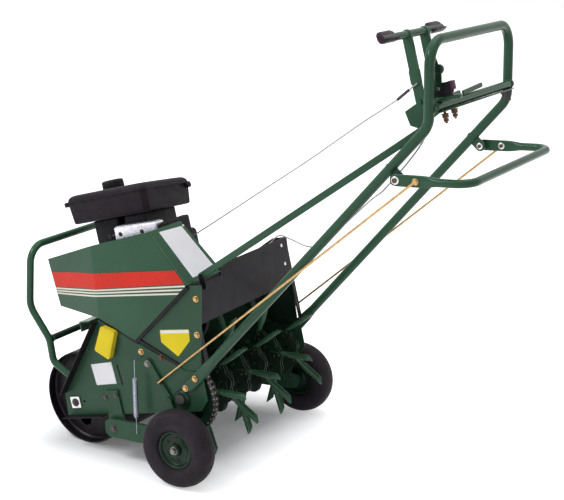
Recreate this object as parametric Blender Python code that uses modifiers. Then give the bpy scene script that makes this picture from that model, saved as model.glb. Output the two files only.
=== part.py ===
"""Walk-behind powered core aerator, standing on its transport wheels.

Metres, +Z up, the roller end towards -Y, the operator's handle towards +Y and the machine's
left side towards +X. Chassis pieces are laid out level, in a frame whose origin is the roller
axle, and an empty tips that frame up by BODY_PITCH, as the lowered wheels do.
"""

import math

import bmesh
import bpy
from mathutils import Matrix, Vector

# General
FIT_GAP = 0.0003
RUN_GAP = 0.0015
PLATE = 0.003
BODY_PITCH = math.radians(13.5)

# Ground rollers and wheels
ROLLER_RADIUS = 0.140
ROLLER_AXLE_RADIUS = 0.0095
ROLLER_HUB_RADIUS = 0.028
ROLLER_WALL = 0.005
ROLLER_Y = -0.5144
ROLLER_DISC_INSET = 0.030
ROLLER_HOLE_CIRCLE = 0.085
ROLLER_HOLE_RADIUS = 0.020
AXLE_PLATE_SIZE = 0.034
AXLE_PLATE_THICK = 0.005
WHEEL_RADIUS = 0.1105
WHEEL_TRACK_HALF = 0.3275
TYRE_WIDTH = 0.066
TYRE_CLEARANCE = 0.0067
RIM_RADIUS = 0.054
WHEEL_AXLE_RADIUS = 0.008
WHEEL_HUB_RADIUS = 0.016
WHEEL_HUB_HALF = 0.022

# Chassis plates, as x positions of the outer faces and level-frame outlines
ARM_THICK = 0.0100
ARM_CLEARANCE = 0.0143
ARM_INNER_X = WHEEL_TRACK_HALF - TYRE_WIDTH / 2 - TYRE_CLEARANCE - ARM_THICK
SIDE_PLATE_X = ARM_INNER_X - ARM_CLEARANCE
ROLLER_HALF_WIDTH = SIDE_PLATE_X - 0.0375
UPPER_PLATE_X = SIDE_PLATE_X - PLATE - FIT_GAP
FLANGE_WIDTH = 0.030
PLATE_BOTTOM = -0.042
PLATE_FRONT = -0.045
PLATE_REAR = 0.475
PLATE_NOSE = (-0.036, 0.028)
PLATE_PEAK = (0.150, 0.238)
PLATE_TAIL = (0.420, 0.075)
PLATE_REAR_TOP = 0.068
UPPER_REAR_TOP = (0.532, 0.307)
UPPER_REAR_BOTTOM = (0.468, 0.060)
UPPER_FRONT_TOP = (0.486, 0.310)
FAR_REAR_TOP = (0.490, 0.331)
FAR_FRONT_TOP = (0.440, 0.331)
DECK_TOP = 0.236
DECK_FRONT = 0.072
DECK_REAR = 0.470
DECK_NEAR_X = 0.135
DECK_LIP = 0.030
PANEL_U = 0.488
PANEL_TOP = 0.331
PANEL_NOTCH = 0.302
PANEL_BOTTOM = 0.196
PANEL_HALF = SIDE_PLATE_X - 0.0070
PANEL_HOLE_INSET = 0.0325
PANEL_LEG = 0.0165
PANEL_LEG_BOTTOM = 0.078

# Belt shroud
SHROUD_X = SIDE_PLATE_X + 0.0050
SHROUD_INNER_X = 0.108
SHROUD_SHEET = 0.002
SHROUD_CREASE_TOP = (0.188, 0.452)
SHROUD_CREASE_BOTTOM = (0.160, 0.2435)
SHROUD_REAR_TOP = (0.400, 0.470)
SHROUD_REAR_LOW = (0.490, 0.312)
SHROUD_TIP = (0.272, 0.172)
SHROUD_FRONT_TOP = (-0.018, 0.424)
SHROUD_FRONT_LOW = (-0.010, 0.282)
SHROUD_FRONT_INSET = 0.040
SHROUD_SPACERS = ((0.275, 0.188), (0.440, 0.2885))
SPACER_RADIUS = 0.006

# Front guard
GUARD_RADIUS = 0.0108
GUARD_X = SIDE_PLATE_X - 0.0250
GUARD_BEND = 0.050
GUARD_TOP = (-0.064, 0.468)
GUARD_KNEE = (-0.120, 0.293)
GUARD_JOINT = (-0.073, 0.188)
GUARD_ANKLE = (-0.078, 0.119)
GUARD_FOOT = (-0.012, 0.062)

# Handle
HANDLE_RADIUS = 0.0127
HANDLE_FOOT_X = SIDE_PLATE_X + 0.0070
ANGLE_HALF = 0.2275
ANGLE_GAP = 0.0013
HANDLE_TOP_X = ANGLE_HALF + ANGLE_GAP + HANDLE_RADIUS
HANDLE_FOOT = (0.424, 0.028)
HANDLE_ELBOW = (1.275, 0.630)
HANDLE_TOP = (1.318, 0.825)
HANDLE_TOP_BEND = 0.060
HANDLE_ELBOW_BEND = 0.060
HANDLE_BAR = (1.292, 0.670)
HANDLE_BAR_RADIUS = 0.0105
HANDLE_FLAT = 0.0130
HANDLE_FLAT_WIDTH = 0.032
HANDLE_FLAT_LENGTH = 0.088
STRUT_X = 0.2175
STRUT_HALF = 0.0095
STRUT_LOW = (0.500, 0.322)
STRUT_HIGH = (1.245, 0.622)
STRUT_LOW_INSIDE = (0.508, 0.3225)
STRUT_BOLT_LOW = (0.5095, 0.2960)
STRUT_BOLT_HIGH = (1.236, 0.6125)

# Tine reel
TINE_SHAFT = (0.390, -0.003)
TINE_SHAFT_RADIUS = 0.0140
TINE_COUNT = 5
TINE_WHEEL_COUNT = 6
TINE_END_ROOM = 0.0385
TINE_WHEEL_PITCH = (SIDE_PLATE_X - TINE_END_ROOM) * 2 / (TINE_WHEEL_COUNT - 1)
TINE_TIP_RADIUS = 0.187
TINE_HUB_RADIUS = 0.086
TINE_DISC_INNER = 0.0030
TINE_DISC_OUTER = 0.0070
TINE_HUB_HALF = 0.0150
TINE_WIDTH = 0.024
TINE_WALL = 0.0035
TINE_ROOT = 0.055
TINE_LEAN = math.radians(14.0)
TINE_PHASES = (math.radians(-31.3), math.radians(-69.5))
BEARING_RADIUS = 0.026
BEARING_DEPTH = 0.008

# Chain drive
CHAIN_X = SIDE_PLATE_X - 0.0160
CHAIN_PITCH = 0.015875
CHAIN_ROLLER_RADIUS = 0.0050
CHAIN_LINK_HALF = 0.0068
CHAIN_WAIST_HALF = 0.0048
CHAIN_INNER_HALF = 0.0048
CHAIN_SIDE = 0.0018
CHAIN_ROLLER_HALF = 0.0045
CHAIN_WEB_HALF = 0.0018
SPROCKET_HALF = 0.0040
TINE_SPROCKET_TEETH = 39
JACK_SPROCKET_TEETH = 12
TOOTH_DEPTH = 0.0052

# Belt drive
JACKSHAFT = (0.395, 0.213)
JACKSHAFT_RADIUS = 0.0095
JACKSHAFT_INNER_X = 0.118
JACK_FLANGE = 0.0055
JACK_FLANGE_RADIUS = 0.0190
DRIVE_X = 0.180
DRIVEN_PULLEY_RADIUS = 0.076
CRANK = (0.165, 0.331)
CRANK_PULLEY_RADIUS = 0.036
PULLEY_HALF = 0.0085
BELT_HALF = 0.0050
BELT_HEIGHT = 0.0080
CRANK_SHAFT_RADIUS = 0.0110
IDLER_RADIUS = 0.024
IDLER_PIVOT = (0.262, 0.367)
IDLER_ARM = 0.060
IDLER_ANGLE = math.radians(-8.0)

# Engine
ENGINE_X = 0.100
CRANKCASE_FRONT = 0.088
CRANKCASE_REAR = 0.292
CRANKCASE_TOP = 0.420
CYLINDER_FRONT = 0.022
FIN_COUNT = 6
TANK_FRONT = 0.008
TANK_REAR = 0.297
TANK_BOTTOM = 0.482
TANK_TOP = 0.566
TANK_NEAR_X = 0.122
TANK_FAR_X = -0.108
CAP_RADIUS = 0.033
CAP_HEIGHT = 0.028
TANK_NECK_TOP = 0.578
TANK_TILT = (-0.006, 0.016)
TANK_TAPER = 0.06
TANK_LUGS = ((0.102, -0.012, 0.012, 0.5630), (-0.082, 0.292, 0.310, 0.5450))
CAP_CENTRE = (0.022, 0.110)
BLOWER_RADIUS = 0.096
BLOWER_DEPTH = 0.062
BLOWER_CENTRE = (0.150, 0.350)

# Lift linkage
ARM_PIVOT = (0.139, -0.0765)
ARM_LENGTH = 0.257
ARM_HEIGHT = 0.056
ARM_PIN_RADIUS = 0.0080
LEVER_PIVOT = (0.299, 0.1035)
LEVER_END = (0.3451, -0.0051)
LEVER_PIN = (0.3326, 0.0500)
LEVER_INNER_X = SIDE_PLATE_X + 0.0030
LEVER_THICK = 0.0050
LINK_INNER_X = SIDE_PLATE_X + 0.0085
LINK_THICK = 0.0050
LINK_REACH = 0.235
BAIL_PIVOT = (1.174, 0.5175)
BAIL_PIN_ARM = 0.054
BAIL_TAB_HALF = 0.0140
BAIL_LENGTH = 0.192
BAIL_RADIUS = 0.0105
BAIL_X = HANDLE_TOP_X + 0.0230
BAIL_FLAT = 0.0080
BAIL_BEND = 0.045
BAIL_ANGLE = math.radians(-10.5)
ROD_RADIUS = 0.0038
ROD_LOW_X = SIDE_PLATE_X + 0.0250
ROD_TOP_X = HANDLE_TOP_X + 0.0350
SPRING_TOP = (0.277, 0.122)
SPRING_REACH = 0.090
SPRING_X = SIDE_PLATE_X + 0.0330
SPRING_COIL_RADIUS = 0.0062
SPRING_WIRE_RADIUS = 0.0011
SPRING_CURLS = 12
SPRING_PITCH = 0.0094

# Controls
CLUTCH_PIVOT = (1.2565, 0.690)
CLUTCH_CLAMP = (0.733, 0.766)
CLUTCH_ARM_HALF = 0.0105
CLUTCH_ARM_THICK = 0.0080
CLUTCH_BOSS_RADIUS = 0.0105
CLUTCH_BAR = (1.253, 0.851)
CLUTCH_BAR_LOW_X = ANGLE_HALF - 0.1995
CLUTCH_BAR_HIGH_X = ANGLE_HALF + 0.1275
CLUTCH_ARMS = (ANGLE_HALF - 0.1005, ANGLE_HALF - 0.0065)
CLUTCH_BAR_RADIUS = 0.0095
GRIP_RADIUS = 0.0130
GRIP_LENGTH = 0.072
BRACKET_X = ANGLE_HALF - 0.062
ANGLE_TOP = 0.6590
ANGLE_FRONT = 1.270
ANGLE_REAR = 1.307
ANGLE_LIP = 0.0060
CLUTCH_PIN_RADIUS = 0.0055
THROTTLE_X = ANGLE_HALF - 0.0275
THROTTLE_PIVOT = (1.305, 0.712)
THROTTLE_KNOB = (1.303, 0.762)
CABLE_RADIUS = 0.0030

# Colours
GREEN = (0.045, 0.120, 0.062)
DARK_GREEN = (0.022, 0.062, 0.034)
BLACK = (0.018, 0.016, 0.018)
RUBBER = (0.022, 0.020, 0.022)
SILVER = (0.62, 0.62, 0.64)
GOLD = (0.62, 0.42, 0.19)
YELLOW = (0.80, 0.66, 0.05)
STEEL = (0.42, 0.42, 0.43)


def clear_scene():
    for item in list(bpy.data.objects):
        bpy.data.objects.remove(item, do_unlink=True)


clear_scene()
model = bpy.data.collections.new("core_aerator")
helpers = bpy.data.collections.new("cutters")
bpy.context.scene.collection.children.link(model)
bpy.context.scene.collection.children.link(helpers)


def make_material(name, colour, roughness, metallic):
    material = bpy.data.materials.new(name)
    material.use_nodes = True
    shader = material.node_tree.nodes["Principled BSDF"]
    shader.inputs["Base Color"].default_value = (*colour, 1.0)
    shader.inputs["Roughness"].default_value = roughness
    shader.inputs["Metallic"].default_value = metallic
    return material


PAINT = make_material("green_paint", GREEN, 0.38, 0.0)
DARK_PAINT = make_material("dark_green_paint", DARK_GREEN, 0.45, 0.0)
BLACK_PAINT = make_material("black_paint", BLACK, 0.42, 0.0)
BLACK_PLASTIC = make_material("black_plastic", BLACK, 0.55, 0.0)
RUBBER_BLACK = make_material("rubber", RUBBER, 0.80, 0.0)
BRIGHT = make_material("bright_metal", SILVER, 0.35, 1.0)
PLATED = make_material("yellow_zinc", GOLD, 0.35, 1.0)
YELLOW_PLASTIC = make_material("yellow_plastic", YELLOW, 0.50, 0.0)
BARE_STEEL = make_material("bare_steel", STEEL, 0.40, 1.0)


def add_empty(name, location, parent=None, pitch=0.0):
    empty = bpy.data.objects.new(name, None)
    model.objects.link(empty)
    empty.location = location
    empty.rotation_euler = (pitch, 0.0, 0.0)
    empty.parent = parent
    return empty


root = add_empty("aerator_origin", (0.0, 0.0, 0.0))
chassis = add_empty("level_chassis", (0.0, ROLLER_Y, ROLLER_RADIUS), root, BODY_PITCH)


def finish_object(item, material, parent, smooth_angle=None):
    """Gives a piece its material and parent, and shades its round faces smooth."""
    item.data.materials.clear()
    item.data.materials.append(material)
    item.parent = parent
    if smooth_angle and item.type == "MESH":
        item.data.shade_smooth()
        item.data.set_sharp_from_angle(angle=math.radians(smooth_angle))
    return item


def mesh_object(name, build, material, parent=chassis, smooth_angle=35.0, helper=False):
    """Makes an object from a function that fills a bmesh."""
    mesh = bpy.data.meshes.new(name)
    shape = bmesh.new()
    build(shape)
    bmesh.ops.recalc_face_normals(shape, faces=shape.faces)
    shape.to_mesh(mesh)
    shape.free()
    item = bpy.data.objects.new(name, mesh)
    (helpers if helper else model).objects.link(item)
    if helper:
        item.hide_render = True
        item.display_type = "WIRE"
    return finish_object(item, material, parent, smooth_angle)


def add_box(shape, low, high):
    centre = [(a + b) / 2 for a, b in zip(low, high)]
    size = [b - a for a, b in zip(low, high)]
    matrix = Matrix.Translation(centre) @ Matrix.Diagonal((*size, 1.0))
    return bmesh.ops.create_cube(shape, size=1.0, matrix=matrix)


def add_cylinder(shape, x0, x1, place, radius, segments=24, end_radius=None):
    """A cylinder along X from x0 to x1 at place, a pair of level-frame coordinates."""
    middle = Matrix.Translation(((x0 + x1) / 2, place[0], place[1]))
    turn = Matrix.Rotation(math.pi / 2, 4, "Y")
    far_radius = radius if end_radius is None else end_radius
    bmesh.ops.create_cone(
        shape,
        cap_ends=True,
        segments=segments,
        radius1=radius,
        radius2=far_radius,
        depth=abs(x1 - x0),
        matrix=middle @ turn,
    )


def box_object(name, low, high, material, parent=chassis, bevel=0.0, helper=False):
    item = mesh_object(name, lambda s: add_box(s, low, high), material, parent, 30.0, helper)
    if bevel:
        rounding = item.modifiers.new("edges", "BEVEL")
        rounding.width = bevel
        rounding.segments = 2
        rounding.limit_method = "ANGLE"
    return item


def cylinder_object(name, x0, x1, place, radius, material, parent=chassis, segments=24, helper=False):
    return mesh_object(
        name, lambda s: add_cylinder(s, x0, x1, place, radius, segments), material, parent, 35.0, helper
    )


def combine(item, others, operation):
    """Adds one Boolean per helper, so each stays editable."""
    for other in others:
        step = item.modifiers.new(other.name, "BOOLEAN")
        step.operation = operation
        step.object = other
        step.solver = "EXACT"
    return item


def turned_object(name, profile, x0, place, material, parent=chassis, steps=32, helper=False, closed=True):
    """A body turned about X. The profile holds (radius, x) pairs, from high x to low x outside."""
    mesh = bpy.data.meshes.new(name)
    points = [(radius, 0.0, x) for radius, x in profile]
    edges = [(i, i + 1) for i in range(len(points) - 1)]
    if closed:
        edges.append((len(points) - 1, 0))
    mesh.from_pydata(points, edges, [])
    item = bpy.data.objects.new(name, mesh)
    (helpers if helper else model).objects.link(item)
    if helper:
        item.hide_render = True
        item.display_type = "WIRE"
    item.location = (x0, place[0], place[1])
    item.rotation_euler = (0.0, math.pi / 2, 0.0)
    screw = item.modifiers.new("turn", "SCREW")
    screw.steps = steps
    screw.render_steps = steps
    screw.use_merge_vertices = True
    screw.merge_threshold = 0.00001
    screw.use_smooth_shade = True
    return finish_object(item, material, parent)


def plate_object(name, outline, x0, x1, material, parent=chassis, holes=(), hole_sides=10):
    """A flat plate across X, from an outline of level-frame pairs and round holes (u, w, radius)."""
    curve = bpy.data.curves.new(name, "CURVE")
    curve.dimensions = "2D"
    curve.fill_mode = "BOTH"
    curve.extrude = abs(x1 - x0) / 2
    rings = [outline]
    for u, w, radius in holes:
        rings.append(
            [
                (
                    u + radius * math.cos(step * math.tau / hole_sides),
                    w + radius * math.sin(step * math.tau / hole_sides),
                )
                for step in range(hole_sides)
            ]
        )
    for ring in rings:
        spline = curve.splines.new("POLY")
        spline.points.add(len(ring) - 1)
        for point, (u, w) in zip(spline.points, ring):
            point.co = (u, w, 0.0, 1.0)
        spline.use_cyclic_u = True
    item = bpy.data.objects.new(name, curve)
    model.objects.link(item)
    item.location = ((x0 + x1) / 2, 0.0, 0.0)
    item.rotation_euler = (math.pi / 2, 0.0, math.pi / 2)
    item.parent = parent
    return finish_object(to_mesh(item), material, parent, 30.0)


def to_mesh(item, weld=0.00001):
    """Replaces a curve object by a mesh object of the same name with its caps welded."""
    bpy.context.view_layer.update()
    evaluated = item.evaluated_get(bpy.context.evaluated_depsgraph_get())
    mesh = bpy.data.meshes.new_from_object(evaluated)
    shape = bmesh.new()
    shape.from_mesh(mesh)
    bmesh.ops.remove_doubles(shape, verts=shape.verts, dist=weld)
    bmesh.ops.recalc_face_normals(shape, faces=shape.faces)
    shape.to_mesh(mesh)
    shape.free()
    name = item.name
    parent = item.parent
    local = item.matrix_local.copy()
    hidden = item.hide_render
    home = item.users_collection[0]
    bpy.data.objects.remove(item, do_unlink=True)
    made = bpy.data.objects.new(name, mesh)
    home.objects.link(made)
    made.parent = parent
    made.matrix_local = local
    if hidden:
        made.hide_render = True
        made.display_type = "WIRE"
    return made


def rounded_path(corners, radii, steps=5):
    """The corners of a bent tube with an arc of the given radius at each inner corner."""
    points = [Vector(corners[0])]
    for index in range(1, len(corners) - 1):
        corner = Vector(corners[index])
        before = (Vector(corners[index - 1]) - corner).normalized()
        after = (Vector(corners[index + 1]) - corner).normalized()
        angle = before.angle(after)
        reach = radii[index - 1] / math.tan(angle / 2)
        axis = (before + after).normalized()
        centre = corner + axis * (radii[index - 1] / math.sin(angle / 2))
        start = corner + before * reach - centre
        end = corner + after * reach - centre
        for step in range(steps + 1):
            points.append(
                centre + start.normalized().slerp(end.normalized(), step / steps) * radii[index - 1]
            )
    points.append(Vector(corners[-1]))
    return points


def tube_object(name, points, radius, material, parent=chassis, resolution=3, helper=False, cyclic=False):
    curve = bpy.data.curves.new(name, "CURVE")
    curve.dimensions = "3D"
    curve.bevel_depth = radius
    curve.bevel_resolution = resolution
    curve.use_fill_caps = True
    spline = curve.splines.new("POLY")
    spline.points.add(len(points) - 1)
    for point, place in zip(spline.points, points):
        point.co = (*place, 1.0)
    spline.use_cyclic_u = cyclic
    item = bpy.data.objects.new(name, curve)
    (helpers if helper else model).objects.link(item)
    item.parent = parent
    if helper:
        item.hide_render = True
        item.display_type = "WIRE"
    return finish_object(to_mesh(item), material, parent, 40.0)


def level_line(start, end, share):
    return (start[0] + (end[0] - start[0]) * share, start[1] + (end[1] - start[1]) * share)


def polar(centre, radius, angle):
    return (centre[0] + radius * math.cos(angle), centre[1] + radius * math.sin(angle))


def rounded_bar(start, end, half_width, steps=6):
    """The outline of a flat bar with round ends between two level-frame points."""
    angle = math.atan2(end[1] - start[1], end[0] - start[0])
    outline = []
    for centre, first in ((end, angle - math.pi / 2), (start, angle + math.pi / 2)):
        for step in range(steps + 1):
            outline.append(polar(centre, half_width, first + math.pi * step / steps))
    return outline


def bore_radius(radius, sides, gap=FIT_GAP):
    """The corner radius of a many-sided hole whose flats clear a shaft of the given radius."""
    return (radius + gap) / math.cos(math.pi / sides)


SIDES = (("left", 1), ("right", -1))


# Chassis plate pieces
def make_side_plate(side, sign):
    """The front side plate, with its outward flanges and the tine shaft's flange bearing."""
    outline = [
        (PLATE_FRONT, PLATE_BOTTOM),
        (PLATE_REAR - 0.03, PLATE_BOTTOM),
        (PLATE_REAR, PLATE_BOTTOM + 0.03),
        (PLATE_REAR, PLATE_REAR_TOP),
        PLATE_TAIL,
        PLATE_PEAK,
        PLATE_NOSE,
    ]
    holes = [
        (*TINE_SHAFT, TINE_SHAFT_RADIUS + RUN_GAP + 0.003),
        (0.0, 0.0, bore_radius(ROLLER_AXLE_RADIUS, 12)),
    ]
    if sign > 0:
        holes += [(0.084, 0.150, 0.0040), (0.030, 0.000, 0.0040)]
    outer = SIDE_PLATE_X * sign
    inner = (SIDE_PLATE_X - PLATE) * sign
    plate = plate_object(f"side_plate_{side}", outline, inner, outer, PAINT, holes=holes, hole_sides=12)
    edge = SIDE_PLATE_X + FLANGE_WIDTH
    root_x = inner + 0.001 * sign
    front = Vector((PLATE_PEAK[0] - PLATE_NOSE[0], PLATE_PEAK[1] - PLATE_NOSE[1]))
    across = Vector((-front.y, front.x)).normalized() * -PLATE
    nose = level_line(PLATE_NOSE, PLATE_PEAK, 0.02)
    peak = level_line(PLATE_NOSE, PLATE_PEAK, 0.98)
    flange = plate_object(
        f"front_flange_{side}",
        [(place[0] + across.x * share, place[1] + across.y * share)
         for place, share in ((nose, 0.1), (peak, 0.1), (peak, 1.1), (nose, 1.1))],
        root_x,
        edge * sign,
        PAINT,
    )
    lip = box_object(
        f"bottom_flange_{side}",
        (min(root_x, edge * sign), PLATE_FRONT + 0.004, PLATE_BOTTOM + FIT_GAP),
        (max(root_x, edge * sign), 0.108, PLATE_BOTTOM + PLATE),
        PAINT,
        helper=True,
    )
    bearing = turned_object(
        f"bearing_{side}",
        [
            (TINE_SHAFT_RADIUS + RUN_GAP, BEARING_DEPTH),
            (0.020, BEARING_DEPTH),
            (0.024, BEARING_DEPTH / 2),
            (BEARING_RADIUS, BEARING_DEPTH / 2),
            (BEARING_RADIUS, -PLATE + 0.0005),
            (TINE_SHAFT_RADIUS + RUN_GAP, -PLATE + 0.0005),
        ],
        0.0,
        TINE_SHAFT,
        PAINT,
        steps=12,
        helper=True,
    )
    bearing.location.x = outer
    if sign < 0:
        bearing.rotation_euler = (0.0, -math.pi / 2, 0.0)
    move_to_helpers(flange)
    slots = []
    if sign > 0:
        slots.append(tube_slot(f"slot_{side}", (0.182, 0.098), (0.186, 0.046), 0.0035, outer, sign))
    combine(plate, [flange, lip, bearing], "UNION")
    combine(plate, slots, "DIFFERENCE")
    return plate


def move_to_helpers(item):
    model.objects.unlink(item)
    helpers.objects.link(item)
    item.hide_render = True
    item.display_type = "WIRE"
    return item


def tube_slot(name, start, end, half_width, x, sign):
    cutter = plate_object(
        name, rounded_bar(start, end, half_width, 3), x - 0.01 * sign, x + 0.01 * sign, PAINT
    )
    return move_to_helpers(cutter)


def make_upper_plate(side, sign):
    """The rear plate that stands inside the side plate and carries the deck and the jackshaft."""
    low_front = level_line(PLATE_PEAK, PLATE_TAIL, 0.12)
    low_rear = level_line(PLATE_PEAK, PLATE_TAIL, 0.95)
    drop = 0.022
    outline = [
        (low_front[0], low_front[1] - drop),
        (low_rear[0], low_rear[1] - drop),
        UPPER_REAR_BOTTOM,
        *((UPPER_REAR_TOP, UPPER_FRONT_TOP) if sign > 0 else (FAR_REAR_TOP, FAR_FRONT_TOP)),
        (PLATE_PEAK[0] + 0.07, DECK_TOP),
        (PLATE_PEAK[0] + 0.012, DECK_TOP),
    ]
    outer = UPPER_PLATE_X * sign
    inner = (UPPER_PLATE_X - PLATE) * sign
    plate = plate_object(f"upper_plate_{side}", outline, inner, outer, PAINT)
    if sign < 0:
        return plate
    flange = turned_object(
        "jackshaft_flange",
        [
            (JACKSHAFT_RADIUS + RUN_GAP, -JACK_FLANGE),
            (JACK_FLANGE_RADIUS, -JACK_FLANGE),
            (JACK_FLANGE_RADIUS, 0.001),
            (JACKSHAFT_RADIUS + RUN_GAP, 0.001),
        ],
        inner,
        JACKSHAFT,
        PAINT,
        steps=12,
        helper=True,
    )
    return combine(plate, [flange], "UNION")


def make_deck():
    """The engine deck with its turned-down front lip, open over the belt run on the left."""
    edge = UPPER_PLATE_X - PLATE - FIT_GAP
    outline_x = [(-edge, DECK_FRONT), (edge, DECK_FRONT), (edge, 0.110), (DECK_NEAR_X, 0.110),
                 (DECK_NEAR_X, DECK_REAR), (-edge, DECK_REAR)]

    def build(shape):
        bottom = [shape.verts.new((x, u, DECK_TOP - 0.004)) for x, u in outline_x]
        face = shape.faces.new(bottom)
        grown = bmesh.ops.extrude_face_region(shape, geom=[face])
        top = [part for part in grown["geom"] if isinstance(part, bmesh.types.BMVert)]
        bmesh.ops.translate(shape, verts=top, vec=(0.0, 0.0, 0.004))

    deck = mesh_object("engine_deck", build, PAINT)
    lip = box_object(
        "deck_lip",
        (-edge, DECK_FRONT, DECK_TOP - DECK_LIP),
        (edge, DECK_FRONT + 0.004, DECK_TOP - 0.001),
        PAINT,
        helper=True,
    )
    tail = box_object(
        "deck_tail",
        (-edge, DECK_REAR - 0.004, DECK_TOP - 0.020),
        (DECK_NEAR_X, DECK_REAR, DECK_TOP - 0.001),
        PAINT,
        helper=True,
    )
    hanger_x = JACKSHAFT_INNER_X
    hanger = box_object(
        "jackshaft_hanger",
        (hanger_x - 0.003, JACKSHAFT[0] - 0.028, JACKSHAFT[1] - 0.020),
        (hanger_x + 0.004, JACKSHAFT[0] + 0.028, DECK_TOP - 0.001),
        PAINT,
        helper=True,
    )
    bore = cylinder_object("jackshaft_bore", hanger_x - 0.01, hanger_x + 0.02, JACKSHAFT,
                           JACKSHAFT_RADIUS + RUN_GAP, PAINT, segments=16, helper=True)
    combine(deck, [lip, tail, hanger], "UNION")
    return combine(deck, [bore], "DIFFERENCE")


def make_rear_panel():
    """The black panel across the back, with a leg down each side of the tine reel."""
    outline = [
        (-PANEL_HALF, PANEL_LEG_BOTTOM),
        (-PANEL_HALF + PANEL_LEG, PANEL_LEG_BOTTOM),
        (-PANEL_HALF + PANEL_LEG, PANEL_BOTTOM),
        (PANEL_HALF - PANEL_LEG, PANEL_BOTTOM),
        (PANEL_HALF - PANEL_LEG, PANEL_LEG_BOTTOM),
        (PANEL_HALF, PANEL_LEG_BOTTOM),
        (PANEL_HALF, PANEL_NOTCH),
        (SHROUD_INNER_X - 0.004, PANEL_NOTCH),
        (SHROUD_INNER_X - 0.004, PANEL_TOP),
        (-PANEL_HALF, PANEL_TOP),
    ]
    curve = bpy.data.curves.new("rear_panel", "CURVE")
    curve.dimensions = "2D"
    curve.fill_mode = "BOTH"
    curve.extrude = 0.0015
    rings = [outline]
    hole_x = PANEL_HALF - PANEL_HOLE_INSET
    for x, w in ((-hole_x, 0.312), (-hole_x, 0.256), (hole_x, 0.256)):
        rings.append([(x + 0.004 * math.cos(a * math.tau / 8), w + 0.004 * math.sin(a * math.tau / 8))
                      for a in range(8)])
    for ring in rings:
        spline = curve.splines.new("POLY")
        spline.points.add(len(ring) - 1)
        for point, (x, w) in zip(spline.points, ring):
            point.co = (x, w, 0.0, 1.0)
        spline.use_cyclic_u = True
    panel = bpy.data.objects.new("rear_panel", curve)
    model.objects.link(panel)
    panel.location = (0.0, PANEL_U, 0.0)
    panel.rotation_euler = (math.pi / 2, 0.0, 0.0)
    panel.parent = chassis
    return finish_object(to_mesh(panel), BLACK_PAINT, chassis, 30.0)


def make_shroud():
    """The folded belt shroud: creased side face and the sloping rear lid, in one sheet."""
    front_x = SHROUD_X - SHROUD_FRONT_INSET

    def build(shape):
        side = [
            (SHROUD_X, *SHROUD_CREASE_TOP),
            (SHROUD_X, *SHROUD_REAR_TOP),
            (SHROUD_X, *SHROUD_REAR_LOW),
            (SHROUD_X, *SHROUD_TIP),
            (SHROUD_X, *SHROUD_CREASE_BOTTOM),
        ]
        front = [(front_x, *SHROUD_FRONT_TOP), (front_x, *SHROUD_FRONT_LOW)]
        lid = [(SHROUD_INNER_X, *SHROUD_REAR_LOW), (SHROUD_INNER_X, *SHROUD_REAR_TOP)]
        corners = [shape.verts.new(place) for place in side + front + lid]
        top, rear_top, rear_low, tip, bottom, front_top, front_low, lid_low, lid_top = corners
        shape.faces.new((top, bottom, tip, rear_low, rear_top))
        shape.faces.new((front_top, front_low, bottom, top))
        shape.faces.new((rear_top, rear_low, lid_low, lid_top))

    shroud = mesh_object("belt_shroud", build, PAINT)
    sheet = shroud.modifiers.new("sheet", "SOLIDIFY")
    sheet.thickness = SHROUD_SHEET
    sheet.offset = -1.0
    sheet.use_even_offset = True
    spacers = [
        cylinder_object(f"shroud_spacer_{number}", UPPER_PLATE_X + FIT_GAP, SHROUD_X - 0.001, place,
                        SPACER_RADIUS, PAINT, segments=12, helper=True)
        for number, place in enumerate(SHROUD_SPACERS)
    ]
    return combine(shroud, spacers, "UNION")


def make_yellow_box():
    """The yellow box fixed on the left plate under the shroud."""
    outline = [(0.1621, 0.2213), (0.2074, 0.2001), (0.1659, 0.1217), (0.1201, 0.1532)]
    depth = 0.018
    box = plate_object(
        "document_box", outline, SIDE_PLATE_X + FIT_GAP, SIDE_PLATE_X + FIT_GAP + depth, YELLOW_PLASTIC
    )
    rounding = box.modifiers.new("edges", "BEVEL")
    rounding.width = 0.0025
    rounding.segments = 2
    return box


def make_guard():
    """The tubular guard in front of the engine: a hoop with a lower cross tube and side plate feet."""
    def side(x):
        return [(x, *GUARD_FOOT), (x, *GUARD_ANKLE), (x, *GUARD_JOINT), (x, *GUARD_KNEE), (x, *GUARD_TOP)]

    near = side(GUARD_X)
    far = side(-GUARD_X)
    path = rounded_path(
        near + far[::-1], [0.030, 0.060, 0.060, GUARD_BEND, GUARD_BEND, 0.060, 0.060, 0.030], 3
    )
    guard = tube_object("front_guard", path, GUARD_RADIUS, PAINT, resolution=2)
    cross = tube_object(
        "guard_cross",
        [(-GUARD_X, *GUARD_JOINT), (GUARD_X, *GUARD_JOINT)],
        GUARD_RADIUS * 0.92,
        PAINT,
        resolution=2,
        helper=True,
    )
    feet = []
    for side_name, sign in SIDES:
        inner = (SIDE_PLATE_X - PLATE - FIT_GAP) * sign
        core = (GUARD_X - 0.004) * sign
        feet.append(box_object(
            f"guard_foot_{side_name}",
            (min(inner, core), GUARD_FOOT[0] - 0.012, GUARD_FOOT[1] - 0.016),
            (max(inner, core), GUARD_FOOT[0] + 0.012, GUARD_FOOT[1] + 0.010),
            PAINT,
            helper=True,
        ))
    return combine(guard, [cross] + feet, "UNION")


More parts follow.
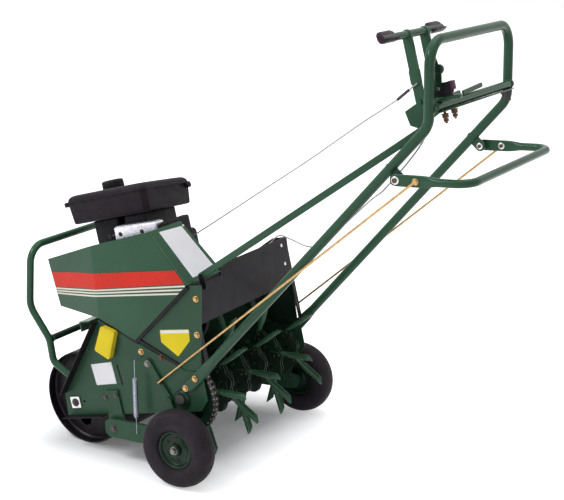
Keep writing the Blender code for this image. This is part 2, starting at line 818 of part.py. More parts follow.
def make_hanger(side, sign):
    """The bracket bolted under the side plate that carries the wheel arm's pivot pin."""
    inner = SIDE_PLATE_X + FIT_GAP
    outer = ARM_INNER_X - FIT_GAP
    outline = [
        (0.118, 0.031), (0.168, 0.031), (0.168, -0.060), (0.160, -0.094), (0.120, -0.094), (0.112, -0.060),
        (0.118, -0.030),
    ]
    bracket = plate_object(f"arm_hanger_{side}", outline, inner * sign, (inner + 0.006) * sign, PAINT)
    pin = cylinder_object(
        f"hanger_pin_{side}", (inner + 0.003) * sign, (ARM_INNER_X + ARM_THICK + 0.004) * sign, ARM_PIVOT,
        ARM_PIN_RADIUS, BLACK_PAINT, segments=16, helper=True,
    )
    boss = cylinder_object(
        f"hanger_boss_{side}", (inner + 0.003) * sign, outer * sign, ARM_PIVOT, 0.015, PAINT, segments=16,
        helper=True,
    )
    head = cylinder_object(
        f"hanger_head_{side}", (ARM_INNER_X + ARM_THICK + FIT_GAP) * sign,
        (ARM_INNER_X + ARM_THICK + 0.0062) * sign, ARM_PIVOT, 0.013, BLACK_PAINT, segments=6, helper=True,
    )
    return combine(bracket, [boss, pin, head], "UNION")


# Roller pieces
def make_roller(parent):
    """The hollow drum with two holed end discs and a hub tube on its axle."""
    outer = ROLLER_RADIUS
    shell = outer - ROLLER_WALL
    half = ROLLER_HALF_WIDTH
    profile = [
        (shell, half),
        (outer - 0.002, half),
        (outer, half - 0.002),
        (outer, -half + 0.002),
        (outer - 0.002, -half),
        (shell, -half),
    ]
    drum = turned_object("front_roller", profile, 0.0, (0.0, 0.0), BLACK_PAINT, parent, steps=28)
    reach = half - ROLLER_DISC_INSET
    added = [
        cylinder_object(
            "roller_hub", -reach - 0.022, reach + 0.022, (0.0, 0.0), ROLLER_HUB_RADIUS, BLACK_PAINT, parent,
            20, True,
        )
    ]
    for side, sign in SIDES:
        added.append(
            cylinder_object(
                f"roller_disc_{side}", reach * sign, (reach - ROLLER_WALL) * sign, (0.0, 0.0),
                shell + 0.001, BLACK_PAINT, parent, 28, True,
            )
        )
    bore = cylinder_object(
        "roller_bore", -0.3, 0.3, (0.0, 0.0), bore_radius(ROLLER_AXLE_RADIUS, 20), BLACK_PAINT, parent, 20,
        True,
    )
    cutters = [bore]
    for number in range(3):
        place = polar((0.0, 0.0), ROLLER_HOLE_CIRCLE, number * math.tau / 3)
        cutters.append(
            cylinder_object(
                f"roller_hole_{number}", -0.3, 0.3, place, ROLLER_HOLE_RADIUS, BLACK_PAINT, parent, 8, True
            )
        )
    combine(drum, added, "UNION")
    return combine(drum, cutters, "DIFFERENCE")


def make_roller_axle():
    """The axle across both side plates, with a square plated plate and a bolt head at each end."""
    reach = SIDE_PLATE_X + FIT_GAP
    axle = cylinder_object(
        "roller_axle", -reach - 0.002, reach + 0.002, (0.0, 0.0), ROLLER_AXLE_RADIUS, BARE_STEEL, segments=20
    )
    half = AXLE_PLATE_SIZE / 2
    added = []
    for side, sign in SIDES:
        inner = reach * sign
        outer = (reach + AXLE_PLATE_THICK) * sign
        added.append(box_object(
            f"axle_plate_{side}",
            (min(inner, outer), -half, -half),
            (max(inner, outer), half, half),
            BRIGHT,
            helper=True,
        ))
        added.append(cylinder_object(
            f"axle_bolt_{side}", outer - 0.002 * sign, outer + 0.006 * sign, (0.0, 0.0), 0.0095, BARE_STEEL,
            segments=6, helper=True,
        ))
        collar_inner = (ROLLER_HALF_WIDTH - 0.008 + RUN_GAP) * sign
        added.append(cylinder_object(
            f"axle_collar_{side}", collar_inner, (SIDE_PLATE_X - PLATE - FIT_GAP) * sign, (0.0, 0.0), 0.016,
            BARE_STEEL, segments=16, helper=True,
        ))
    return combine(axle, added, "UNION")


# Wheel and lift linkage pieces
def arm_angle():
    """The level-frame angle of the wheel arms that puts wheels and roller on one floor."""
    lift = WHEEL_RADIUS - ROLLER_RADIUS
    lift -= ARM_PIVOT[0] * math.sin(BODY_PITCH) + ARM_PIVOT[1] * math.cos(BODY_PITCH)
    return math.asin(lift / ARM_LENGTH) - BODY_PITCH


ARM_ANGLE = arm_angle()


def make_wheel_arm(side, sign, parent):
    """The flat wheel arm with its stub axle, laid out from its pivot."""
    inner = ARM_INNER_X * sign
    outer = (ARM_INNER_X + ARM_THICK) * sign
    half = ARM_HEIGHT / 2
    tip = polar((0.0, 0.0), ARM_LENGTH, ARM_ANGLE)
    along = Vector(tip).normalized()
    across = Vector((-along.y, along.x))
    corners = [
        (-0.022, -half + 0.004), (0.06, -half), (ARM_LENGTH - 0.02, -0.026), (ARM_LENGTH + 0.014, -0.020),
        (ARM_LENGTH + 0.022, 0.0), (ARM_LENGTH + 0.014, 0.020), (ARM_LENGTH - 0.02, 0.026), (0.06, half),
        (-0.022, half - 0.004), (-0.030, 0.0),
    ]
    outline = [tuple(along * a + across * b) for a, b in corners]
    arm = plate_object(f"wheel_arm_{side}", outline, inner, outer, PAINT, parent,
                       holes=[(0.0, 0.0, ARM_PIN_RADIUS + FIT_GAP)], hole_sides=16)
    hub_end = (WHEEL_TRACK_HALF + WHEEL_HUB_HALF + 0.004) * sign
    axle = cylinder_object(
        f"stub_axle_{side}", inner + 0.002 * sign, hub_end, tip, WHEEL_AXLE_RADIUS, BARE_STEEL, parent, 16,
        True,
    )
    nut = cylinder_object(f"axle_nut_{side}", hub_end - 0.0032 * sign, hub_end + 0.006 * sign, tip, 0.0125,
                          BARE_STEEL, parent, 6, True)
    shoulder = cylinder_object(
        f"axle_shoulder_{side}",
        inner + 0.002 * sign,
        (WHEEL_TRACK_HALF - WHEEL_HUB_HALF - RUN_GAP) * sign,
        tip,
        0.013,
        BARE_STEEL,
        parent,
        16,
        True,
    )
    return combine(arm, [axle, nut, shoulder], "UNION")


def make_wheel(side, sign, parent):
    """A solid tyre on a pressed two-part rim with a hub tube."""
    half = TYRE_WIDTH / 2
    rim_half = half * 0.62
    tyre_profile = [
        (bore_radius(RIM_RADIUS, 30), rim_half),
        (RIM_RADIUS + 0.008, half - 0.004),
        (WHEEL_RADIUS * 0.74, half),
        (WHEEL_RADIUS - 0.008, half - 0.005),
        (WHEEL_RADIUS, half * 0.55),
        (WHEEL_RADIUS, -half * 0.55),
        (WHEEL_RADIUS - 0.008, -half + 0.005),
        (WHEEL_RADIUS * 0.74, -half),
        (RIM_RADIUS + 0.008, -half + 0.004),
        (bore_radius(RIM_RADIUS, 30), -rim_half),
    ]
    turned_object(
        f"tyre_{side}", tyre_profile, WHEEL_TRACK_HALF * sign, (0.0, 0.0), RUBBER_BLACK, parent, steps=30
    )
    bore = WHEEL_AXLE_RADIUS + RUN_GAP / 2
    web = 0.0035
    rim_profile = [
        (bore, WHEEL_HUB_HALF),
        (WHEEL_HUB_RADIUS, WHEEL_HUB_HALF),
        (WHEEL_HUB_RADIUS, web + 0.004),
        (0.030, web),
        (RIM_RADIUS - 0.012, web + 0.003),
        (RIM_RADIUS - 0.005, rim_half - 0.001),
        (RIM_RADIUS, rim_half - 0.001),
        (RIM_RADIUS, -rim_half + 0.001),
        (RIM_RADIUS - 0.005, -rim_half + 0.001),
        (RIM_RADIUS - 0.012, -web - 0.003),
        (0.030, -web),
        (WHEEL_HUB_RADIUS, -web - 0.004),
        (WHEEL_HUB_RADIUS, -WHEEL_HUB_HALF),
        (bore, -WHEEL_HUB_HALF),
    ]
    turned_object(f"rim_{side}", rim_profile, WHEEL_TRACK_HALF * sign, (0.0, 0.0), PAINT, parent, steps=20)


def make_lever(side, sign, parent):
    """The toggle lever, which the lift rod pulls about its pivot bolt."""
    end = (LEVER_END[0] - LEVER_PIVOT[0], LEVER_END[1] - LEVER_PIVOT[1])
    pin = (LEVER_PIN[0] - LEVER_PIVOT[0], LEVER_PIN[1] - LEVER_PIVOT[1])
    inner = LEVER_INNER_X * sign
    outer = (LEVER_INNER_X + LEVER_THICK) * sign
    lever = plate_object(
        f"toggle_lever_{side}", rounded_bar((0.0, 0.0), end, 0.0135), inner, outer, PAINT, parent,
        holes=[(*pin, 0.0046)],
    )
    boss = cylinder_object(
        f"lever_boss_{side}", (SIDE_PLATE_X + FIT_GAP) * sign, inner + 0.001 * sign, (0.0, 0.0), 0.010,
        BARE_STEEL, parent, 16, True,
    )
    head = cylinder_object(
        f"lever_bolt_{side}", outer - 0.001 * sign, outer + 0.005 * sign, (0.0, 0.0), 0.0085, BARE_STEEL,
        parent, 12, True,
    )
    stud = cylinder_object(
        f"lever_stud_{side}",
        outer - 0.001 * sign,
        (LINK_INNER_X + LINK_THICK + 0.0004) * sign,
        end,
        0.0050,
        BARE_STEEL,
        parent,
        12,
        True,
    )
    return combine(lever, [boss, head, stud], "UNION")


def make_link(side, sign, parent):
    """The lower toggle link, from the lever's end down to the wheel arm."""
    arm_pin = polar(ARM_PIVOT, LINK_REACH, ARM_ANGLE)
    reach = (arm_pin[0] - LEVER_END[0], arm_pin[1] - LEVER_END[1])
    inner = LINK_INNER_X * sign
    outer = (LINK_INNER_X + LINK_THICK) * sign
    return plate_object(
        f"toggle_link_{side}", rounded_bar((0.0, 0.0), reach, 0.0110), inner, outer, PAINT, parent,
        holes=[(0.0, 0.0, 0.0053)], hole_sides=12,
    )


def make_rod(side, sign, parent):
    """The plated lift rod, from the bail pin down to a short hooked end beside the toggle lever."""
    pin = polar(BAIL_PIVOT, BAIL_PIN_ARM, BAIL_ANGLE)
    low = (LEVER_PIN[0] - pin[0], LEVER_PIN[1] - pin[1])
    near = level_line((0.0, 0.0), low, 0.10)
    path = [
        ((BAIL_X + BAIL_FLAT / 2 + FIT_GAP + 0.0042) * sign, 0.0, 0.0),
        (ROD_TOP_X * sign, *near),
        (ROD_LOW_X * sign, *low),
        ((LEVER_INNER_X + LEVER_THICK + 0.0008) * sign, *low),
    ]
    route = rounded_path(path, [0.05, 0.0085], 3)
    rod = tube_object(f"lift_rod_{side}", route, ROD_RADIUS, PLATED, parent, resolution=1)
    eye = cylinder_object(
        f"rod_eye_{side}",
        (BAIL_X + BAIL_FLAT / 2 + FIT_GAP) * sign,
        (BAIL_X + BAIL_FLAT / 2 + FIT_GAP + 0.007) * sign,
        (0.0, 0.0),
        0.0085,
        PLATED,
        parent,
        12,
        True,
    )
    return combine(rod, [eye], "UNION")


def make_bail(parent):
    """The lift bail: a U of tube with flattened ends that pivot on the outside of the handle."""
    corner = polar((0.0, 0.0), BAIL_LENGTH, BAIL_ANGLE)
    start = polar((0.0, 0.0), BAIL_PIN_ARM + 0.030, BAIL_ANGLE)
    path = [(BAIL_X, *start), (BAIL_X, *corner), (-BAIL_X, *corner), (-BAIL_X, *start)]
    bail = tube_object(
        "lift_bail", rounded_path(path, [BAIL_BEND, BAIL_BEND], 6), BAIL_RADIUS, PAINT, parent, 2
    )
    added = []
    for side, sign in SIDES:
        inner = (BAIL_X - BAIL_FLAT / 2) * sign
        outer = (BAIL_X + BAIL_FLAT / 2) * sign
        end = polar((0.0, 0.0), BAIL_PIN_ARM + 0.034, BAIL_ANGLE)
        flat = plate_object(
            f"bail_flat_{side}", rounded_bar((0.0, 0.0), end, 0.0150), inner, outer, PAINT, parent
        )
        added.append(move_to_helpers(flat))
        added.append(
            cylinder_object(
                f"bail_bolt_{side}", outer - 0.001 * sign, outer + 0.005 * sign, (0.0, 0.0), 0.0090,
                BARE_STEEL, parent, 6, True,
            )
        )
    return combine(bail, added, "UNION")


def make_spring(side, sign):
    """The assist spring: hooked wire ends and one unbroken coil."""
    top = Vector((SPRING_X * sign, *SPRING_TOP))
    foot = polar(ARM_PIVOT, SPRING_REACH, ARM_ANGLE)
    bottom = Vector((SPRING_X * sign, *foot))
    axis = (bottom - top).normalized()
    side_way = Vector((1.0, 0.0, 0.0))
    third = axis.cross(side_way).normalized()
    coil = SPRING_CURLS * SPRING_PITCH
    lead = ((bottom - top).length - coil) / 2
    points_a_curl = 8
    route = [
        top + Vector((-(SPRING_X - SIDE_PLATE_X - FIT_GAP) * sign, 0.0, 0.0)),
        top,
        top + axis * (lead - 0.006),
    ]
    for step in range(SPRING_CURLS * points_a_curl + 1):
        angle = step * math.tau / points_a_curl
        along = lead + step * SPRING_PITCH / points_a_curl
        route.append(
            top + axis * along + (side_way * math.cos(angle) + third * math.sin(angle)) * SPRING_COIL_RADIUS
        )
    route.append(bottom - axis * (lead - 0.006))
    route.append(bottom)
    route.append(bottom - Vector(((SPRING_X - ARM_INNER_X - ARM_THICK - FIT_GAP) * sign, 0.0, 0.0)))
    coil_points = route[3:-3]
    gap = min((coil_points[i + points_a_curl] - coil_points[i]).length
              for i in range(len(coil_points) - points_a_curl)) - 2 * SPRING_WIRE_RADIUS
    print(f"assist_spring_{side} least gap between curls {gap * 1000:.2f} mm")
    return tube_object(f"assist_spring_{side}", route, SPRING_WIRE_RADIUS, BARE_STEEL, resolution=1)


# Tine reel pieces
def make_tine_wheel(index, parent):
    """Two scalloped discs on a hub, with five open spoon tines clamped between them."""
    x = (index - (TINE_WHEEL_COUNT - 1) / 2) * TINE_WHEEL_PITCH
    phase = TINE_PHASES[index % 2]
    lobes = TINE_COUNT * 2
    outline = []
    for step in range(lobes * 2):
        angle = phase + step * math.tau / (lobes * 2)
        swell = 0.5 + 0.5 * math.cos(lobes * (angle - phase))
        outline.append(polar((0.0, 0.0), TINE_HUB_RADIUS - 0.008 + 0.008 * swell, angle))
    wheel = turned_object(
        f"tine_wheel_{index + 1}",
        [
            (bore_radius(TINE_SHAFT_RADIUS, 10), TINE_HUB_HALF),
            (0.026, TINE_HUB_HALF),
            (0.030, 0.0),
            (0.026, -TINE_HUB_HALF),
            (bore_radius(TINE_SHAFT_RADIUS, 10), -TINE_HUB_HALF),
        ],
        x,
        (0.0, 0.0),
        PAINT,
        parent,
        steps=10,
    )
    added = []
    for side, sign in SIDES:
        disc = plate_object(f"tine_disc_{side}_{index + 1}", outline, x + TINE_DISC_INNER * sign,
                            x + TINE_DISC_OUTER * sign, PAINT, parent, [(0.0, 0.0, 0.022)], 8)
        added.append(move_to_helpers(disc))
    added.append(
        mesh_object(f"tines_{index + 1}", lambda s: add_tines(s, x, phase), PAINT, parent, 35.0, True)
    )
    return combine(wheel, added, "UNION")


def add_tines(shape, x, phase):
    """Five spoons: half-round troughs that open forwards and end in a slanted mouth."""
    radius = TINE_WIDTH / 2
    inner = radius - TINE_WALL
    arc = 3
    stations = ((TINE_ROOT, 0.62), (TINE_TIP_RADIUS, 1.0))
    for number in range(TINE_COUNT):
        base = phase + number * math.tau / TINE_COUNT
        rings = []
        for reach, scale in stations:
            outer_ring = []
            inner_ring = []
            for step in range(arc + 1):
                angle = math.pi * step / arc
                across = math.cos(angle)
                depth = math.sin(angle)
                mouth = 0.016 * (1.0 - depth) if reach == TINE_TIP_RADIUS else 0.0
                outer_ring.append((radius * scale * across, radius * scale * depth, reach - mouth))
                inner_ring.append((inner * scale * across, (inner * scale) * depth, reach - mouth))
            rings.append(outer_ring + inner_ring[::-1])
        lean = Matrix.Rotation(-TINE_LEAN, 4, "X")
        turn = Matrix.Rotation(base - math.pi / 2, 4, "X")
        move = Matrix.Translation((x, 0.0, 0.0))
        about = Matrix.Translation((0.0, 0.0, TINE_HUB_RADIUS))
        back = Matrix.Translation((0.0, -radius * 0.5, -TINE_HUB_RADIUS))
        matrix = move @ turn @ about @ lean @ back
        made = [[shape.verts.new(matrix @ Vector(place)) for place in ring] for ring in rings]
        for low, high in zip(made, made[1:]):
            count = len(low)
            for i in range(count):
                j = (i + 1) % count
                shape.faces.new((low[i], low[j], high[j], high[i]))
        shape.faces.new(made[0][::-1])
        shape.faces.new(made[-1])


def make_tine_shaft(parent):
    """The reel's shaft, with a collar inside each bearing."""
    reach = SIDE_PLATE_X + BEARING_DEPTH + 0.003
    return cylinder_object("tine_shaft", -reach, reach, (0.0, 0.0), TINE_SHAFT_RADIUS, BARE_STEEL, parent, 24)


def sprocket_outline(teeth, pitch_radius):
    """Short teeth whose tips run just under the chain's rollers."""
    tip = pitch_radius - CHAIN_ROLLER_RADIUS - FIT_GAP
    root_radius = tip - TOOTH_DEPTH
    outline = []
    for tooth in range(teeth):
        for share, radius in ((-0.35, root_radius), (-0.10, tip), (0.10, tip)):
            outline.append(polar((0.0, 0.0), radius, (tooth + share) * math.tau / teeth))
    return outline


def pitch_radius_of(teeth):
    return CHAIN_PITCH / (2 * math.sin(math.pi / teeth))


def make_tine_sprocket(parent):
    radius = pitch_radius_of(TINE_SPROCKET_TEETH)
    lightening = [(*polar((0.0, 0.0), 0.058, step * math.tau / 5 + 0.3), 0.0145) for step in range(5)]
    sprocket = plate_object(
        "tine_sprocket",
        sprocket_outline(TINE_SPROCKET_TEETH, radius),
        CHAIN_X - SPROCKET_HALF,
        CHAIN_X + SPROCKET_HALF,
        DARK_PAINT,
        parent,
        holes=[(0.0, 0.0, bore_radius(TINE_SHAFT_RADIUS, 6))] + lightening,
        hole_sides=6,
    )
    return sprocket


def chain_route():
    """Roller centres along the closed chain, from the tangent geometry of the two sprockets."""
    big = pitch_radius_of(TINE_SPROCKET_TEETH)
    small = pitch_radius_of(JACK_SPROCKET_TEETH)
    low = Vector(TINE_SHAFT)
    high = Vector(JACKSHAFT)
    span = (high - low).length
    heading = math.atan2(high.y - low.y, high.x - low.x)
    spread = math.acos((big - small) / span)
    run = math.sqrt(span * span - (big - small) ** 2)
    pieces = [
        ("arc", low, big, heading + spread, math.tau - 2 * spread),
        ("line", polar(low, big, heading - spread), polar(high, small, heading - spread), run, 0.0),
        ("arc", high, small, heading - spread, 2 * spread),
        ("line", polar(high, small, heading + spread), polar(low, big, heading + spread), run, 0.0),
    ]
    return pieces


def point_on_loop(pieces, distance):
    """The place and heading at a distance along the loop."""
    for kind, first, second, third, fourth in pieces:
        length = second * fourth if kind == "arc" else third
        if distance <= length:
            if kind == "arc":
                angle = third + distance / second
                place = polar(first, second, angle)
                return Vector(place), angle + math.pi / 2
            share = distance / length
            place = level_line(first, second, share)
            return Vector(place), math.atan2(second[1] - first[1], second[0] - first[0])
        distance -= length
    return point_on_loop(pieces, 0.0)


def loop_length(pieces):
    return sum(second * fourth if kind == "arc" else third for kind, first, second, third, fourth in pieces)


def make_chain():
    """A roller chain in one closed ribbon: waisted side plates joined by a roller at every pitch."""
    pieces = chain_route()
    links = round(loop_length(pieces) / CHAIN_PITCH)
    pitch = loop_length(pieces) / links
    outer_x = CHAIN_INNER_HALF + CHAIN_SIDE
    sections = []
    for step in range(links * 2):
        place, heading = point_on_loop(pieces, step * pitch / 2)
        normal = Vector((math.sin(heading), -math.cos(heading)))
        plate_half, roller_half = (
            (CHAIN_LINK_HALF, CHAIN_ROLLER_HALF), (CHAIN_WAIST_HALF, CHAIN_WEB_HALF)
        )[step % 2]
        ring = []
        for x, height in (
            (outer_x, plate_half), (CHAIN_INNER_HALF, plate_half), (CHAIN_INNER_HALF, roller_half),
            (-CHAIN_INNER_HALF, roller_half), (-CHAIN_INNER_HALF, plate_half), (-outer_x, plate_half),
            (-outer_x, -plate_half), (-CHAIN_INNER_HALF, -plate_half), (-CHAIN_INNER_HALF, -roller_half),
            (CHAIN_INNER_HALF, -roller_half), (CHAIN_INNER_HALF, -plate_half), (outer_x, -plate_half),
        ):
            point = place + normal * height
            ring.append((CHAIN_X + x, point.x, point.y))
        sections.append(ring)

    def build(shape):
        rings = [[shape.verts.new(point) for point in ring] for ring in sections]
        for low, high in zip(rings, rings[1:] + rings[:1]):
            for i in range(len(low)):
                j = (i + 1) % len(low)
                shape.faces.new((low[i], low[j], high[j], high[i]))

    return mesh_object("drive_chain", build, BARE_STEEL, smooth_angle=None)


# Belt drive pieces
def pulley_profile(radius, bore, half, hub):
    groove = BELT_HEIGHT * 0.80
    return [
        (bore, hub),
        (bore + 0.007, hub),
        (bore + 0.007, half * 0.30),
        (radius - groove - 0.012, half * 0.30),
        (radius - groove - 0.006, half),
        (radius + 0.0015, half),
        (radius - groove, half * 0.45),
        (radius - groove, -half * 0.45),
        (radius + 0.0015, -half),
        (radius - groove - 0.006, -half),
        (radius - groove - 0.012, -half * 0.30),
        (bore + 0.007, -half * 0.30),
        (bore + 0.007, -hub),
        (bore, -hub),
    ]


def make_jackshaft(parent):
    """The jackshaft with its twelve-tooth sprocket machined in one piece."""
    shaft = cylinder_object(
        "jackshaft", JACKSHAFT_INNER_X + RUN_GAP, UPPER_PLATE_X - PLATE - FIT_GAP, (0.0, 0.0),
        JACKSHAFT_RADIUS, BARE_STEEL, parent, 20,
    )
    radius = pitch_radius_of(JACK_SPROCKET_TEETH)
    teeth = plate_object(
        "jack_sprocket",
        sprocket_outline(JACK_SPROCKET_TEETH, radius),
        CHAIN_X - SPROCKET_HALF,
        CHAIN_X + SPROCKET_HALF,
        BARE_STEEL,
        parent,
    )
    return combine(shaft, [move_to_helpers(teeth)], "UNION")


def make_belt():
    """The V-belt around the crank pulley and the driven pulley."""
    groove = BELT_HEIGHT * 0.80
    small = CRANK_PULLEY_RADIUS - groove + FIT_GAP
    large = DRIVEN_PULLEY_RADIUS - groove + FIT_GAP
    low = Vector(JACKSHAFT)
    high = Vector(CRANK)
    span = (high - low).length
    heading = math.atan2(high.y - low.y, high.x - low.x)
    spread = math.acos((large - small) / span)
    inner = []
    outer = []
    for centre, radius, first, sweep, steps in (
        (low, large, heading + spread, math.tau - 2 * spread, 28),
        (high, small, heading - spread, 2 * spread, 14),
    ):
        for step in range(steps + 1):
            angle = first + sweep * step / steps
            ease = 1.0 / math.cos(sweep / steps / 2)
            inner.append(polar(centre, radius * ease, angle))
            outer.append(polar(centre, radius + BELT_HEIGHT, angle))

    def build(shape):
        loops = []
        for half, line in (
            (-BELT_HALF * 0.66, inner), (BELT_HALF * 0.66, inner), (BELT_HALF, outer), (-BELT_HALF, outer)
        ):
            loops.append([shape.verts.new((DRIVE_X + half, u, w)) for u, w in line])
        count = len(inner)
        for a in range(4):
            b = (a + 1) % 4
            for i in range(count):
                j = (i + 1) % count
                shape.faces.new((loops[a][i], loops[a][j], loops[b][j], loops[b][i]))

    return mesh_object("drive_belt", build, RUBBER_BLACK)


def make_idler(arm_parent, wheel_parent):
    """The clutch idler: a flat arm on its pivot and a smooth roller that presses the belt."""
    end = polar((0.0, 0.0), IDLER_ARM, IDLER_ANGLE)
    inner = DRIVE_X - PULLEY_HALF - 0.0075
    outer = inner + 0.005
    arm = plate_object(
        "idler_arm", rounded_bar((0.0, 0.0), end, 0.011, 5), inner, outer, DARK_PAINT, arm_parent
    )
    stud = cylinder_object(
        "idler_stud", outer - 0.001, DRIVE_X + PULLEY_HALF + 0.003, end, 0.0050, BARE_STEEL, arm_parent, 12,
        True,
    )
    pivot = cylinder_object(
        "idler_pivot", ENGINE_X + 0.010 + FIT_GAP, inner + 0.001, (0.0, 0.0), 0.0080, BARE_STEEL,
        arm_parent, 14, True,
    )
    combine(arm, [stud, pivot], "UNION")
    turned_object(
        "idler_pulley",
        [
            (0.0050 + FIT_GAP, PULLEY_HALF * 0.8),
            (IDLER_RADIUS + 0.002, PULLEY_HALF * 0.8),
            (IDLER_RADIUS, PULLEY_HALF * 0.66),
            (IDLER_RADIUS, -PULLEY_HALF * 0.66),
            (IDLER_RADIUS + 0.002, -PULLEY_HALF * 0.8),
            (0.0050 + FIT_GAP, -PULLEY_HALF * 0.8),
        ],
        DRIVE_X,
        (0.0, 0.0),
        BARE_STEEL,
        wheel_parent,
        steps=24,
    )


# Engine pieces
def make_engine_block():
    """Crankcase, finned cylinder towards the roller, bearing cover and mounting feet."""
    base = DECK_TOP + FIT_GAP

    def crankcase(shape):
        add_box(shape, (-ENGINE_X, CRANKCASE_FRONT, base), (ENGINE_X, CRANKCASE_REAR, CRANKCASE_TOP))

    block = mesh_object("engine_block", crankcase, BLACK_PAINT)
    rounding = block.modifiers.new("edges", "BEVEL")
    rounding.width = 0.012
    rounding.segments = 2
    feet = box_object("engine_feet", (-ENGINE_X - 0.012, CRANKCASE_FRONT - 0.008, base),
                      (ENGINE_X + 0.012, CRANKCASE_REAR + 0.012, base + 0.012), BLACK_PAINT, helper=True)
    barrel = box_object(
        "engine_barrel",
        (-0.058, CYLINDER_FRONT + 0.001, 0.276),
        (0.058, CRANKCASE_FRONT + 0.01, 0.396),
        BLACK_PAINT,
        helper=True,
    )
    fins = []
    for index in range(FIN_COUNT):
        u = CYLINDER_FRONT + index * (CRANKCASE_FRONT - CYLINDER_FRONT - 0.006) / (FIN_COUNT - 1)
        fins.append(box_object(f"fin_{index}", (-0.076, u, 0.262), (0.076, u + 0.0035, 0.412), BLACK_PAINT,
                               helper=True))
    cover = cylinder_object("bearing_cover", ENGINE_X - 0.002, ENGINE_X + 0.010, CRANK, 0.058, BLACK_PAINT,
                            segments=24, helper=True)

    def mount(shape):
        add_box(shape, (-0.070, 0.060, CRANKCASE_TOP - 0.02), (0.090, 0.270, TANK_BOTTOM))
        for vert in shape.verts:
            if vert.co.z > CRANKCASE_TOP:
                vert.co.z = tank_bottom_at(vert.co.x) - FIT_GAP

    riser = mesh_object("tank_mount", mount, BLACK_PAINT, helper=True)
    boss = cylinder_object("far_boss", -ENGINE_X - 0.006, -ENGINE_X + 0.002, CRANK, 0.050, BLACK_PAINT,
                           segments=14, helper=True)
    idler_boss = cylinder_object(
        "idler_boss", ENGINE_X - 0.002, ENGINE_X + 0.010, IDLER_PIVOT, 0.014, BLACK_PAINT, segments=12,
        helper=True,
    )
    bore = cylinder_object(
        "crank_bore", ENGINE_X - 0.020, ENGINE_X + 0.02, CRANK, CRANK_SHAFT_RADIUS + RUN_GAP, BLACK_PAINT,
        segments=16, helper=True,
    )
    combine(block, [feet, barrel] + fins + [cover, riser, boss, idler_boss], "UNION")
    return combine(block, [bore], "DIFFERENCE")


def tank_bottom_at(x):
    """The height of the tank's underside, which rises towards the left."""
    reach = (TANK_NEAR_X - TANK_FAR_X) * (1.0 - TANK_TAPER)
    return TANK_BOTTOM + TANK_TILT[1] * ((x - (TANK_NEAR_X + TANK_FAR_X) / 2) / reach + 0.5)


def make_tank():
    """The wide fuel tank: a shell whose left edge stands higher, with a seam flange, lugs and a neck."""
    middle = TANK_BOTTOM + (TANK_TOP - TANK_BOTTOM) * 0.80
    centre_x = (TANK_NEAR_X + TANK_FAR_X) / 2
    centre_u = (TANK_FRONT + TANK_REAR) / 2

    def tilt(shape):
        for vert in shape.verts:
            vert.co.z += TANK_TILT[1] if vert.co.x > centre_x else TANK_TILT[0] * (
                vert.co.z > TANK_BOTTOM + 0.001
            )

    def shell(shape):
        add_box(shape, (TANK_FAR_X, TANK_FRONT, TANK_BOTTOM), (TANK_NEAR_X, TANK_REAR, TANK_TOP))
        for vert in shape.verts:
            if vert.co.z < middle:
                vert.co.x += (centre_x - vert.co.x) * TANK_TAPER
                vert.co.y += (centre_u - vert.co.y) * TANK_TAPER
        tilt(shape)

    def seam(shape):
        add_box(shape, (TANK_FAR_X - 0.004, TANK_FRONT - 0.004, middle - 0.002),
                (TANK_NEAR_X + 0.004, TANK_REAR + 0.004, middle + 0.002))
        upright = [edge for edge in shape.edges if abs(edge.verts[0].co.z - edge.verts[1].co.z) > 0.001]
        bmesh.ops.bevel(shape, geom=upright, offset=0.018, segments=3, affect="EDGES", profile=0.5)
        for vert in shape.verts:
            share = (vert.co.x - TANK_FAR_X) / (TANK_NEAR_X - TANK_FAR_X)
            vert.co.z += TANK_TILT[0] + (TANK_TILT[1] - TANK_TILT[0]) * share

    tank = mesh_object("fuel_tank", shell, BLACK_PLASTIC)
    rounding = tank.modifiers.new("edges", "BEVEL")
    rounding.width = 0.014
    rounding.segments = 2
    added = [mesh_object("tank_seam", seam, BLACK_PLASTIC, helper=True)]
    front, rear = TANK_LUGS
    for number, (x, u0, u1, w) in enumerate((front, rear)):
        added.append(
            box_object(
                f"tank_lug_{number}", (x - 0.009, u0, w - 0.0040), (x + 0.009, u1, w + 0.0040),
                BLACK_PLASTIC, helper=True,
            )
        )
    added.append(upright_cylinder("tank_neck", CAP_CENTRE, TANK_TOP - 0.012, TANK_NECK_TOP - 0.004, 0.038,
                                  BLACK_PLASTIC, helper=True))
    added.append(upright_cylinder("tank_throat", CAP_CENTRE, TANK_TOP, TANK_NECK_TOP, 0.020, BLACK_PLASTIC,
                                  helper=True))
    return combine(tank, added, "UNION")


def upright_cylinder(name, centre, low, high, radius, material, parent=chassis, segments=24, helper=False):
    """A cylinder along the level frame's upright axis at (x, u)."""
    def build(shape):
        bmesh.ops.create_cone(
            shape, cap_ends=True, segments=segments, radius1=radius, radius2=radius, depth=high - low,
            matrix=Matrix.Translation((centre[0], centre[1], (low + high) / 2)),
        )

    return mesh_object(name, build, material, parent, 35.0, helper)


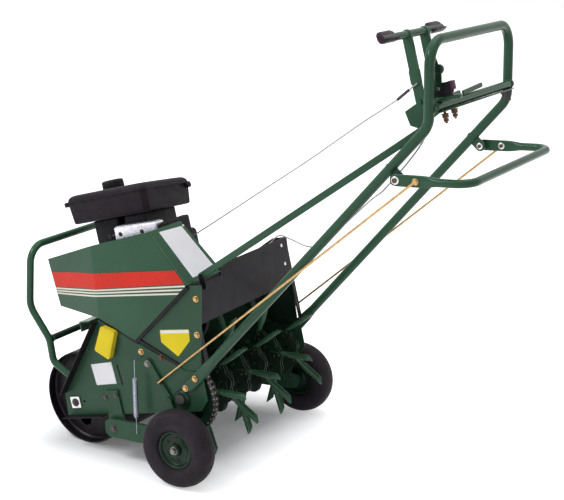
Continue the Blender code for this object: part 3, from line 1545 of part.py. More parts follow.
def make_cap(parent):
    """The screw cap, with finger flutes and a bore that sits over the throat."""
    flutes = 14

    def build(shape):
        rings = []
        for height, scale in ((0.0, 1.0), (CAP_HEIGHT - 0.004, 1.0), (CAP_HEIGHT, 0.88)):
            ring = []
            for step in range(flutes * 2):
                radius = CAP_RADIUS * scale * (1.0 if step % 2 else 0.93)
                ring.append(
                    shape.verts.new((*polar((0.0, 0.0), radius, step * math.tau / (flutes * 2)), height))
                )
            rings.append(ring)
        for low, high in zip(rings, rings[1:]):
            for i in range(flutes * 2):
                j = (i + 1) % (flutes * 2)
                shape.faces.new((low[i], low[j], high[j], high[i]))
        shape.faces.new(rings[0][::-1])
        shape.faces.new(rings[-1])

    cap = mesh_object("fuel_cap", build, BLACK_PLASTIC, parent)
    bore = upright_cylinder("cap_bore", (0.0, 0.0), -0.01, 0.0045, 0.0205, BLACK_PLASTIC, parent, helper=True)
    return combine(cap, [bore], "DIFFERENCE")


def make_blower():
    """The round blower housing with the recoil starter on the right of the engine."""
    edge = -ENGINE_X - 0.006 - FIT_GAP
    profile = [
        (0.0, 0.0),
        (BLOWER_RADIUS - 0.012, 0.0),
        (BLOWER_RADIUS, -0.010),
        (BLOWER_RADIUS - 0.004, -BLOWER_DEPTH * 0.70),
        (BLOWER_RADIUS * 0.82, -BLOWER_DEPTH),
        (BLOWER_RADIUS * 0.60, -BLOWER_DEPTH - 0.004),
        (BLOWER_RADIUS * 0.56, -BLOWER_DEPTH - 0.020),
        (BLOWER_RADIUS * 0.22, -BLOWER_DEPTH - 0.026),
        (0.0, -BLOWER_DEPTH - 0.026),
    ]
    place = BLOWER_CENTRE
    housing = turned_object("blower_housing", profile, edge, place, BLACK_PAINT, steps=28, closed=False)
    scoop = box_object("blower_scoop", (edge - BLOWER_DEPTH * 0.6, 0.062, BLOWER_CENTRE[1] + 0.004),
                       (edge - 0.001, 0.140, BLOWER_CENTRE[1] + 0.0952), BLACK_PAINT, helper=True)
    return combine(housing, [scoop], "UNION")


def make_grip(parent):
    """The recoil grip, resting on the rope exit at the top of the blower housing."""
    grip = box_object(
        "recoil_grip", (-0.007, -0.028, 0.004), (0.007, 0.028, 0.018), BLACK_PLASTIC, parent, 0.004
    )
    stem = upright_cylinder("grip_stem", (0.0, 0.0), 0.0, 0.008, 0.0050, BLACK_PLASTIC, parent, 12, True)
    return combine(grip, [stem], "UNION")


def make_muffler():
    """The muffler behind the cylinder, with a flange and a short outlet."""
    def build(shape):
        add_box(shape, (0.018, CRANKCASE_REAR + 0.012, 0.318), (0.088, CRANKCASE_REAR + 0.062, 0.402))

    muffler = mesh_object("muffler", build, BLACK_PAINT)
    rounding = muffler.modifiers.new("edges", "BEVEL")
    rounding.width = 0.016
    rounding.segments = 3
    pipe = box_object(
        "muffler_pipe",
        (0.034, CRANKCASE_REAR + FIT_GAP, 0.345),
        (0.066, CRANKCASE_REAR + 0.02, 0.375),
        BLACK_PAINT,
        helper=True,
    )
    outlet = upright_cylinder(
        "muffler_outlet", (0.053, CRANKCASE_REAR + 0.038), 0.39, 0.412, 0.010, BLACK_PAINT, segments=12,
        helper=True,
    )
    return combine(muffler, [pipe, outlet], "UNION")


def make_air_cover():
    """The bright sheet cover over the carburettor, left of the tank mount."""
    cover = box_object(
        "carburettor_cover",
        (0.0903, 0.168, CRANKCASE_TOP + FIT_GAP),
        (0.134, 0.322, 0.478),
        BRIGHT,
        bevel=0.006,
    )
    skirt = box_object("cover_skirt", (ENGINE_X + FIT_GAP, 0.176, CRANKCASE_TOP - 0.03),
                       (ENGINE_X + 0.004, 0.280, CRANKCASE_TOP + 0.01), BRIGHT, helper=True)
    return combine(cover, [skirt], "UNION")


# Handle and control pieces
def make_handle():
    """The U-shaped handle: flattened feet, flaring legs, upright grip loop and a lower cross tube."""
    def leg(sign):
        return [
            (HANDLE_FOOT_X * sign, *HANDLE_FOOT),
            (HANDLE_TOP_X * sign, *HANDLE_ELBOW),
            (HANDLE_TOP_X * sign, *HANDLE_TOP),
        ]

    start = Vector(leg(1)[0])
    elbow = Vector(leg(1)[1])
    begin = start + (elbow - start).normalized() * (HANDLE_FLAT_LENGTH * 0.91)
    corners = [tuple(begin), leg(1)[1], leg(1)[2], leg(-1)[2], leg(-1)[1], (-begin.x, begin.y, begin.z)]
    radii = [HANDLE_ELBOW_BEND, HANDLE_TOP_BEND, HANDLE_TOP_BEND, HANDLE_ELBOW_BEND]
    handle = tube_object("handle_frame", rounded_path(corners, radii, 4), HANDLE_RADIUS, PAINT, resolution=2)
    bar = cylinder_object(
        "handle_cross_tube", -HANDLE_TOP_X, HANDLE_TOP_X, HANDLE_BAR, HANDLE_BAR_RADIUS, PAINT, segments=14,
        helper=True,
    )
    added = [bar]
    heading = Vector((HANDLE_ELBOW[0] - HANDLE_FOOT[0], HANDLE_ELBOW[1] - HANDLE_FOOT[1])).normalized()
    for side, sign in SIDES:
        inner = (SIDE_PLATE_X + FIT_GAP) * sign
        outer = (SIDE_PLATE_X + FIT_GAP + HANDLE_FLAT) * sign
        end = (
            HANDLE_FOOT[0] + heading.x * HANDLE_FLAT_LENGTH, HANDLE_FOOT[1] + heading.y * HANDLE_FLAT_LENGTH
        )
        first = (HANDLE_FOOT[0] + heading.x * 0.006, HANDLE_FOOT[1] + heading.y * 0.006)
        flat = plate_object(
            f"handle_foot_{side}", rounded_bar(first, end, HANDLE_FLAT_WIDTH / 2, 5), inner, outer, PAINT
        )
        added.append(move_to_helpers(flat))
        along = (BAIL_PIVOT[0] - HANDLE_FOOT[0]) * heading.x + (BAIL_PIVOT[1] - HANDLE_FOOT[1]) * heading.y
        leg_point = (HANDLE_FOOT[0] + heading.x * along, HANDLE_FOOT[1] + heading.y * along)
        tab = plate_object(f"bail_tab_{side}", rounded_bar(leg_point, BAIL_PIVOT, BAIL_TAB_HALF, 5),
                           (HANDLE_TOP_X - 0.001) * sign, (HANDLE_TOP_X + 0.005) * sign, PAINT)
        added.append(move_to_helpers(tab))
        added.append(cylinder_object(f"bail_boss_{side}", (HANDLE_TOP_X + 0.003) * sign,
                                     (BAIL_X - BAIL_FLAT / 2 - FIT_GAP) * sign, BAIL_PIVOT, 0.010, PAINT,
                                     segments=16, helper=True))
    return combine(handle, added, "UNION")


def make_strut():
    """The single brace from the rear panel's corner up to the left leg, inside it."""
    start = Vector((STRUT_X, *STRUT_LOW))
    end = Vector((STRUT_X, *STRUT_HIGH))
    along = (end - start).normalized()
    across = Vector((0.0, -along.z, along.y))
    half = STRUT_HALF

    def build(shape):
        rings = []
        for place in (start, end):
            ring = [
                place + across * b + Vector((a, 0.0, 0.0))
                for a, b in (
                    (-half * 0.7, -half), (half * 0.7, -half), (half * 0.7, half), (-half * 0.7, half)
                )
            ]
            rings.append([shape.verts.new(corner) for corner in ring])
        for i in range(4):
            j = (i + 1) % 4
            shape.faces.new((rings[0][i], rings[0][j], rings[1][j], rings[1][i]))
        shape.faces.new(rings[0][::-1])
        shape.faces.new(rings[1])

    strut = mesh_object("handle_strut", build, PAINT)
    rounding = strut.modifiers.new("edges", "BEVEL")
    rounding.width = 0.003
    rounding.segments = 2
    foot = plate_object(
        "strut_foot",
        rounded_bar(STRUT_LOW_INSIDE, STRUT_BOLT_LOW, 0.0085, 4),
        STRUT_X - 0.004,
        STRUT_X + 0.004,
        PAINT,
    )
    low_bolt = cylinder_object(
        "strut_low_bolt", STRUT_X, UPPER_PLATE_X - PLATE - FIT_GAP, STRUT_BOLT_LOW, 0.0050, BARE_STEEL,
        segments=8, helper=True,
    )
    leg_face = HANDLE_TOP_X + 0.001 - HANDLE_RADIUS - FIT_GAP
    high_bolt = cylinder_object("strut_high_bolt", STRUT_X, leg_face, STRUT_BOLT_HIGH, 0.0050, BARE_STEEL,
                                segments=12, helper=True)
    return combine(strut, [move_to_helpers(foot), low_bolt, high_bolt], "UNION")


def make_bracket():
    """The angle under the cross tube, with the upright plate and pin that carry the clutch lever."""
    angle = box_object("lever_bracket", (-ANGLE_HALF, ANGLE_FRONT, ANGLE_TOP - PLATE),
                       (ANGLE_HALF, ANGLE_REAR, ANGLE_TOP), PAINT)
    lip = box_object("angle_lip", (-ANGLE_HALF, ANGLE_FRONT, ANGLE_TOP - ANGLE_LIP),
                     (ANGLE_HALF, ANGLE_FRONT + PLATE, ANGLE_TOP - 0.001), PAINT, helper=True)
    pivot = CLUTCH_PIVOT
    outline = [
        (1.180, 0.668),
        (1.222, 0.704),
        (pivot[0] + 0.006, pivot[1] + 0.014),
        (pivot[0] + 0.014, pivot[1] + 0.004),
        (ANGLE_FRONT + 0.006, ANGLE_TOP - 0.0005),
        (ANGLE_FRONT + 0.006, ANGLE_TOP - ANGLE_LIP),
        (1.212, 0.622),
        (1.197, 0.628),
    ]
    half = PLATE / 2
    plate = move_to_helpers(plate_object("bracket_plate", outline, BRACKET_X - half, BRACKET_X + half, PAINT))
    pin = cylinder_object(
        "clutch_pin", CLUTCH_ARMS[0] - CLUTCH_ARM_THICK, CLUTCH_ARMS[1] + CLUTCH_ARM_THICK, pivot,
        CLUTCH_PIN_RADIUS, BARE_STEEL, segments=14, helper=True,
    )
    return combine(angle, [lip, plate, pin], "UNION")


def make_clutch_lever(parent):
    """The clutch lever: the cross bar, two straight arms and the bosses that run on its pin."""
    bar = (CLUTCH_BAR[0] - CLUTCH_PIVOT[0], CLUTCH_BAR[1] - CLUTCH_PIVOT[1])
    lever = cylinder_object("clutch_lever", CLUTCH_BAR_LOW_X + 0.004, CLUTCH_BAR_HIGH_X - 0.004, bar,
                            CLUTCH_BAR_RADIUS, PAINT, parent, 14)
    added = []
    for number, x in enumerate(CLUTCH_ARMS):
        half = CLUTCH_ARM_THICK / 2
        arm = plate_object(f"clutch_arm_{number}", rounded_bar((0.0, 0.0), bar, CLUTCH_ARM_HALF, 3), x - half,
                           x + half, PAINT, parent)
        added.append(move_to_helpers(arm))
        face = BRACKET_X + math.copysign(PLATE / 2 + FIT_GAP, x - BRACKET_X)
        added.append(
            cylinder_object(
                f"clutch_boss_{number}", face, x, (0.0, 0.0), CLUTCH_BOSS_RADIUS, PAINT, parent, 10, True
            )
        )
    low, high = CLUTCH_CLAMP
    lean = bar[0] / bar[1]
    middle = ((low + high) / 2 - CLUTCH_PIVOT[1]) * lean
    clamp = box_object(
        "clutch_clamp",
        (CLUTCH_ARMS[1] - 0.0042, middle - 0.0135, low - CLUTCH_PIVOT[1]),
        (CLUTCH_ARMS[1] + 0.007, middle + 0.0135, high - CLUTCH_PIVOT[1]),
        PAINT,
        parent,
        helper=True,
    )
    added.append(clamp)
    bore = cylinder_object("clutch_bore", CLUTCH_ARMS[0] - 0.02, CLUTCH_ARMS[1] + 0.02, (0.0, 0.0),
                           CLUTCH_PIN_RADIUS + FIT_GAP, PAINT, parent, 14, True)
    combine(lever, added, "UNION")
    return combine(lever, [bore], "DIFFERENCE")


def make_clutch_grip(number, parent):
    """A black sleeve grip at one end of the clutch lever's cross bar."""
    bar = (CLUTCH_BAR[0] - CLUTCH_PIVOT[0], CLUTCH_BAR[1] - CLUTCH_PIVOT[1])
    bore = CLUTCH_BAR_RADIUS + FIT_GAP
    half = GRIP_LENGTH / 2
    middle = (CLUTCH_BAR_LOW_X + half, CLUTCH_BAR_HIGH_X - half)[number]
    profile = [
        (bore, half), (GRIP_RADIUS - 0.002, half), (GRIP_RADIUS, half - 0.003),
        (GRIP_RADIUS, -half + 0.003), (GRIP_RADIUS - 0.002, -half), (bore, -half),
    ]
    return turned_object(f"clutch_grip_{number + 1}", profile, middle, bar, RUBBER_BLACK, parent, steps=16)


def make_throttle():
    """The throttle's case on its foot, standing on the cross tube."""
    half = 0.011
    case = box_object("throttle_case", (THROTTLE_X - half, 1.284, 0.697), (THROTTLE_X + half, 1.333, 0.724),
                      BLACK_PLASTIC, bevel=0.004)
    foot = box_object(
        "throttle_foot",
        (THROTTLE_X - half, 1.279, HANDLE_BAR[1] + HANDLE_BAR_RADIUS + FIT_GAP),
        (THROTTLE_X + half, 1.352, 0.698),
        BLACK_PLASTIC,
        helper=True,
    )
    tab = box_object("throttle_tab", (THROTTLE_X - 0.004, 1.330, 0.706), (THROTTLE_X + 0.004, 1.340, 0.722),
                     BLACK_PLASTIC, helper=True)
    pin = cylinder_object("throttle_pin", THROTTLE_X, THROTTLE_X + half + 0.008, THROTTLE_PIVOT, 0.0040,
                          BARE_STEEL, segments=12, helper=True)
    return combine(case, [foot, tab, pin], "UNION")


def make_throttle_lever(parent):
    """The throttle lever beside its case, with a flat knob."""
    knob = (THROTTLE_KNOB[0] - THROTTLE_PIVOT[0], THROTTLE_KNOB[1] - THROTTLE_PIVOT[1])
    inner = THROTTLE_X + 0.0113
    lever = plate_object("throttle_lever", rounded_bar((0.0, 0.0), knob, 0.0075, 5), inner, inner + 0.004,
                         DARK_PAINT, parent, [(0.0, 0.0, 0.0043)], 12)
    pad = cylinder_object(
        "throttle_knob", inner - 0.007, inner + 0.005, knob, 0.011, DARK_PAINT, parent, 16, True
    )
    return combine(lever, [pad], "UNION")


def make_cables():
    """The clutch wire and the throttle cable, fixed along the handle."""
    lever_front = CLUTCH_PIVOT[0] - CLUTCH_ARM_HALF - 0.0018
    wire = [
        (0.2190, lever_front, 0.7150), (0.2150, 1.2100, 0.6995), (0.2090, 1.1506, 0.6763),
        (0.203, 0.860, 0.566), (0.190, 0.620, 0.476), (0.165, 0.470, 0.4235), (0.160, 0.4420, 0.4170),
    ]
    tube_object("clutch_wire", smooth_route(wire, 2), CABLE_RADIUS * 0.7, BLACK_PLASTIC, resolution=1)
    cable = [
        (THROTTLE_X, 1.2768, 0.6960), (0.195, 1.2350, 0.6000), (0.175, 1.1000, 0.4950),
        (0.090, 0.9900, 0.4500), (0.000, 0.7900, 0.3500), (-0.080, 0.6800, 0.3220),
        (-0.170, 0.5600, 0.3370), (-0.205, 0.5000, 0.3450), (-0.200, 0.4550, 0.3200),
        (-0.150, 0.3800, 0.2900), (-0.090, 0.3000, 0.3000),
    ]
    tube_object("throttle_cable", smooth_route(cable, 2), CABLE_RADIUS * 0.7, BLACK_PLASTIC, resolution=1)


def smooth_route(points, steps):
    """A Catmull-Rom curve through the points."""
    places = [Vector(point) for point in points]
    ends = [places[0] * 2 - places[1]] + places + [places[-1] * 2 - places[-2]]
    route = []
    for a, b, c, d in zip(ends, ends[1:], ends[2:], ends[3:]):
        for step in range(steps):
            t = step / steps
            route.append((b * 2 + (c - a) * t + (a * 2 - b * 5 + c * 4 - d) * t * t
                          + (b * 3 - a - c * 3 + d) * t * t * t) / 2)
    route.append(places[-1])
    return route


# Assembly, with an empty on each joint's axis
roller_axis = add_empty("roller_axis", (0.0, 0.0, 0.0), chassis)
tine_axis = add_empty("tine_axis", (0.0, *TINE_SHAFT), chassis)
jack_axis = add_empty("jackshaft_axis", (0.0, *JACKSHAFT), chassis)
crank_axis = add_empty("crank_axis", (0.0, *CRANK), chassis)
idler_pivot = add_empty("idler_arm_axis", (0.0, *IDLER_PIVOT), chassis)
idler_axis = add_empty("idler_pulley_axis", (0.0, *polar((0.0, 0.0), IDLER_ARM, IDLER_ANGLE)), idler_pivot)
bail_axis = add_empty("lift_bail_axis", (0.0, *BAIL_PIVOT), chassis)
clutch_axis = add_empty("clutch_lever_axis", (0.0, *CLUTCH_PIVOT), chassis)
throttle_axis = add_empty("throttle_lever_axis", (0.0, *THROTTLE_PIVOT), chassis)
cap_axis = add_empty("fuel_cap_axis", (*CAP_CENTRE, TANK_NECK_TOP + FIT_GAP), chassis)
grip_path = add_empty("recoil_grip_path", (-0.137, 0.135, 0.4455), chassis)

make_deck()
make_rear_panel()
make_shroud()
make_yellow_box()
make_guard()
make_roller(roller_axis)
make_roller_axle()
make_handle()
make_strut()
make_bracket()
make_throttle()
make_throttle_lever(throttle_axis)
make_cables()

make_engine_block()
make_tank()
make_cap(cap_axis)
make_blower()
make_grip(grip_path)
make_muffler()
make_air_cover()

make_tine_shaft(tine_axis)
for wheel_index in range(TINE_WHEEL_COUNT):
    make_tine_wheel(wheel_index, tine_axis)
make_tine_sprocket(tine_axis)
make_jackshaft(jack_axis)
turned_object(
    "driven_pulley",
    pulley_profile(DRIVEN_PULLEY_RADIUS, JACKSHAFT_RADIUS + FIT_GAP, PULLEY_HALF, 0.013),
    DRIVE_X,
    (0.0, 0.0),
    BLACK_PAINT,
    jack_axis,
    steps=24,
)
crank_pulley = turned_object(
    "crank_pulley", pulley_profile(CRANK_PULLEY_RADIUS, CRANK_SHAFT_RADIUS - 0.004, PULLEY_HALF, PULLEY_HALF),
    DRIVE_X, (0.0, 0.0), BARE_STEEL, crank_axis, steps=16,
)
crankshaft = cylinder_object(
    "crankshaft", ENGINE_X - 0.0185, DRIVE_X + PULLEY_HALF, (0.0, 0.0), CRANK_SHAFT_RADIUS, BARE_STEEL,
    crank_axis, 16, True,
)
combine(crank_pulley, [crankshaft], "UNION")
make_belt()
make_chain()
make_idler(idler_pivot, idler_axis)

bail = make_bail(bail_axis)
make_clutch_lever(clutch_axis)
for grip_number in range(2):
    make_clutch_grip(grip_number, clutch_axis)

for side_name, side_sign in SIDES:
    make_side_plate(side_name, side_sign)
    make_upper_plate(side_name, side_sign)
    make_hanger(side_name, side_sign)
    make_spring(side_name, side_sign)
    arm_axis = add_empty(f"wheel_arm_axis_{side_name}", (0.0, *ARM_PIVOT), chassis)
    wheel_axis = add_empty(
        f"wheel_axis_{side_name}", (0.0, *polar((0.0, 0.0), ARM_LENGTH, ARM_ANGLE)), arm_axis
    )
    lever_axis = add_empty(f"toggle_lever_axis_{side_name}", (0.0, *LEVER_PIVOT), chassis)
    link_place = (LEVER_END[0] - LEVER_PIVOT[0], LEVER_END[1] - LEVER_PIVOT[1])
    link_axis = add_empty(f"toggle_link_axis_{side_name}", (0.0, *link_place), lever_axis)
    rod_axis = add_empty(
        f"lift_rod_axis_{side_name}", (0.0, *polar((0.0, 0.0), BAIL_PIN_ARM, BAIL_ANGLE)), bail_axis
    )
    make_wheel_arm(side_name, side_sign, arm_axis)
    make_wheel(side_name, side_sign, wheel_axis)
    make_lever(side_name, side_sign, lever_axis)
    make_link(side_name, side_sign, link_axis)
    make_rod(side_name, side_sign, rod_axis)
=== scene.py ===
"""Looks for the walk-behind powered core aerator.

Most pieces are built in the level frame of part.py, whose origin is the roller axle and whose
axes are X (the machine's left), u (along the machine) and w (upright), and LEVEL tips them up
as the lowered wheels do.
"""

import math

import bmesh
import bpy
from mathutils import Matrix, Vector


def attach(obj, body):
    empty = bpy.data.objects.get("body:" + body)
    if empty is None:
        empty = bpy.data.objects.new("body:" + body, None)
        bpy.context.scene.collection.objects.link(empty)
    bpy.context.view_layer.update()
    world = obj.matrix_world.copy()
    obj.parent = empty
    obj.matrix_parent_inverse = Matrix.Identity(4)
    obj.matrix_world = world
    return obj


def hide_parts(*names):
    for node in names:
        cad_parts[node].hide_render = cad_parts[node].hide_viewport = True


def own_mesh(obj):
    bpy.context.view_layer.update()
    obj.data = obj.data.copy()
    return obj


# Places and sizes that repeat part.py
PITCH = math.radians(13.5)
ROLLER_Y = -0.5144
ROLLER_RADIUS = 0.14
ROLLER_HALF = 0.226
LEVEL = Matrix.Translation((0.0, ROLLER_Y, ROLLER_RADIUS)) @ Matrix.Rotation(PITCH, 4, "X")
SIDES = (("left", 1), ("right", -1))
SEAT = 0.0001
ACROSS = (1.0, 0.0, 0.0)
ALONG = (0.0, 1.0, 0.0)
UPWARD = (0.0, 0.0, 1.0)
RIGHTWARD = (-1.0, 0.0, 0.0)
DOWNWARD = (0.0, 0.0, -1.0)
CENTRE = (0.0, 0.0)

# Camera, fitted to the photograph
CAMERA_PLACE = (3.1205, 1.9216, 1.6076)
CAMERA_RIGHT = Vector((-0.519, 0.8548, 0.0)).normalized()
CAMERA_BACK = Vector((0.8249, 0.5008, 0.2624)).normalized()
CAMERA_LENS = 86.53

AMBIENT = 0.32
# The floor glows white for seen rays outside a soft box under the machine and only FLOOR_GLOW inside it, so
# the darkness there is the lit shadow plus a painted shadow
FLOOR_GLOW = 0.1
PAINTED_SHADOW_CENTRE = (0.0, -0.36, 0.0)
PAINTED_SHADOW_HALF = (0.24, 0.22, 0.0)

# Colours
GREEN = (0.032, 0.098, 0.052)
DARK_GREEN = (0.01, 0.036, 0.02)
BLACK = (0.008, 0.0055, 0.0085)
RUBBER = (0.021, 0.016, 0.021)
RED = (0.72, 0.035, 0.02)
CREAM = (0.88, 0.84, 0.72)
GOLD = (0.5, 0.32, 0.14)
ZINC = (0.62, 0.62, 0.62)
STEEL = (0.3, 0.29, 0.29)
YELLOW = (0.88, 0.69, 0.03)
WHITE = (0.93, 0.93, 0.97)


# Materials
class Surface:
    """A Principled material with its noise nodes, all in object coordinates."""

    def __init__(self, name, roughness, metallic=0.0):
        self.material = bpy.data.materials.new(name)
        self.material.use_nodes = True
        self.tree = self.material.node_tree
        self.shader = self.tree.nodes["Principled BSDF"]
        self.shader.inputs["Roughness"].default_value = roughness
        self.shader.inputs["Metallic"].default_value = metallic
        self.shader.inputs["Specular IOR Level"].default_value = 0.5 if metallic else 0.16
        self.coordinates = self.node("ShaderNodeTexCoord").outputs["Object"]

    def node(self, kind, **settings):
        made = self.tree.nodes.new(kind)
        for key, value in settings.items():
            setattr(made, key, value)
        return made

    def link(self, start, end):
        self.tree.links.new(start, end)

    def noise(self, scale, detail=3.0, stretch=(1.0, 1.0, 1.0)):
        """Noise in features a metre, squeezed along any axis by stretch."""
        mapping = self.node("ShaderNodeMapping")
        mapping.inputs["Scale"].default_value = stretch
        self.link(self.coordinates, mapping.inputs["Vector"])
        texture = self.node("ShaderNodeTexNoise")
        texture.inputs["Scale"].default_value = scale
        texture.inputs["Detail"].default_value = detail
        self.link(mapping.outputs["Vector"], texture.inputs["Vector"])
        return texture.outputs["Fac"]

    def spread(self, value, low, high, start=0.3, end=0.7):
        scaled = self.node("ShaderNodeMapRange")
        for key, number in (("From Min", start), ("From Max", end), ("To Min", low), ("To Max", high)):
            scaled.inputs[key].default_value = number
        self.link(value, scaled.inputs["Value"])
        return scaled.outputs["Result"]

    def mix(self, share, first, second):
        """Two colours mixed by a share; each is a colour or a socket."""
        mixed = self.node("ShaderNodeMix", data_type="RGBA")
        self.link(share, mixed.inputs["Factor"])
        for place, colour in (("A", first), ("B", second)):
            socket = [s for s in mixed.inputs if s.name == place and s.type == "RGBA"][0]
            if isinstance(colour, tuple):
                socket.default_value = (*colour, 1.0)
            else:
                self.link(colour, socket)
        return [s for s in mixed.outputs if s.type == "RGBA"][0]

    def colour(self, value):
        self.link(value, self.shader.inputs["Base Color"])

    def rough(self, value):
        self.link(value, self.shader.inputs["Roughness"])

    def bump(self, height, distance, strength=1.0):
        bump = self.node("ShaderNodeBump")
        bump.inputs["Distance"].default_value = distance
        bump.inputs["Strength"].default_value = strength
        self.link(height, bump.inputs["Height"])
        self.link(bump.outputs["Normal"], self.shader.inputs["Normal"])


def shade(colour, factor):
    return tuple(min(1.0, channel * factor) for channel in colour)


def painted(name, colour, roughness, wear=0.0, dust=0.0, peel=0.00004, drift=0.14):
    """Sprayed paint: slow drift in tone, a trace of orange peel, and where worked, scuffs and soil."""
    paint = Surface(name, roughness)
    paint.shader.inputs["Coat Weight"].default_value = 0.05
    paint.shader.inputs["Coat Roughness"].default_value = 0.08
    tone = paint.mix(
        paint.spread(paint.noise(5.0, 3.0), 0.0, 1.0), shade(colour, 1.0 - drift), shade(colour, 1.0 + drift)
    )
    if dust:
        tone = paint.mix(
            paint.spread(paint.noise(26.0, 8.0), 0.0, dust, 0.48, 0.74), tone, (0.16, 0.14, 0.11)
        )
    if wear:
        scuffs = paint.spread(paint.noise(95.0, 9.0, (1.0, 1.0, 0.35)), 0.0, wear, 0.64, 0.72)
        tone = paint.mix(scuffs, tone, (0.2, 0.21, 0.19))
    paint.colour(tone)
    paint.rough(paint.spread(paint.noise(30.0, 4.0), roughness - 0.05, roughness + 0.09))
    paint.bump(paint.noise(520.0, 2.0), peel)
    return paint.material


def moulded(name, colour, roughness, grain=0.00008, scale=1400.0, tone_spread=0.25):
    """Moulded plastic or rubber with a fine leathery grain."""
    plastic = Surface(name, roughness)
    plastic.colour(plastic.mix(plastic.spread(plastic.noise(16.0, 5.0), 0.0, 1.0),
                               shade(colour, 1 - tone_spread), shade(colour, 1 + tone_spread)))
    plastic.rough(plastic.spread(plastic.noise(60.0, 4.0), roughness - 0.08, roughness + 0.1))
    plastic.bump(plastic.noise(scale, 2.0), grain)
    return plastic.material


def metal(name, colour, roughness, stretch=(1.0, 1.0, 1.0), stain=(0.1, 0.08, 0.06), stains=0.25):
    """Bare or plated metal with drawn marks along the stretched axis and a few stains."""
    bare = Surface(name, roughness, 1.0)
    tone = bare.mix(bare.spread(bare.noise(60.0, 4.0), 0.0, 1.0), shade(colour, 0.8), shade(colour, 1.12))
    bare.colour(bare.mix(bare.spread(bare.noise(130.0, 8.0), 0.0, stains, 0.55, 0.72), tone, stain))
    bare.rough(bare.spread(bare.noise(180.0, 4.0, stretch), roughness - 0.08, roughness + 0.14))
    bare.bump(bare.noise(900.0, 2.0, stretch), 0.00005)
    return bare.material


def sooty(name, colour, roughness):
    """Heat-dulled black metal with grey bloom."""
    soot = Surface(name, roughness)
    soot.colour(
        soot.mix(soot.spread(soot.noise(45.0, 8.0), 0.0, 0.5, 0.45, 0.75), colour, (0.03, 0.025, 0.03))
    )
    soot.rough(soot.spread(soot.noise(90.0, 5.0), roughness - 0.1, roughness + 0.12))
    soot.bump(soot.noise(650.0, 4.0), 0.00018)
    return soot.material


green_paint = painted("green_paint", GREEN, 0.19, peel=0.00001)
plate_paint = painted("green_plate_paint", shade(GREEN, 0.8), 0.34, dust=0.06)
# Green darkened to about a quarter, with scuffs and dust: the wear and soil are real, the darkness is partly
# painted shade, on the tine discs and the right upper plate
soil_and_shade_paint = painted("green_paint_worked_shaded", shade(GREEN, 0.26), 0.4, wear=0.16, dust=0.12)
rim_paint = painted("rim_green_paint", shade(GREEN, 0.3), 0.34)
spoon_paint = painted("green_paint_spoons", shade(GREEN, 1.15), 0.26, wear=0.4, dust=0.2)
# A light green for the lid's fold: a painted highlight along the fold
fold_highlight_paint = painted("green_paint_fold_highlight", (0.15, 0.29, 0.11), 0.3)
dark_paint = painted("dark_green_paint", DARK_GREEN, 0.36, wear=0.1)
black_paint = painted("black_paint", BLACK, 0.42, dust=0.03)
roller_paint = painted("black_paint_worked", BLACK, 0.46, wear=0.08, dust=0.06)
engine_black = sooty("engine_black", BLACK, 0.48)
muffler_black = sooty("muffler_black", (0.012, 0.009, 0.01), 0.62)
black_plastic = moulded("black_plastic", BLACK, 0.5)
tank_plastic = moulded("tank_plastic", (0.013, 0.0085, 0.013), 0.5, 0.0001, 900.0)
tyre_rubber = moulded("tyre_rubber", RUBBER, 0.66, 0.00014, 1100.0, 0.35)
mauve_plastic = moulded("mauve_plastic", (0.15, 0.07, 0.11), 0.45)
grip_rubber = moulded("grip_rubber", (0.034, 0.016, 0.03), 0.42)
belt_rubber = moulded("belt_rubber", (0.018, 0.016, 0.017), 0.72)
yellow_plastic = moulded("yellow_plastic", YELLOW, 0.42, 0.00008, 900.0, 0.06)
plated_gold = metal("yellow_zinc", GOLD, 0.34, stain=(0.16, 0.09, 0.04), stains=0.5)
brown_steel = metal("brown_steel", (0.11, 0.065, 0.038), 0.38, stain=(0.06, 0.04, 0.03), stains=0.5)
plated_zinc = metal("zinc_steel", ZINC, 0.32)
bare_steel = metal("bare_steel", STEEL, 0.38, (1.0, 0.15, 0.15))
sleeve_plastic = moulded("sleeve_plastic", (0.09, 0.06, 0.085), 0.45)
cable_sheath = moulded("cable_sheath", (0.46, 0.43, 0.46), 0.45)
worn_zinc = metal("worn_zinc", (0.21, 0.2, 0.19), 0.38, stain=(0.06, 0.05, 0.04), stains=0.5)
dark_steel = metal("dark_steel", (0.06, 0.055, 0.055), 0.5)
oily_steel = metal("chain_steel", (0.085, 0.075, 0.075), 0.46, stain=(0.05, 0.035, 0.025), stains=0.6)
wire_steel = metal("wire_steel", (0.34, 0.32, 0.34), 0.45)
spring_steel = metal("spring_steel", (0.42, 0.43, 0.52), 0.34)
bright_sheet = metal("bright_sheet", (0.8, 0.79, 0.87), 0.3, (0.1, 1.0, 1.0), (0.4, 0.37, 0.44), 0.18)
red_band = moulded("red_band", RED, 0.3, 0.00003, 500.0, 0.06)
cream_line = moulded("cream_line", CREAM, 0.34, 0.00003, 500.0, 0.04)
white_plate = moulded("white_plate", WHITE, 0.36, 0.00003, 500.0, 0.04)
yellow_field = moulded("yellow_field", (0.88, 0.7, 0.02), 0.36, 0.00003, 500.0, 0.05)


# Shapes
def polar(centre, radius, angle):
    return (centre[0] + radius * math.cos(angle), centre[1] + radius * math.sin(angle))


def around(centre, radius, count, turn=0.0):
    """Places spaced evenly around a circle."""
    return [polar(centre, radius, step * math.tau / count + turn) for step in range(count)]


def outward(x, place, sign):
    """A place (u, w) at x on one side of the machine, and the axis that points out of that side."""
    return (x * sign, *place), (sign, 0.0, 0.0)


def inward(x, place, sign):
    """The same place with the axis that points to the middle of the machine."""
    return (x * sign, *place), (-sign, 0.0, 0.0)


def between(start, end, share):
    return tuple(a + (b - a) * share for a, b in zip(start, end))


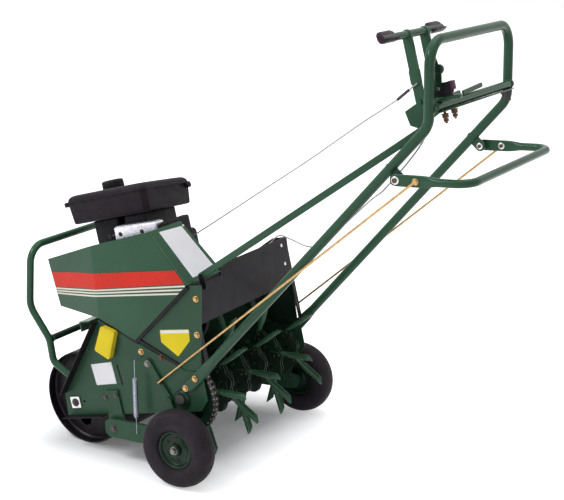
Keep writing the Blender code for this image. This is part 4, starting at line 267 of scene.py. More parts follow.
def rounded_path(corners, radii, steps=12):
    """The corners of a bent tube with an arc of the given radius at each inner corner."""
    points = [Vector(corners[0])]
    for index in range(1, len(corners) - 1):
        corner = Vector(corners[index])
        before = (Vector(corners[index - 1]) - corner).normalized()
        after = (Vector(corners[index + 1]) - corner).normalized()
        angle = before.angle(after)
        reach = radii[index - 1] / math.tan(angle / 2)
        centre = corner + (before + after).normalized() * (radii[index - 1] / math.sin(angle / 2))
        start = (corner + before * reach - centre).normalized()
        end = (corner + after * reach - centre).normalized()
        for step in range(steps + 1):
            points.append(centre + start.slerp(end, step / steps) * radii[index - 1])
    points.append(Vector(corners[-1]))
    return points


def smooth_route(points, steps):
    """A Catmull-Rom curve through the points."""
    places = [Vector(point) for point in points]
    ends = [places[0] * 2 - places[1]] + places + [places[-1] * 2 - places[-2]]
    route = []
    for a, b, c, d in zip(ends, ends[1:], ends[2:], ends[3:]):
        for step in range(steps):
            t = step / steps
            route.append((b * 2 + (c - a) * t + (a * 2 - b * 5 + c * 4 - d) * t * t
                          + (b * 3 - a - c * 3 + d) * t * t * t) / 2)
    route.append(places[-1])
    return route


def rounded_bar(start, end, half_width, steps=12):
    """The outline of a flat bar with round ends between two level-frame points."""
    angle = math.atan2(end[1] - start[1], end[0] - start[0])
    outline = []
    for centre, first in ((end, angle - math.pi / 2), (start, angle + math.pi / 2)):
        for step in range(steps + 1):
            outline.append(polar(centre, half_width, first + math.pi * step / steps))
    return outline


def rounded_outline(corners, radius, steps=5):
    """A closed outline with each corner rounded, by the radius or as much as its sides allow."""
    outline = []
    count = len(corners)
    for index, corner in enumerate(corners):
        here = Vector(corner)
        before = Vector(corners[index - 1]) - here
        after = Vector(corners[(index + 1) % count]) - here
        angle = before.angle(after)
        reach = min(radius / math.tan(angle / 2), before.length * 0.45, after.length * 0.45)
        start = here + before.normalized() * reach
        end = here + after.normalized() * reach
        for step in range(steps + 1):
            t = step / steps
            outline.append(tuple(start * (1 - t) ** 2 + here * 2 * t * (1 - t) + end * t * t))
    return outline


def skin(shape, rings, closed=False):
    """Joins rings of equally many points by quads, and closes both ends unless the rings close themselves."""
    made = [[shape.verts.new(point) for point in ring] for ring in rings]
    pairs = list(zip(made, made[1:]))
    if closed:
        pairs.append((made[-1], made[0]))
    for low, high in pairs:
        for i in range(len(low)):
            j = (i + 1) % len(low)
            shape.faces.new((low[i], low[j], high[j], high[i]))
    if not closed:
        shape.faces.new(made[0][::-1])
        shape.faces.new(made[-1])


def sweep(shape, points, section):
    """Moves a section along the points. section(index) gives (a, b) pairs, a across the machine at first."""
    places = [Vector(point) for point in points]
    count = len(places)
    up = Vector(ACROSS)
    rings = []
    for index, place in enumerate(places):
        along = (places[min(index + 1, count - 1)] - places[max(index - 1, 0)]).normalized()
        up = up - along * up.dot(along)
        if up.length < 0.001:
            up = along.orthogonal()
        up.normalize()
        side = along.cross(up)
        rings.append([place + up * a + side * b for a, b in section(index)])
    skin(shape, rings)


def smooth_share(share):
    """Eases a share in and out, and holds it between 0 and 1."""
    held = min(1.0, max(0.0, share))
    return held * held * (3 - 2 * held)


def squared_ring(thin, wide, thin_power, wide_power, sides):
    """An oval section, squarer as its powers fall below 1."""
    ring = []
    for step in range(sides):
        across, along = math.cos(step * math.tau / sides), math.sin(step * math.tau / sides)
        ring.append((thin * math.copysign(abs(across) ** thin_power, across),
                     wide * math.copysign(abs(along) ** wide_power, along)))
    return ring


def add_pressed_tube(shape, points, stations, radius, flat_size, flat_reach, flat_run, end_shares, sides):
    """A bent tube pressed into a flat at both ends. The stations are the points' places near an end."""
    def section(index):
        end = min(index, len(points) - 1 - index)
        along = stations[end] if end < len(stations) else 1.0
        flat = smooth_share((flat_reach - along) / flat_run)
        thin, wide = (radius + (size - radius) * flat for size in flat_size)
        if end < len(end_shares):
            wide *= end_shares[end]
        power = 1.0 - 0.62 * flat
        return squared_ring(thin, wide, power, 0.6 + 0.4 * power, sides)

    sweep(shape, points, section)


def add_tube(shape, points, radius, sides):
    ring = around(CENTRE, radius, sides)
    sweep(shape, points, lambda index: ring)


def add_turned(shape, centre, axis, profile, steps=32, turn=0.0):
    """A body turned about an axis. The profile holds (radius, height) pairs and closes itself."""
    along = Vector(axis).normalized()
    first = along.orthogonal().normalized()
    second = along.cross(first)
    middle = Vector(centre)
    rings = []
    for radius, height in profile:
        base = middle + along * height
        if radius < 1e-6:
            rings.append([shape.verts.new(base)] * steps)
            continue
        rings.append([
            shape.verts.new(base + first * (radius * math.cos(turn + step * math.tau / steps))
                            + second * (radius * math.sin(turn + step * math.tau / steps)))
            for step in range(steps)
        ])
    pairs = list(zip(rings, rings[1:]))
    if profile[0][0] > 1e-6 and profile[-1][0] > 1e-6:
        pairs.append((rings[-1], rings[0]))
    for low, high in pairs:
        for i in range(steps):
            j = (i + 1) % steps
            corners = []
            for vert in (low[i], low[j], high[j], high[i]):
                if vert not in corners:
                    corners.append(vert)
            if len(corners) > 2:
                shape.faces.new(corners)


def add_disc(shape, place, axis, radius, height, steps, edge=(0.0, 0.0)):
    """A disc or pin standing on a place, its far edge chamfered by edge (across, along)."""
    profile = [(0.0, 0.0), (radius, 0.0), (radius, height - edge[1])]
    if edge[0]:
        profile.append((radius - edge[0], height))
    add_turned(shape, place, axis, profile + [(0.0, height)], steps)


def add_ring(shape, place, axis, inner, outer, height, steps):
    """A plain tube standing on a place."""
    profile = [(inner, 0.0), (outer, 0.0), (outer, height), (inner, height)]
    add_turned(shape, place, axis, profile, steps)


def mirrored(profile):
    """A turned profile and its mirror image on the other side of height zero."""
    return profile + [(radius, -height) for radius, height in profile[::-1]]


def add_plate(shape, outline, x0, x1, holes=(), sides=24):
    """A flat plate across X with round holes (u, w, radius)."""
    rings = [list(outline)] + [around((u, w), radius, sides) for u, w, radius in holes]
    edges = []
    for ring in rings:
        verts = [shape.verts.new((x0, u, w)) for u, w in ring]
        edges += [shape.edges.new((verts[i], verts[(i + 1) % len(verts)])) for i in range(len(verts))]
    filled = bmesh.ops.triangle_fill(shape, use_beauty=True, use_dissolve=False, edges=edges)
    faces = [part for part in filled["geom"] if isinstance(part, bmesh.types.BMFace)]
    grown = bmesh.ops.extrude_face_region(shape, geom=faces)
    moved = [part for part in grown["geom"] if isinstance(part, bmesh.types.BMVert)]
    bmesh.ops.translate(shape, verts=moved, vec=(x1 - x0, 0.0, 0.0))


def add_box(shape, low, high):
    centre = [(a + b) / 2 for a, b in zip(low, high)]
    size = [b - a for a, b in zip(low, high)]
    bmesh.ops.create_cube(shape, size=1.0, matrix=Matrix.Translation(centre) @ Matrix.Diagonal((*size, 1.0)))


def add_block(shape, low, high, bevel, segments=3):
    """A box with rounded edges."""
    before = set(shape.edges)
    add_box(shape, low, high)
    edges = [edge for edge in shape.edges if edge not in before]
    bmesh.ops.bevel(shape, geom=edges, offset=bevel, segments=segments, affect="EDGES", profile=0.5)


def add_bolt(shape, place, axis=ACROSS, size=0.0075, height=0.0055, washer=0.0105):
    """A hexagon head with a chamfer, standing on its washer. Size is the head's corner radius."""
    if washer:
        add_disc(shape, place, axis, washer, 0.0016, 24, (0.0004, 0.0004))
    top = height + 0.0014
    add_turned(
        shape, place, axis,
        [(0.0, 0.001), (size, 0.001), (size, top - 0.0012), (size * 0.86, top), (0.0, top)], 6, 0.3
    )


def add_nut(shape, place, axis=ACROSS, size=0.0085, height=0.006, stud=0.0045):
    """A nut with the end of its stud showing, on a washer."""
    add_bolt(shape, place, axis, size, height, size * 1.35)
    add_turned(shape, place, axis, [(0.0, height), (stud, height), (stud, height + 0.0042),
                                    (stud - 0.0008, height + 0.005), (0.0, height + 0.005)], 14)


def round_edges(item, width, segments, angle):
    """Bevels the edges that are sharper than the angle."""
    rounding = item.modifiers.new("edges", "BEVEL")
    rounding.width = width
    rounding.segments = segments
    rounding.limit_method = "ANGLE"
    rounding.angle_limit = math.radians(angle)
    rounding.harden_normals = True


def piece(
    name, body, material, build, replaces=(), bevel=0.0, segments=2, smooth=34.0, slot=None, matrix=LEVEL
):
    """One visible piece, built in the level frame, riding on a body."""
    mesh = bpy.data.meshes.new(name)
    shape = bmesh.new()
    build(shape)
    bmesh.ops.recalc_face_normals(shape, faces=shape.faces)
    shape.transform(matrix)
    shape.to_mesh(mesh)
    shape.free()
    mesh.shade_smooth()
    mesh.set_sharp_from_angle(angle=math.radians(smooth))
    item = bpy.data.objects.new(name, mesh)
    bpy.context.scene.collection.objects.link(item)
    mesh.materials.append(material)
    if bevel:
        round_edges(item, bevel, segments, 32.0)
    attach(item, body)
    if replaces:
        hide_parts(*replaces)
    return item


def paired(name, body, material, build, replaces=None, **looks):
    """A left and a right piece, each on its own side's body and in place of its own side's node."""
    for side, sign in SIDES:
        own_body = body if body == "chassis" else f"{body}_{side}"
        nodes = [f"{replaces}_{side}"] if replaces else []
        piece(f"{name}_{side}", own_body, material, lambda shape: build(shape, sign), nodes, **looks)


# Studio and camera
def make_camera():
    data = bpy.data.cameras.new("camera")
    data.lens = CAMERA_LENS
    data.sensor_width = 36.0
    camera = bpy.data.objects.new("camera", data)
    bpy.context.scene.collection.objects.link(camera)
    up = CAMERA_BACK.cross(CAMERA_RIGHT)
    turn = Matrix((CAMERA_RIGHT, up, CAMERA_BACK)).transposed().to_4x4()
    camera.matrix_world = Matrix.Translation(CAMERA_PLACE) @ turn
    bpy.context.scene.camera = camera


def make_lamp(name, place, target, size, power):
    data = bpy.data.lights.new(name, "AREA")
    data.shape = "RECTANGLE"
    data.size = size
    data.size_y = size
    data.energy = power
    lamp = bpy.data.objects.new(name, data)
    bpy.context.scene.collection.objects.link(lamp)
    lamp.location = place
    lamp.rotation_euler = (Vector(target) - Vector(place)).to_track_quat("-Z", "Y").to_euler()
    return lamp


def seen_mask(tree):
    """1 for rays that show the background: from the camera, a mirror or a glass."""
    path = tree.nodes.new("ShaderNodeLightPath")
    mask = path.outputs["Is Camera Ray"]
    for kind in ("Is Glossy Ray", "Is Transmission Ray"):
        larger = tree.nodes.new("ShaderNodeMath")
        larger.operation = "MAXIMUM"
        tree.links.new(mask, larger.inputs[0])
        tree.links.new(path.outputs[kind], larger.inputs[1])
        mask = larger.outputs[0]
    return mask


def make_studio():
    world = bpy.data.worlds.new("studio")
    bpy.context.scene.world = world
    world.use_nodes = True
    tree = world.node_tree
    background = tree.nodes["Background"]
    background.inputs["Color"].default_value = (1.0, 1.0, 1.0, 1.0)
    level = tree.nodes.new("ShaderNodeMapRange")
    level.inputs["To Min"].default_value = AMBIENT
    level.inputs["To Max"].default_value = 1.0
    tree.links.new(seen_mask(tree), level.inputs["Value"])
    tree.links.new(level.outputs["Result"], background.inputs["Strength"])

    mesh = bpy.data.meshes.new("floor")
    size = 14.0
    mesh.from_pydata(
        [(-size, -size, 0), (size, -size, 0), (size, size, 0), (-size, size, 0)], [], [(0, 1, 2, 3)]
    )
    floor = bpy.data.objects.new("floor", mesh)
    bpy.context.scene.collection.objects.link(floor)
    surface = Surface("floor_paper", 0.9)
    surface.colour(
        surface.mix(surface.spread(surface.noise(1.5, 2.0), 0.0, 1.0), (0.86, 0.87, 0.9), (0.88, 0.89, 0.92))
    )
    surface.shader.inputs["Specular IOR Level"].default_value = 0.1
    # Glow rises with the distance out of the box under the machine: a painted shadow pool there, on top of
    # the lit shadow
    offset = surface.coordinates
    for operation, vector in (
        ("SUBTRACT", PAINTED_SHADOW_CENTRE), ("ABSOLUTE", (0.0, 0.0, 0.0)), ("SUBTRACT", PAINTED_SHADOW_HALF),
        ("MAXIMUM", (0.0, 0.0, 0.0))
    ):
        step = surface.node("ShaderNodeVectorMath", operation=operation)
        surface.link(offset, step.inputs[0])
        step.inputs[1].default_value = vector
        offset = step.outputs["Vector"]
    distance = surface.node("ShaderNodeVectorMath", operation="LENGTH")
    surface.link(offset, distance.inputs[0])
    glow = surface.spread(distance.outputs["Value"], FLOOR_GLOW, 1.0, 0.0, 0.26)
    seen = surface.node("ShaderNodeMath", operation="MULTIPLY")
    surface.link(glow, seen.inputs[0])
    surface.link(seen_mask(surface.tree), seen.inputs[1])
    surface.shader.inputs["Emission Color"].default_value = (1.0, 1.0, 1.0, 1.0)
    surface.link(seen.outputs["Value"], surface.shader.inputs["Emission Strength"])
    mesh.materials.append(surface.material)

    target = (0.0, 0.0, 0.5)
    make_lamp("key", (2.2, -1.8, 3.4), target, 1.5, 84.0)
    make_lamp("fill", (3.8, 2.2, 1.6), target, 2.0, 9.0)
    make_lamp("top", (-0.4, 0.6, 3.6), target, 2.2, 28.0)
    back = make_lamp("back", (-2.8, 1.4, 1.8), target, 1.6, 14.0)
    back.visible_glossy = False
    bpy.context.scene.view_settings.view_transform = "Standard"


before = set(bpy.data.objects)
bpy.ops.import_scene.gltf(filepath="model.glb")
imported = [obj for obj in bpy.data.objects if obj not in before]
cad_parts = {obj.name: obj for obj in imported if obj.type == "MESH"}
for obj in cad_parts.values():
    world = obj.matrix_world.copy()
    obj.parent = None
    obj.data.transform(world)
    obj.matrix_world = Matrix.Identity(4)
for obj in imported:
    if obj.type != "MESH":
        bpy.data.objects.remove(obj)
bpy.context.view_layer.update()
make_camera()
make_studio()

# The carried-over CAD nodes' finishes
NODE_FINISH = {
    "engine_deck": green_paint, "rear_panel": black_paint, "upper_plate_left": plate_paint,
    # The right upper plate's darkened worked paint is partly painted shade for its inner face
    "upper_plate_right": soil_and_shade_paint, "tine_shaft": dark_steel
}
for name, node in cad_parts.items():
    finish = NODE_FINISH.get(name, green_paint)
    node.data.materials.clear()
    node.data.materials.append(finish)


# Handle
HANDLE_RADIUS = 0.0127
HANDLE_FOOT = (0.424, 0.028)
HANDLE_FOOT_X = 0.2705
HANDLE_TOP_X = 0.2415
HANDLE_ELBOW = (1.275, 0.63)
HANDLE_TOP = (1.318, 0.825)
HANDLE_BAR = (1.292, 0.67)
BAIL_PIVOT = (1.174, 0.5175)
HANDLE_LINE = (Vector(HANDLE_ELBOW) - Vector(HANDLE_FOOT)).normalized()


def leg_x(along):
    """The x of a leg's centre line at a distance up from its foot."""
    length = (Vector(HANDLE_ELBOW) - Vector(HANDLE_FOOT)).length
    return HANDLE_FOOT_X + (HANDLE_TOP_X - HANDLE_FOOT_X) * along / length


def leg_place(along, sign):
    place = Vector(HANDLE_FOOT) + HANDLE_LINE * along
    return Vector((leg_x(along) * sign, place.x, place.y))


def build_handle(shape):
    """One tube up, over and down again, its ends pressed flat where they bolt to the plates."""
    tops = [
        (HANDLE_TOP_X * sign, *place)
        for sign, place in ((1, HANDLE_ELBOW), (1, HANDLE_TOP), (-1, HANDLE_TOP), (-1, HANDLE_ELBOW))
    ]
    stations = [-0.0095, -0.006, 0.0, 0.01, 0.03, 0.06, 0.088, 0.102, 0.116, 0.13, 0.15]
    left = [leg_place(along, 1) for along in stations]
    right = [leg_place(along, -1) for along in stations[::-1]]
    middle = rounded_path([left[-1], *tops, right[0]], [0.06, 0.06, 0.06, 0.06], 14)
    points = left[:-1] + middle + right[1:]
    add_pressed_tube(
        shape, points, stations, HANDLE_RADIUS, (0.0064, 0.016), 0.132, 0.052, (0.42, 0.72, 0.9), 28
    )
    add_tube(shape, [(-HANDLE_TOP_X, *HANDLE_BAR), (HANDLE_TOP_X, *HANDLE_BAR)], 0.0105, 24)
    for sign in (1, -1):
        for inset in (0.0118, 0.0124):
            add_turned(
                shape, ((HANDLE_TOP_X - inset) * sign, *HANDLE_BAR), ACROSS,
                [(0.01, -0.003), (0.0126, -0.0012), (0.0134, 0.0008), (0.012, 0.003), (0.01, 0.0034)], 24
            )


def build_bail_tabs(shape):
    for sign in (1, -1):
        along = (Vector(BAIL_PIVOT) - Vector(HANDLE_FOOT)).dot(HANDLE_LINE)
        start = tuple(Vector(HANDLE_FOOT) + HANDLE_LINE * along)
        add_plate(shape, rounded_bar(start, BAIL_PIVOT, 0.014), (HANDLE_TOP_X - 0.001) * sign,
                  (HANDLE_TOP_X + 0.005) * sign, [(*BAIL_PIVOT, 0.0052)])
        add_ring(shape, *outward(HANDLE_TOP_X + 0.0045, BAIL_PIVOT, sign), 0.0053, 0.01, 0.0137, 24)


piece("handle", "chassis", green_paint, build_handle, ["handle_frame"], smooth=40.0)
piece("bail_tabs", "chassis", green_paint, build_bail_tabs, bevel=0.001)

STRUT_X = 0.2175
STRUT_LOW = (0.5, 0.322)
STRUT_HIGH = (1.245, 0.622)


def build_strut(shape):
    """The brace, a tube pressed flat at both ends."""
    low, high = Vector((STRUT_X, *STRUT_LOW)), Vector((STRUT_X, *STRUT_HIGH))
    shares = [0.0, 0.006, 0.05, 0.075, 0.1, 0.5, 0.9, 0.925, 0.95, 0.994, 1.0]
    points = [low.lerp(high, share) for share in shares]

    def section(index):
        flat = (1.0, 1.0, 1.0, 0.45, 0.0, 0.0, 0.0, 0.45, 1.0, 1.0, 1.0)[index]
        thin = 0.0066 - 0.004 * flat
        wide = 0.0092 + 0.0006 * flat
        if index in (0, 10):
            wide *= 0.8
        return squared_ring(thin, wide, 0.45, 0.45, 24)

    sweep(shape, points, section)


def build_panel_lip(shape):
    """The strip that closes the rear panel's step below the lid."""
    add_block(shape, (0.1, 0.4835, 0.296), (0.256, 0.4865, 0.314), 0.0006, 1)


piece("strut", "chassis", green_paint, build_strut, ["handle_strut"])
# The strut's foot is painted black though the part is green: painted shade below the lid
piece(
    "strut_foot", "chassis", black_paint, lambda s: add_plate(
        s, rounded_bar((0.508, 0.3225), (0.5095, 0.296), 0.0085), STRUT_X - 0.0026, STRUT_X + 0.0026
    ), slot="green_paint"
)
piece("panel_lip", "chassis", black_paint, build_panel_lip)

# Front guard
GUARD_X = 0.2385
GUARD_RADIUS = 0.0108
GUARD_POINTS = [(-0.012, 0.062), (-0.078, 0.119), (-0.073, 0.188), (-0.12, 0.293), (-0.064, 0.468)]


def build_guard(shape):
    near = [(GUARD_X, *place) for place in GUARD_POINTS]
    far = [(-GUARD_X, *place) for place in GUARD_POINTS]
    radii = [0.03, 0.06, 0.06, 0.05, 0.05, 0.06, 0.06, 0.03]
    add_tube(shape, rounded_path(near + far[::-1], radii, 10), GUARD_RADIUS, 24)


def build_crossbar_in_shade(shape):
    joint = GUARD_POINTS[2]
    add_tube(shape, [(-GUARD_X, *joint), (GUARD_X, *joint)], 0.01, 24)
    for sign in (1, -1):
        add_turned(shape, ((GUARD_X - 0.01) * sign, *joint), ACROSS,
                   [(0.0095, -0.0026), (0.0118, -0.001), (0.0124, 0.0006), (0.0095, 0.003)], 22)


def build_guard_feet(shape):
    u, w = GUARD_POINTS[0]
    corners = [(u - 0.012, w - 0.016), (u + 0.012, w - 0.016), (u + 0.012, w + 0.01), (u - 0.012, w + 0.01)]
    for sign in (1, -1):
        add_plate(shape, rounded_outline(corners, 0.004), 0.2602 * sign, (GUARD_X - 0.004) * sign)


piece("guard", "chassis", green_paint, build_guard, ["front_guard"], smooth=40.0)
# The crossbar takes dark paint though the guard is green: painted shade
piece("guard_crossbar_painted_shade", "chassis", dark_paint, build_crossbar_in_shade, slot="green_paint")
piece("guard_feet", "chassis", green_paint, build_guard_feet, bevel=0.001)

# Belt shroud
SHROUD_X = 0.2685
LID_TOP_X = 0.1164
LID_LOW_X = 0.0949
SHROUD_FRONT_X = SHROUD_X - 0.04
CREASE_TOP = (0.188, 0.452)
CREASE_BOTTOM = (0.16, 0.2435)
REAR_TOP = (0.4, 0.47)
REAR_LOW = (0.49, 0.312)
SHROUD_TIP = (0.272, 0.172)
FRONT_TOP = (-0.018, 0.424)
FRONT_LOW = (-0.01, 0.282)


def front_point(share, drop, lift=0.0):
    """A point of the front face. Share runs from front edge to crease, drop from the top edge down."""
    front_top, front_low = Vector((SHROUD_FRONT_X, *FRONT_TOP)), Vector((SHROUD_FRONT_X, *FRONT_LOW))
    crease_top, crease_low = Vector((SHROUD_X, *CREASE_TOP)), Vector((SHROUD_X, *CREASE_BOTTOM))
    place = front_top.lerp(front_low, drop).lerp(crease_top.lerp(crease_low, drop), share)
    normal = (crease_low - front_top).cross(crease_top - front_low).normalized()
    return place + normal * lift


def build_shroud(shape):
    """The folded sheet: the front face, the side face and the sloping lid."""
    steps = 8
    grid = [[shape.verts.new(front_point(across / steps, down / steps)) for across in range(steps + 1)]
            for down in range(steps + 1)]
    for upper, lower in zip(grid, grid[1:]):
        for i in range(steps):
            shape.faces.new((upper[i], lower[i], lower[i + 1], upper[i + 1]))
    rear_top, rear_low, tip = [
        shape.verts.new((SHROUD_X, *place)) for place in (REAR_TOP, REAR_LOW, SHROUD_TIP)
    ]
    lid_low, lid_top = shape.verts.new((LID_LOW_X, *REAR_LOW)), shape.verts.new((LID_TOP_X, *REAR_TOP))
    crease = [row[-1] for row in grid]
    shape.faces.new(crease + [tip, rear_low, rear_top])
    shape.faces.new((rear_top, rear_low, lid_low, lid_top))
    shape.normal_update()
    folds = [edge for edge in shape.edges if len(edge.link_faces) == 2 and abs(edge.calc_face_angle()) > 0.08]
    bmesh.ops.bevel(shape, geom=folds, offset=0.0032, segments=4, affect="EDGES", profile=0.5)


def make_shroud():
    shroud = piece("shroud", "chassis", green_paint, build_shroud, ["belt_shroud"])
    sheet = shroud.modifiers.new("sheet", "SOLIDIFY")
    sheet.thickness = 0.002
    sheet.offset = -1.0
    sheet.use_even_offset = True
    round_edges(shroud, 0.0005, 2, 50.0)


make_shroud()

STRIPE_LIFT = 0.00035
STRIPE_LIFTS = (STRIPE_LIFT, STRIPE_LIFT + 0.00025)


def edge_at(start, end, w):
    """The u of a straight edge at height w."""
    return start[0] + (end[0] - start[0]) * (w - start[1]) / (end[1] - start[1])


def add_strip(shape, stations):
    """A thin closed strip through stations of (top, low, lifted top, lifted low) points."""
    skin(shape, [(top, low, low_up, top_up) for top, low, top_up, low_up in stations])


# Heights of the band and the pinstripes at the front edge, at the crease and at the rear edge
BAND = ((0.3838, 0.3414), (0.373, 0.329), (0.3568, 0.3176))
LINES = (
    ((0.3384, 0.3338), (0.3266, 0.3222), (0.3138, 0.309)),
    ((0.331, 0.3268), (0.3186, 0.3142), (0.3045, 0.2998)),
    ((0.3237, 0.3195), (0.3104, 0.3058), (0.2948, 0.2902))
)


def rear_edge(w):
    """The u of the side face's rear edge at height w, above or below its rear corner."""
    if w > REAR_LOW[1]:
        return edge_at(REAR_TOP, REAR_LOW, w)
    return edge_at(SHROUD_TIP, REAR_LOW, w)


def add_stripe(shape, levels):
    """One stripe over both faces. Levels are (top, bottom) heights at front edge, crease and rear edge."""
    stations = []
    for step in range(9):
        share = 0.012 + 0.988 * step / 8
        drops = []
        for front_w, crease_w in zip(levels[0], levels[1]):
            first = (FRONT_TOP[1] - front_w) / (FRONT_TOP[1] - FRONT_LOW[1])
            last = (CREASE_TOP[1] - crease_w) / (CREASE_TOP[1] - CREASE_BOTTOM[1])
            drops.append(first + (last - first) * share)
        stations.append([front_point(share, drop, lift) for lift in STRIPE_LIFTS for drop in drops])
    add_strip(shape, stations)
    stations = []
    for edge, heights in (
        (lambda w: edge_at(CREASE_TOP, CREASE_BOTTOM, w), levels[1]),
        (lambda w: rear_edge(w) - 0.0025, levels[2])
    ):
        stations.append([(SHROUD_X + lift, edge(w), w) for lift in STRIPE_LIFTS for w in heights])
    add_strip(shape, stations)


piece("red_band", "chassis", red_band, lambda s: add_stripe(s, BAND))


def build_pinstripes(shape):
    for levels in LINES:
        add_stripe(shape, levels)


piece("pinstripes", "chassis", cream_line, build_pinstripes)


def lid_point(x, share, lift=STRIPE_LIFT):
    """A point on the lid, share running from its top edge to its low edge."""
    u, w = between(REAR_TOP, REAR_LOW, share)
    along = Vector((REAR_LOW[0] - REAR_TOP[0], REAR_LOW[1] - REAR_TOP[1])).normalized()
    return Vector((x, u - along.y * lift, w + along.x * lift))


def add_lid_film(shape, corners, radius, thick):
    """A thin sheet on the lid with its corners given as (x, share)."""
    outline = rounded_outline(corners, radius, 4)
    lifts = (STRIPE_LIFT, STRIPE_LIFT + thick)
    skin(shape, [[lid_point(x, share, lift) for x, share in outline] for lift in lifts])


def build_lid_plate(shape):
    add_lid_film(shape, [(0.2292, 0.06), (0.2245, 0.921), (0.114, 0.93), (0.1291, 0.09)], 0.003, 0.0004)


def build_lid_rivet(shape):
    across = lid_point(0.119, 0.09, 1.0) - lid_point(0.119, 0.09, 0.0)
    add_turned(
        shape, lid_point(0.119, 0.09, 0.0), across,
        [(0.0, 0.0), (0.0032, 0.0), (0.0028, 0.001), (0.0, 0.0014)], 16
    )


piece("lid_plate", "chassis", white_plate, build_lid_plate)
# A thin light strip along the fold between the side face and the lid: a painted highlight
piece(
    "lid_fold_highlight", "chassis", fold_highlight_paint, lambda s: add_lid_film(
        s, [(0.2655, 0.015), (0.2655, 0.985), (0.2642, 0.985), (0.2642, 0.015)], 0.0003, 0.0002
    )
)
piece("lid_rivet", "chassis", plated_zinc, build_lid_rivet)

# Side plates
PLATE_X = 0.2635
ON_PLATE_X = PLATE_X + 0.0003
HANGER_X = (ON_PLATE_X, 0.2698)
AXLE_PLATE_X = (ON_PLATE_X, 0.2688)
UPPER_X = 0.2602
PLATE_PEAK = (0.15, 0.238)
PLATE_NOSE = (-0.036, 0.028)
PLATE_TAIL = (0.42, 0.075)
TINE_SHAFT = (0.39, -0.003)
JACKSHAFT = (0.395, 0.213)


def build_side_plate(shape, sign):
    outline = [
        (-0.045, -0.042), (0.445, -0.042), (0.475, -0.012), (0.475, 0.068), PLATE_TAIL, PLATE_PEAK,
        PLATE_NOSE
    ]
    holes = [(*TINE_SHAFT, 0.0185), (0.0, 0.0, 0.0102)]
    if sign > 0:
        holes += [(0.084, 0.15, 0.004), (0.03, 0.0, 0.004)]
    add_plate(shape, rounded_outline(outline, 0.006), (PLATE_X - 0.003) * sign, PLATE_X * sign, holes)


# Both flanges are painted black though the plates are green: painted shade on faces turned away from the
# light
def build_flanges_painted_shade(shape, sign):
    add_plate(shape, [(-0.041, -0.0417), (0.108, -0.0417), (0.108, -0.039), (-0.041, -0.039)],
              (PLATE_X - 0.002) * sign, (PLATE_X + 0.03) * sign)
    front = Vector(PLATE_PEAK) - Vector(PLATE_NOSE)
    across = Vector((-front.y, front.x)).normalized() * -0.003
    nose, peak = (Vector(PLATE_NOSE).lerp(Vector(PLATE_PEAK), share) for share in (0.015, 0.985))
    flange = [tuple(nose), tuple(peak), tuple(peak + across), tuple(nose + across)]
    add_plate(shape, flange, (PLATE_X - 0.002) * sign, (PLATE_X + 0.03) * sign)


def build_bearing(shape, sign):
    """A pressed flange bearing around the tine shaft."""
    add_turned(shape, *outward(PLATE_X, TINE_SHAFT, sign),
               [(0.0155, 0.008), (0.02, 0.008), (0.0215, 0.007), (0.0235, 0.0045), (0.0255, 0.0035),
                (0.0262, 0.002), (0.0262, 0.0003), (0.0155, 0.0003)], 40)


paired("side_sheet", "chassis", plate_paint, build_side_plate, "side_plate", bevel=0.0007)
paired("front_flange_painted_shade", "chassis", black_paint, build_flanges_painted_shade, bevel=0.0007, slot="green_paint")
paired("shaft_bearing", "chassis", dark_paint, build_bearing)


def build_box(shape):
    """The yellow box: a rounded body with a parting line and a raised front panel."""
    outline = [(0.1701, 0.2233), (0.2154, 0.2021), (0.1739, 0.1237), (0.1281, 0.1552)]
    middle = Vector((sum(p[0] for p in outline) / 4, sum(p[1] for p in outline) / 4))
    for x0, x1, scale in (
        (0.0003, 0.0105, 1.0), (0.01, 0.0115, 0.965), (0.011, 0.0183, 1.0), (0.018, 0.019, 0.84)
    ):
        ring = [tuple(middle + (Vector(place) - middle) * scale) for place in outline]
        add_plate(shape, rounded_outline(ring, 0.007, 6), PLATE_X + x0, PLATE_X + x1)


# A black film shaped as a slot on the plate: painted shade standing in for the dark inside of a slot
piece(
    "slot_painted_shade", "chassis", black_plastic, lambda s: add_plate(
        s, rounded_bar((0.183, 0.102), (0.187, 0.046), 0.0034, 8), PLATE_X - 0.001, ON_PLATE_X
    ), slot="green_paint"
)
piece("papers_box", "chassis", yellow_plastic, build_box, ["document_box"], bevel=0.001)

# Bare plates where the photograph shows labels, between two distances from the sheet's face
for plate_name, plate_look, face_x, low_x, high_x, corner, plate_corners in (
    ("pentagon_strip", white_plate, UPPER_X, 0.0006, 0.001, 0.0015,
     [(0.3625, 0.193), (0.4592, 0.1882), (0.458, 0.18), (0.3618, 0.1848)]),
    ("side_label_place", white_plate, PLATE_X, 0.0002, 0.0007, 0.002,
     [(0.087, 0.11), (0.164, 0.1132), (0.167, 0.049), (0.092, 0.0475)]),
    ("pentagon_place", yellow_field, UPPER_X, 0.0002, 0.0007, 0.003,
     [(0.3607, 0.1946), (0.4603, 0.1897), (0.4553, 0.1574), (0.4045, 0.1159), (0.3567, 0.1603)])
):
    piece(plate_name, "chassis", plate_look, lambda s: add_plate(
        s, rounded_outline(plate_corners, corner, 3), face_x + low_x, face_x + high_x
    ))


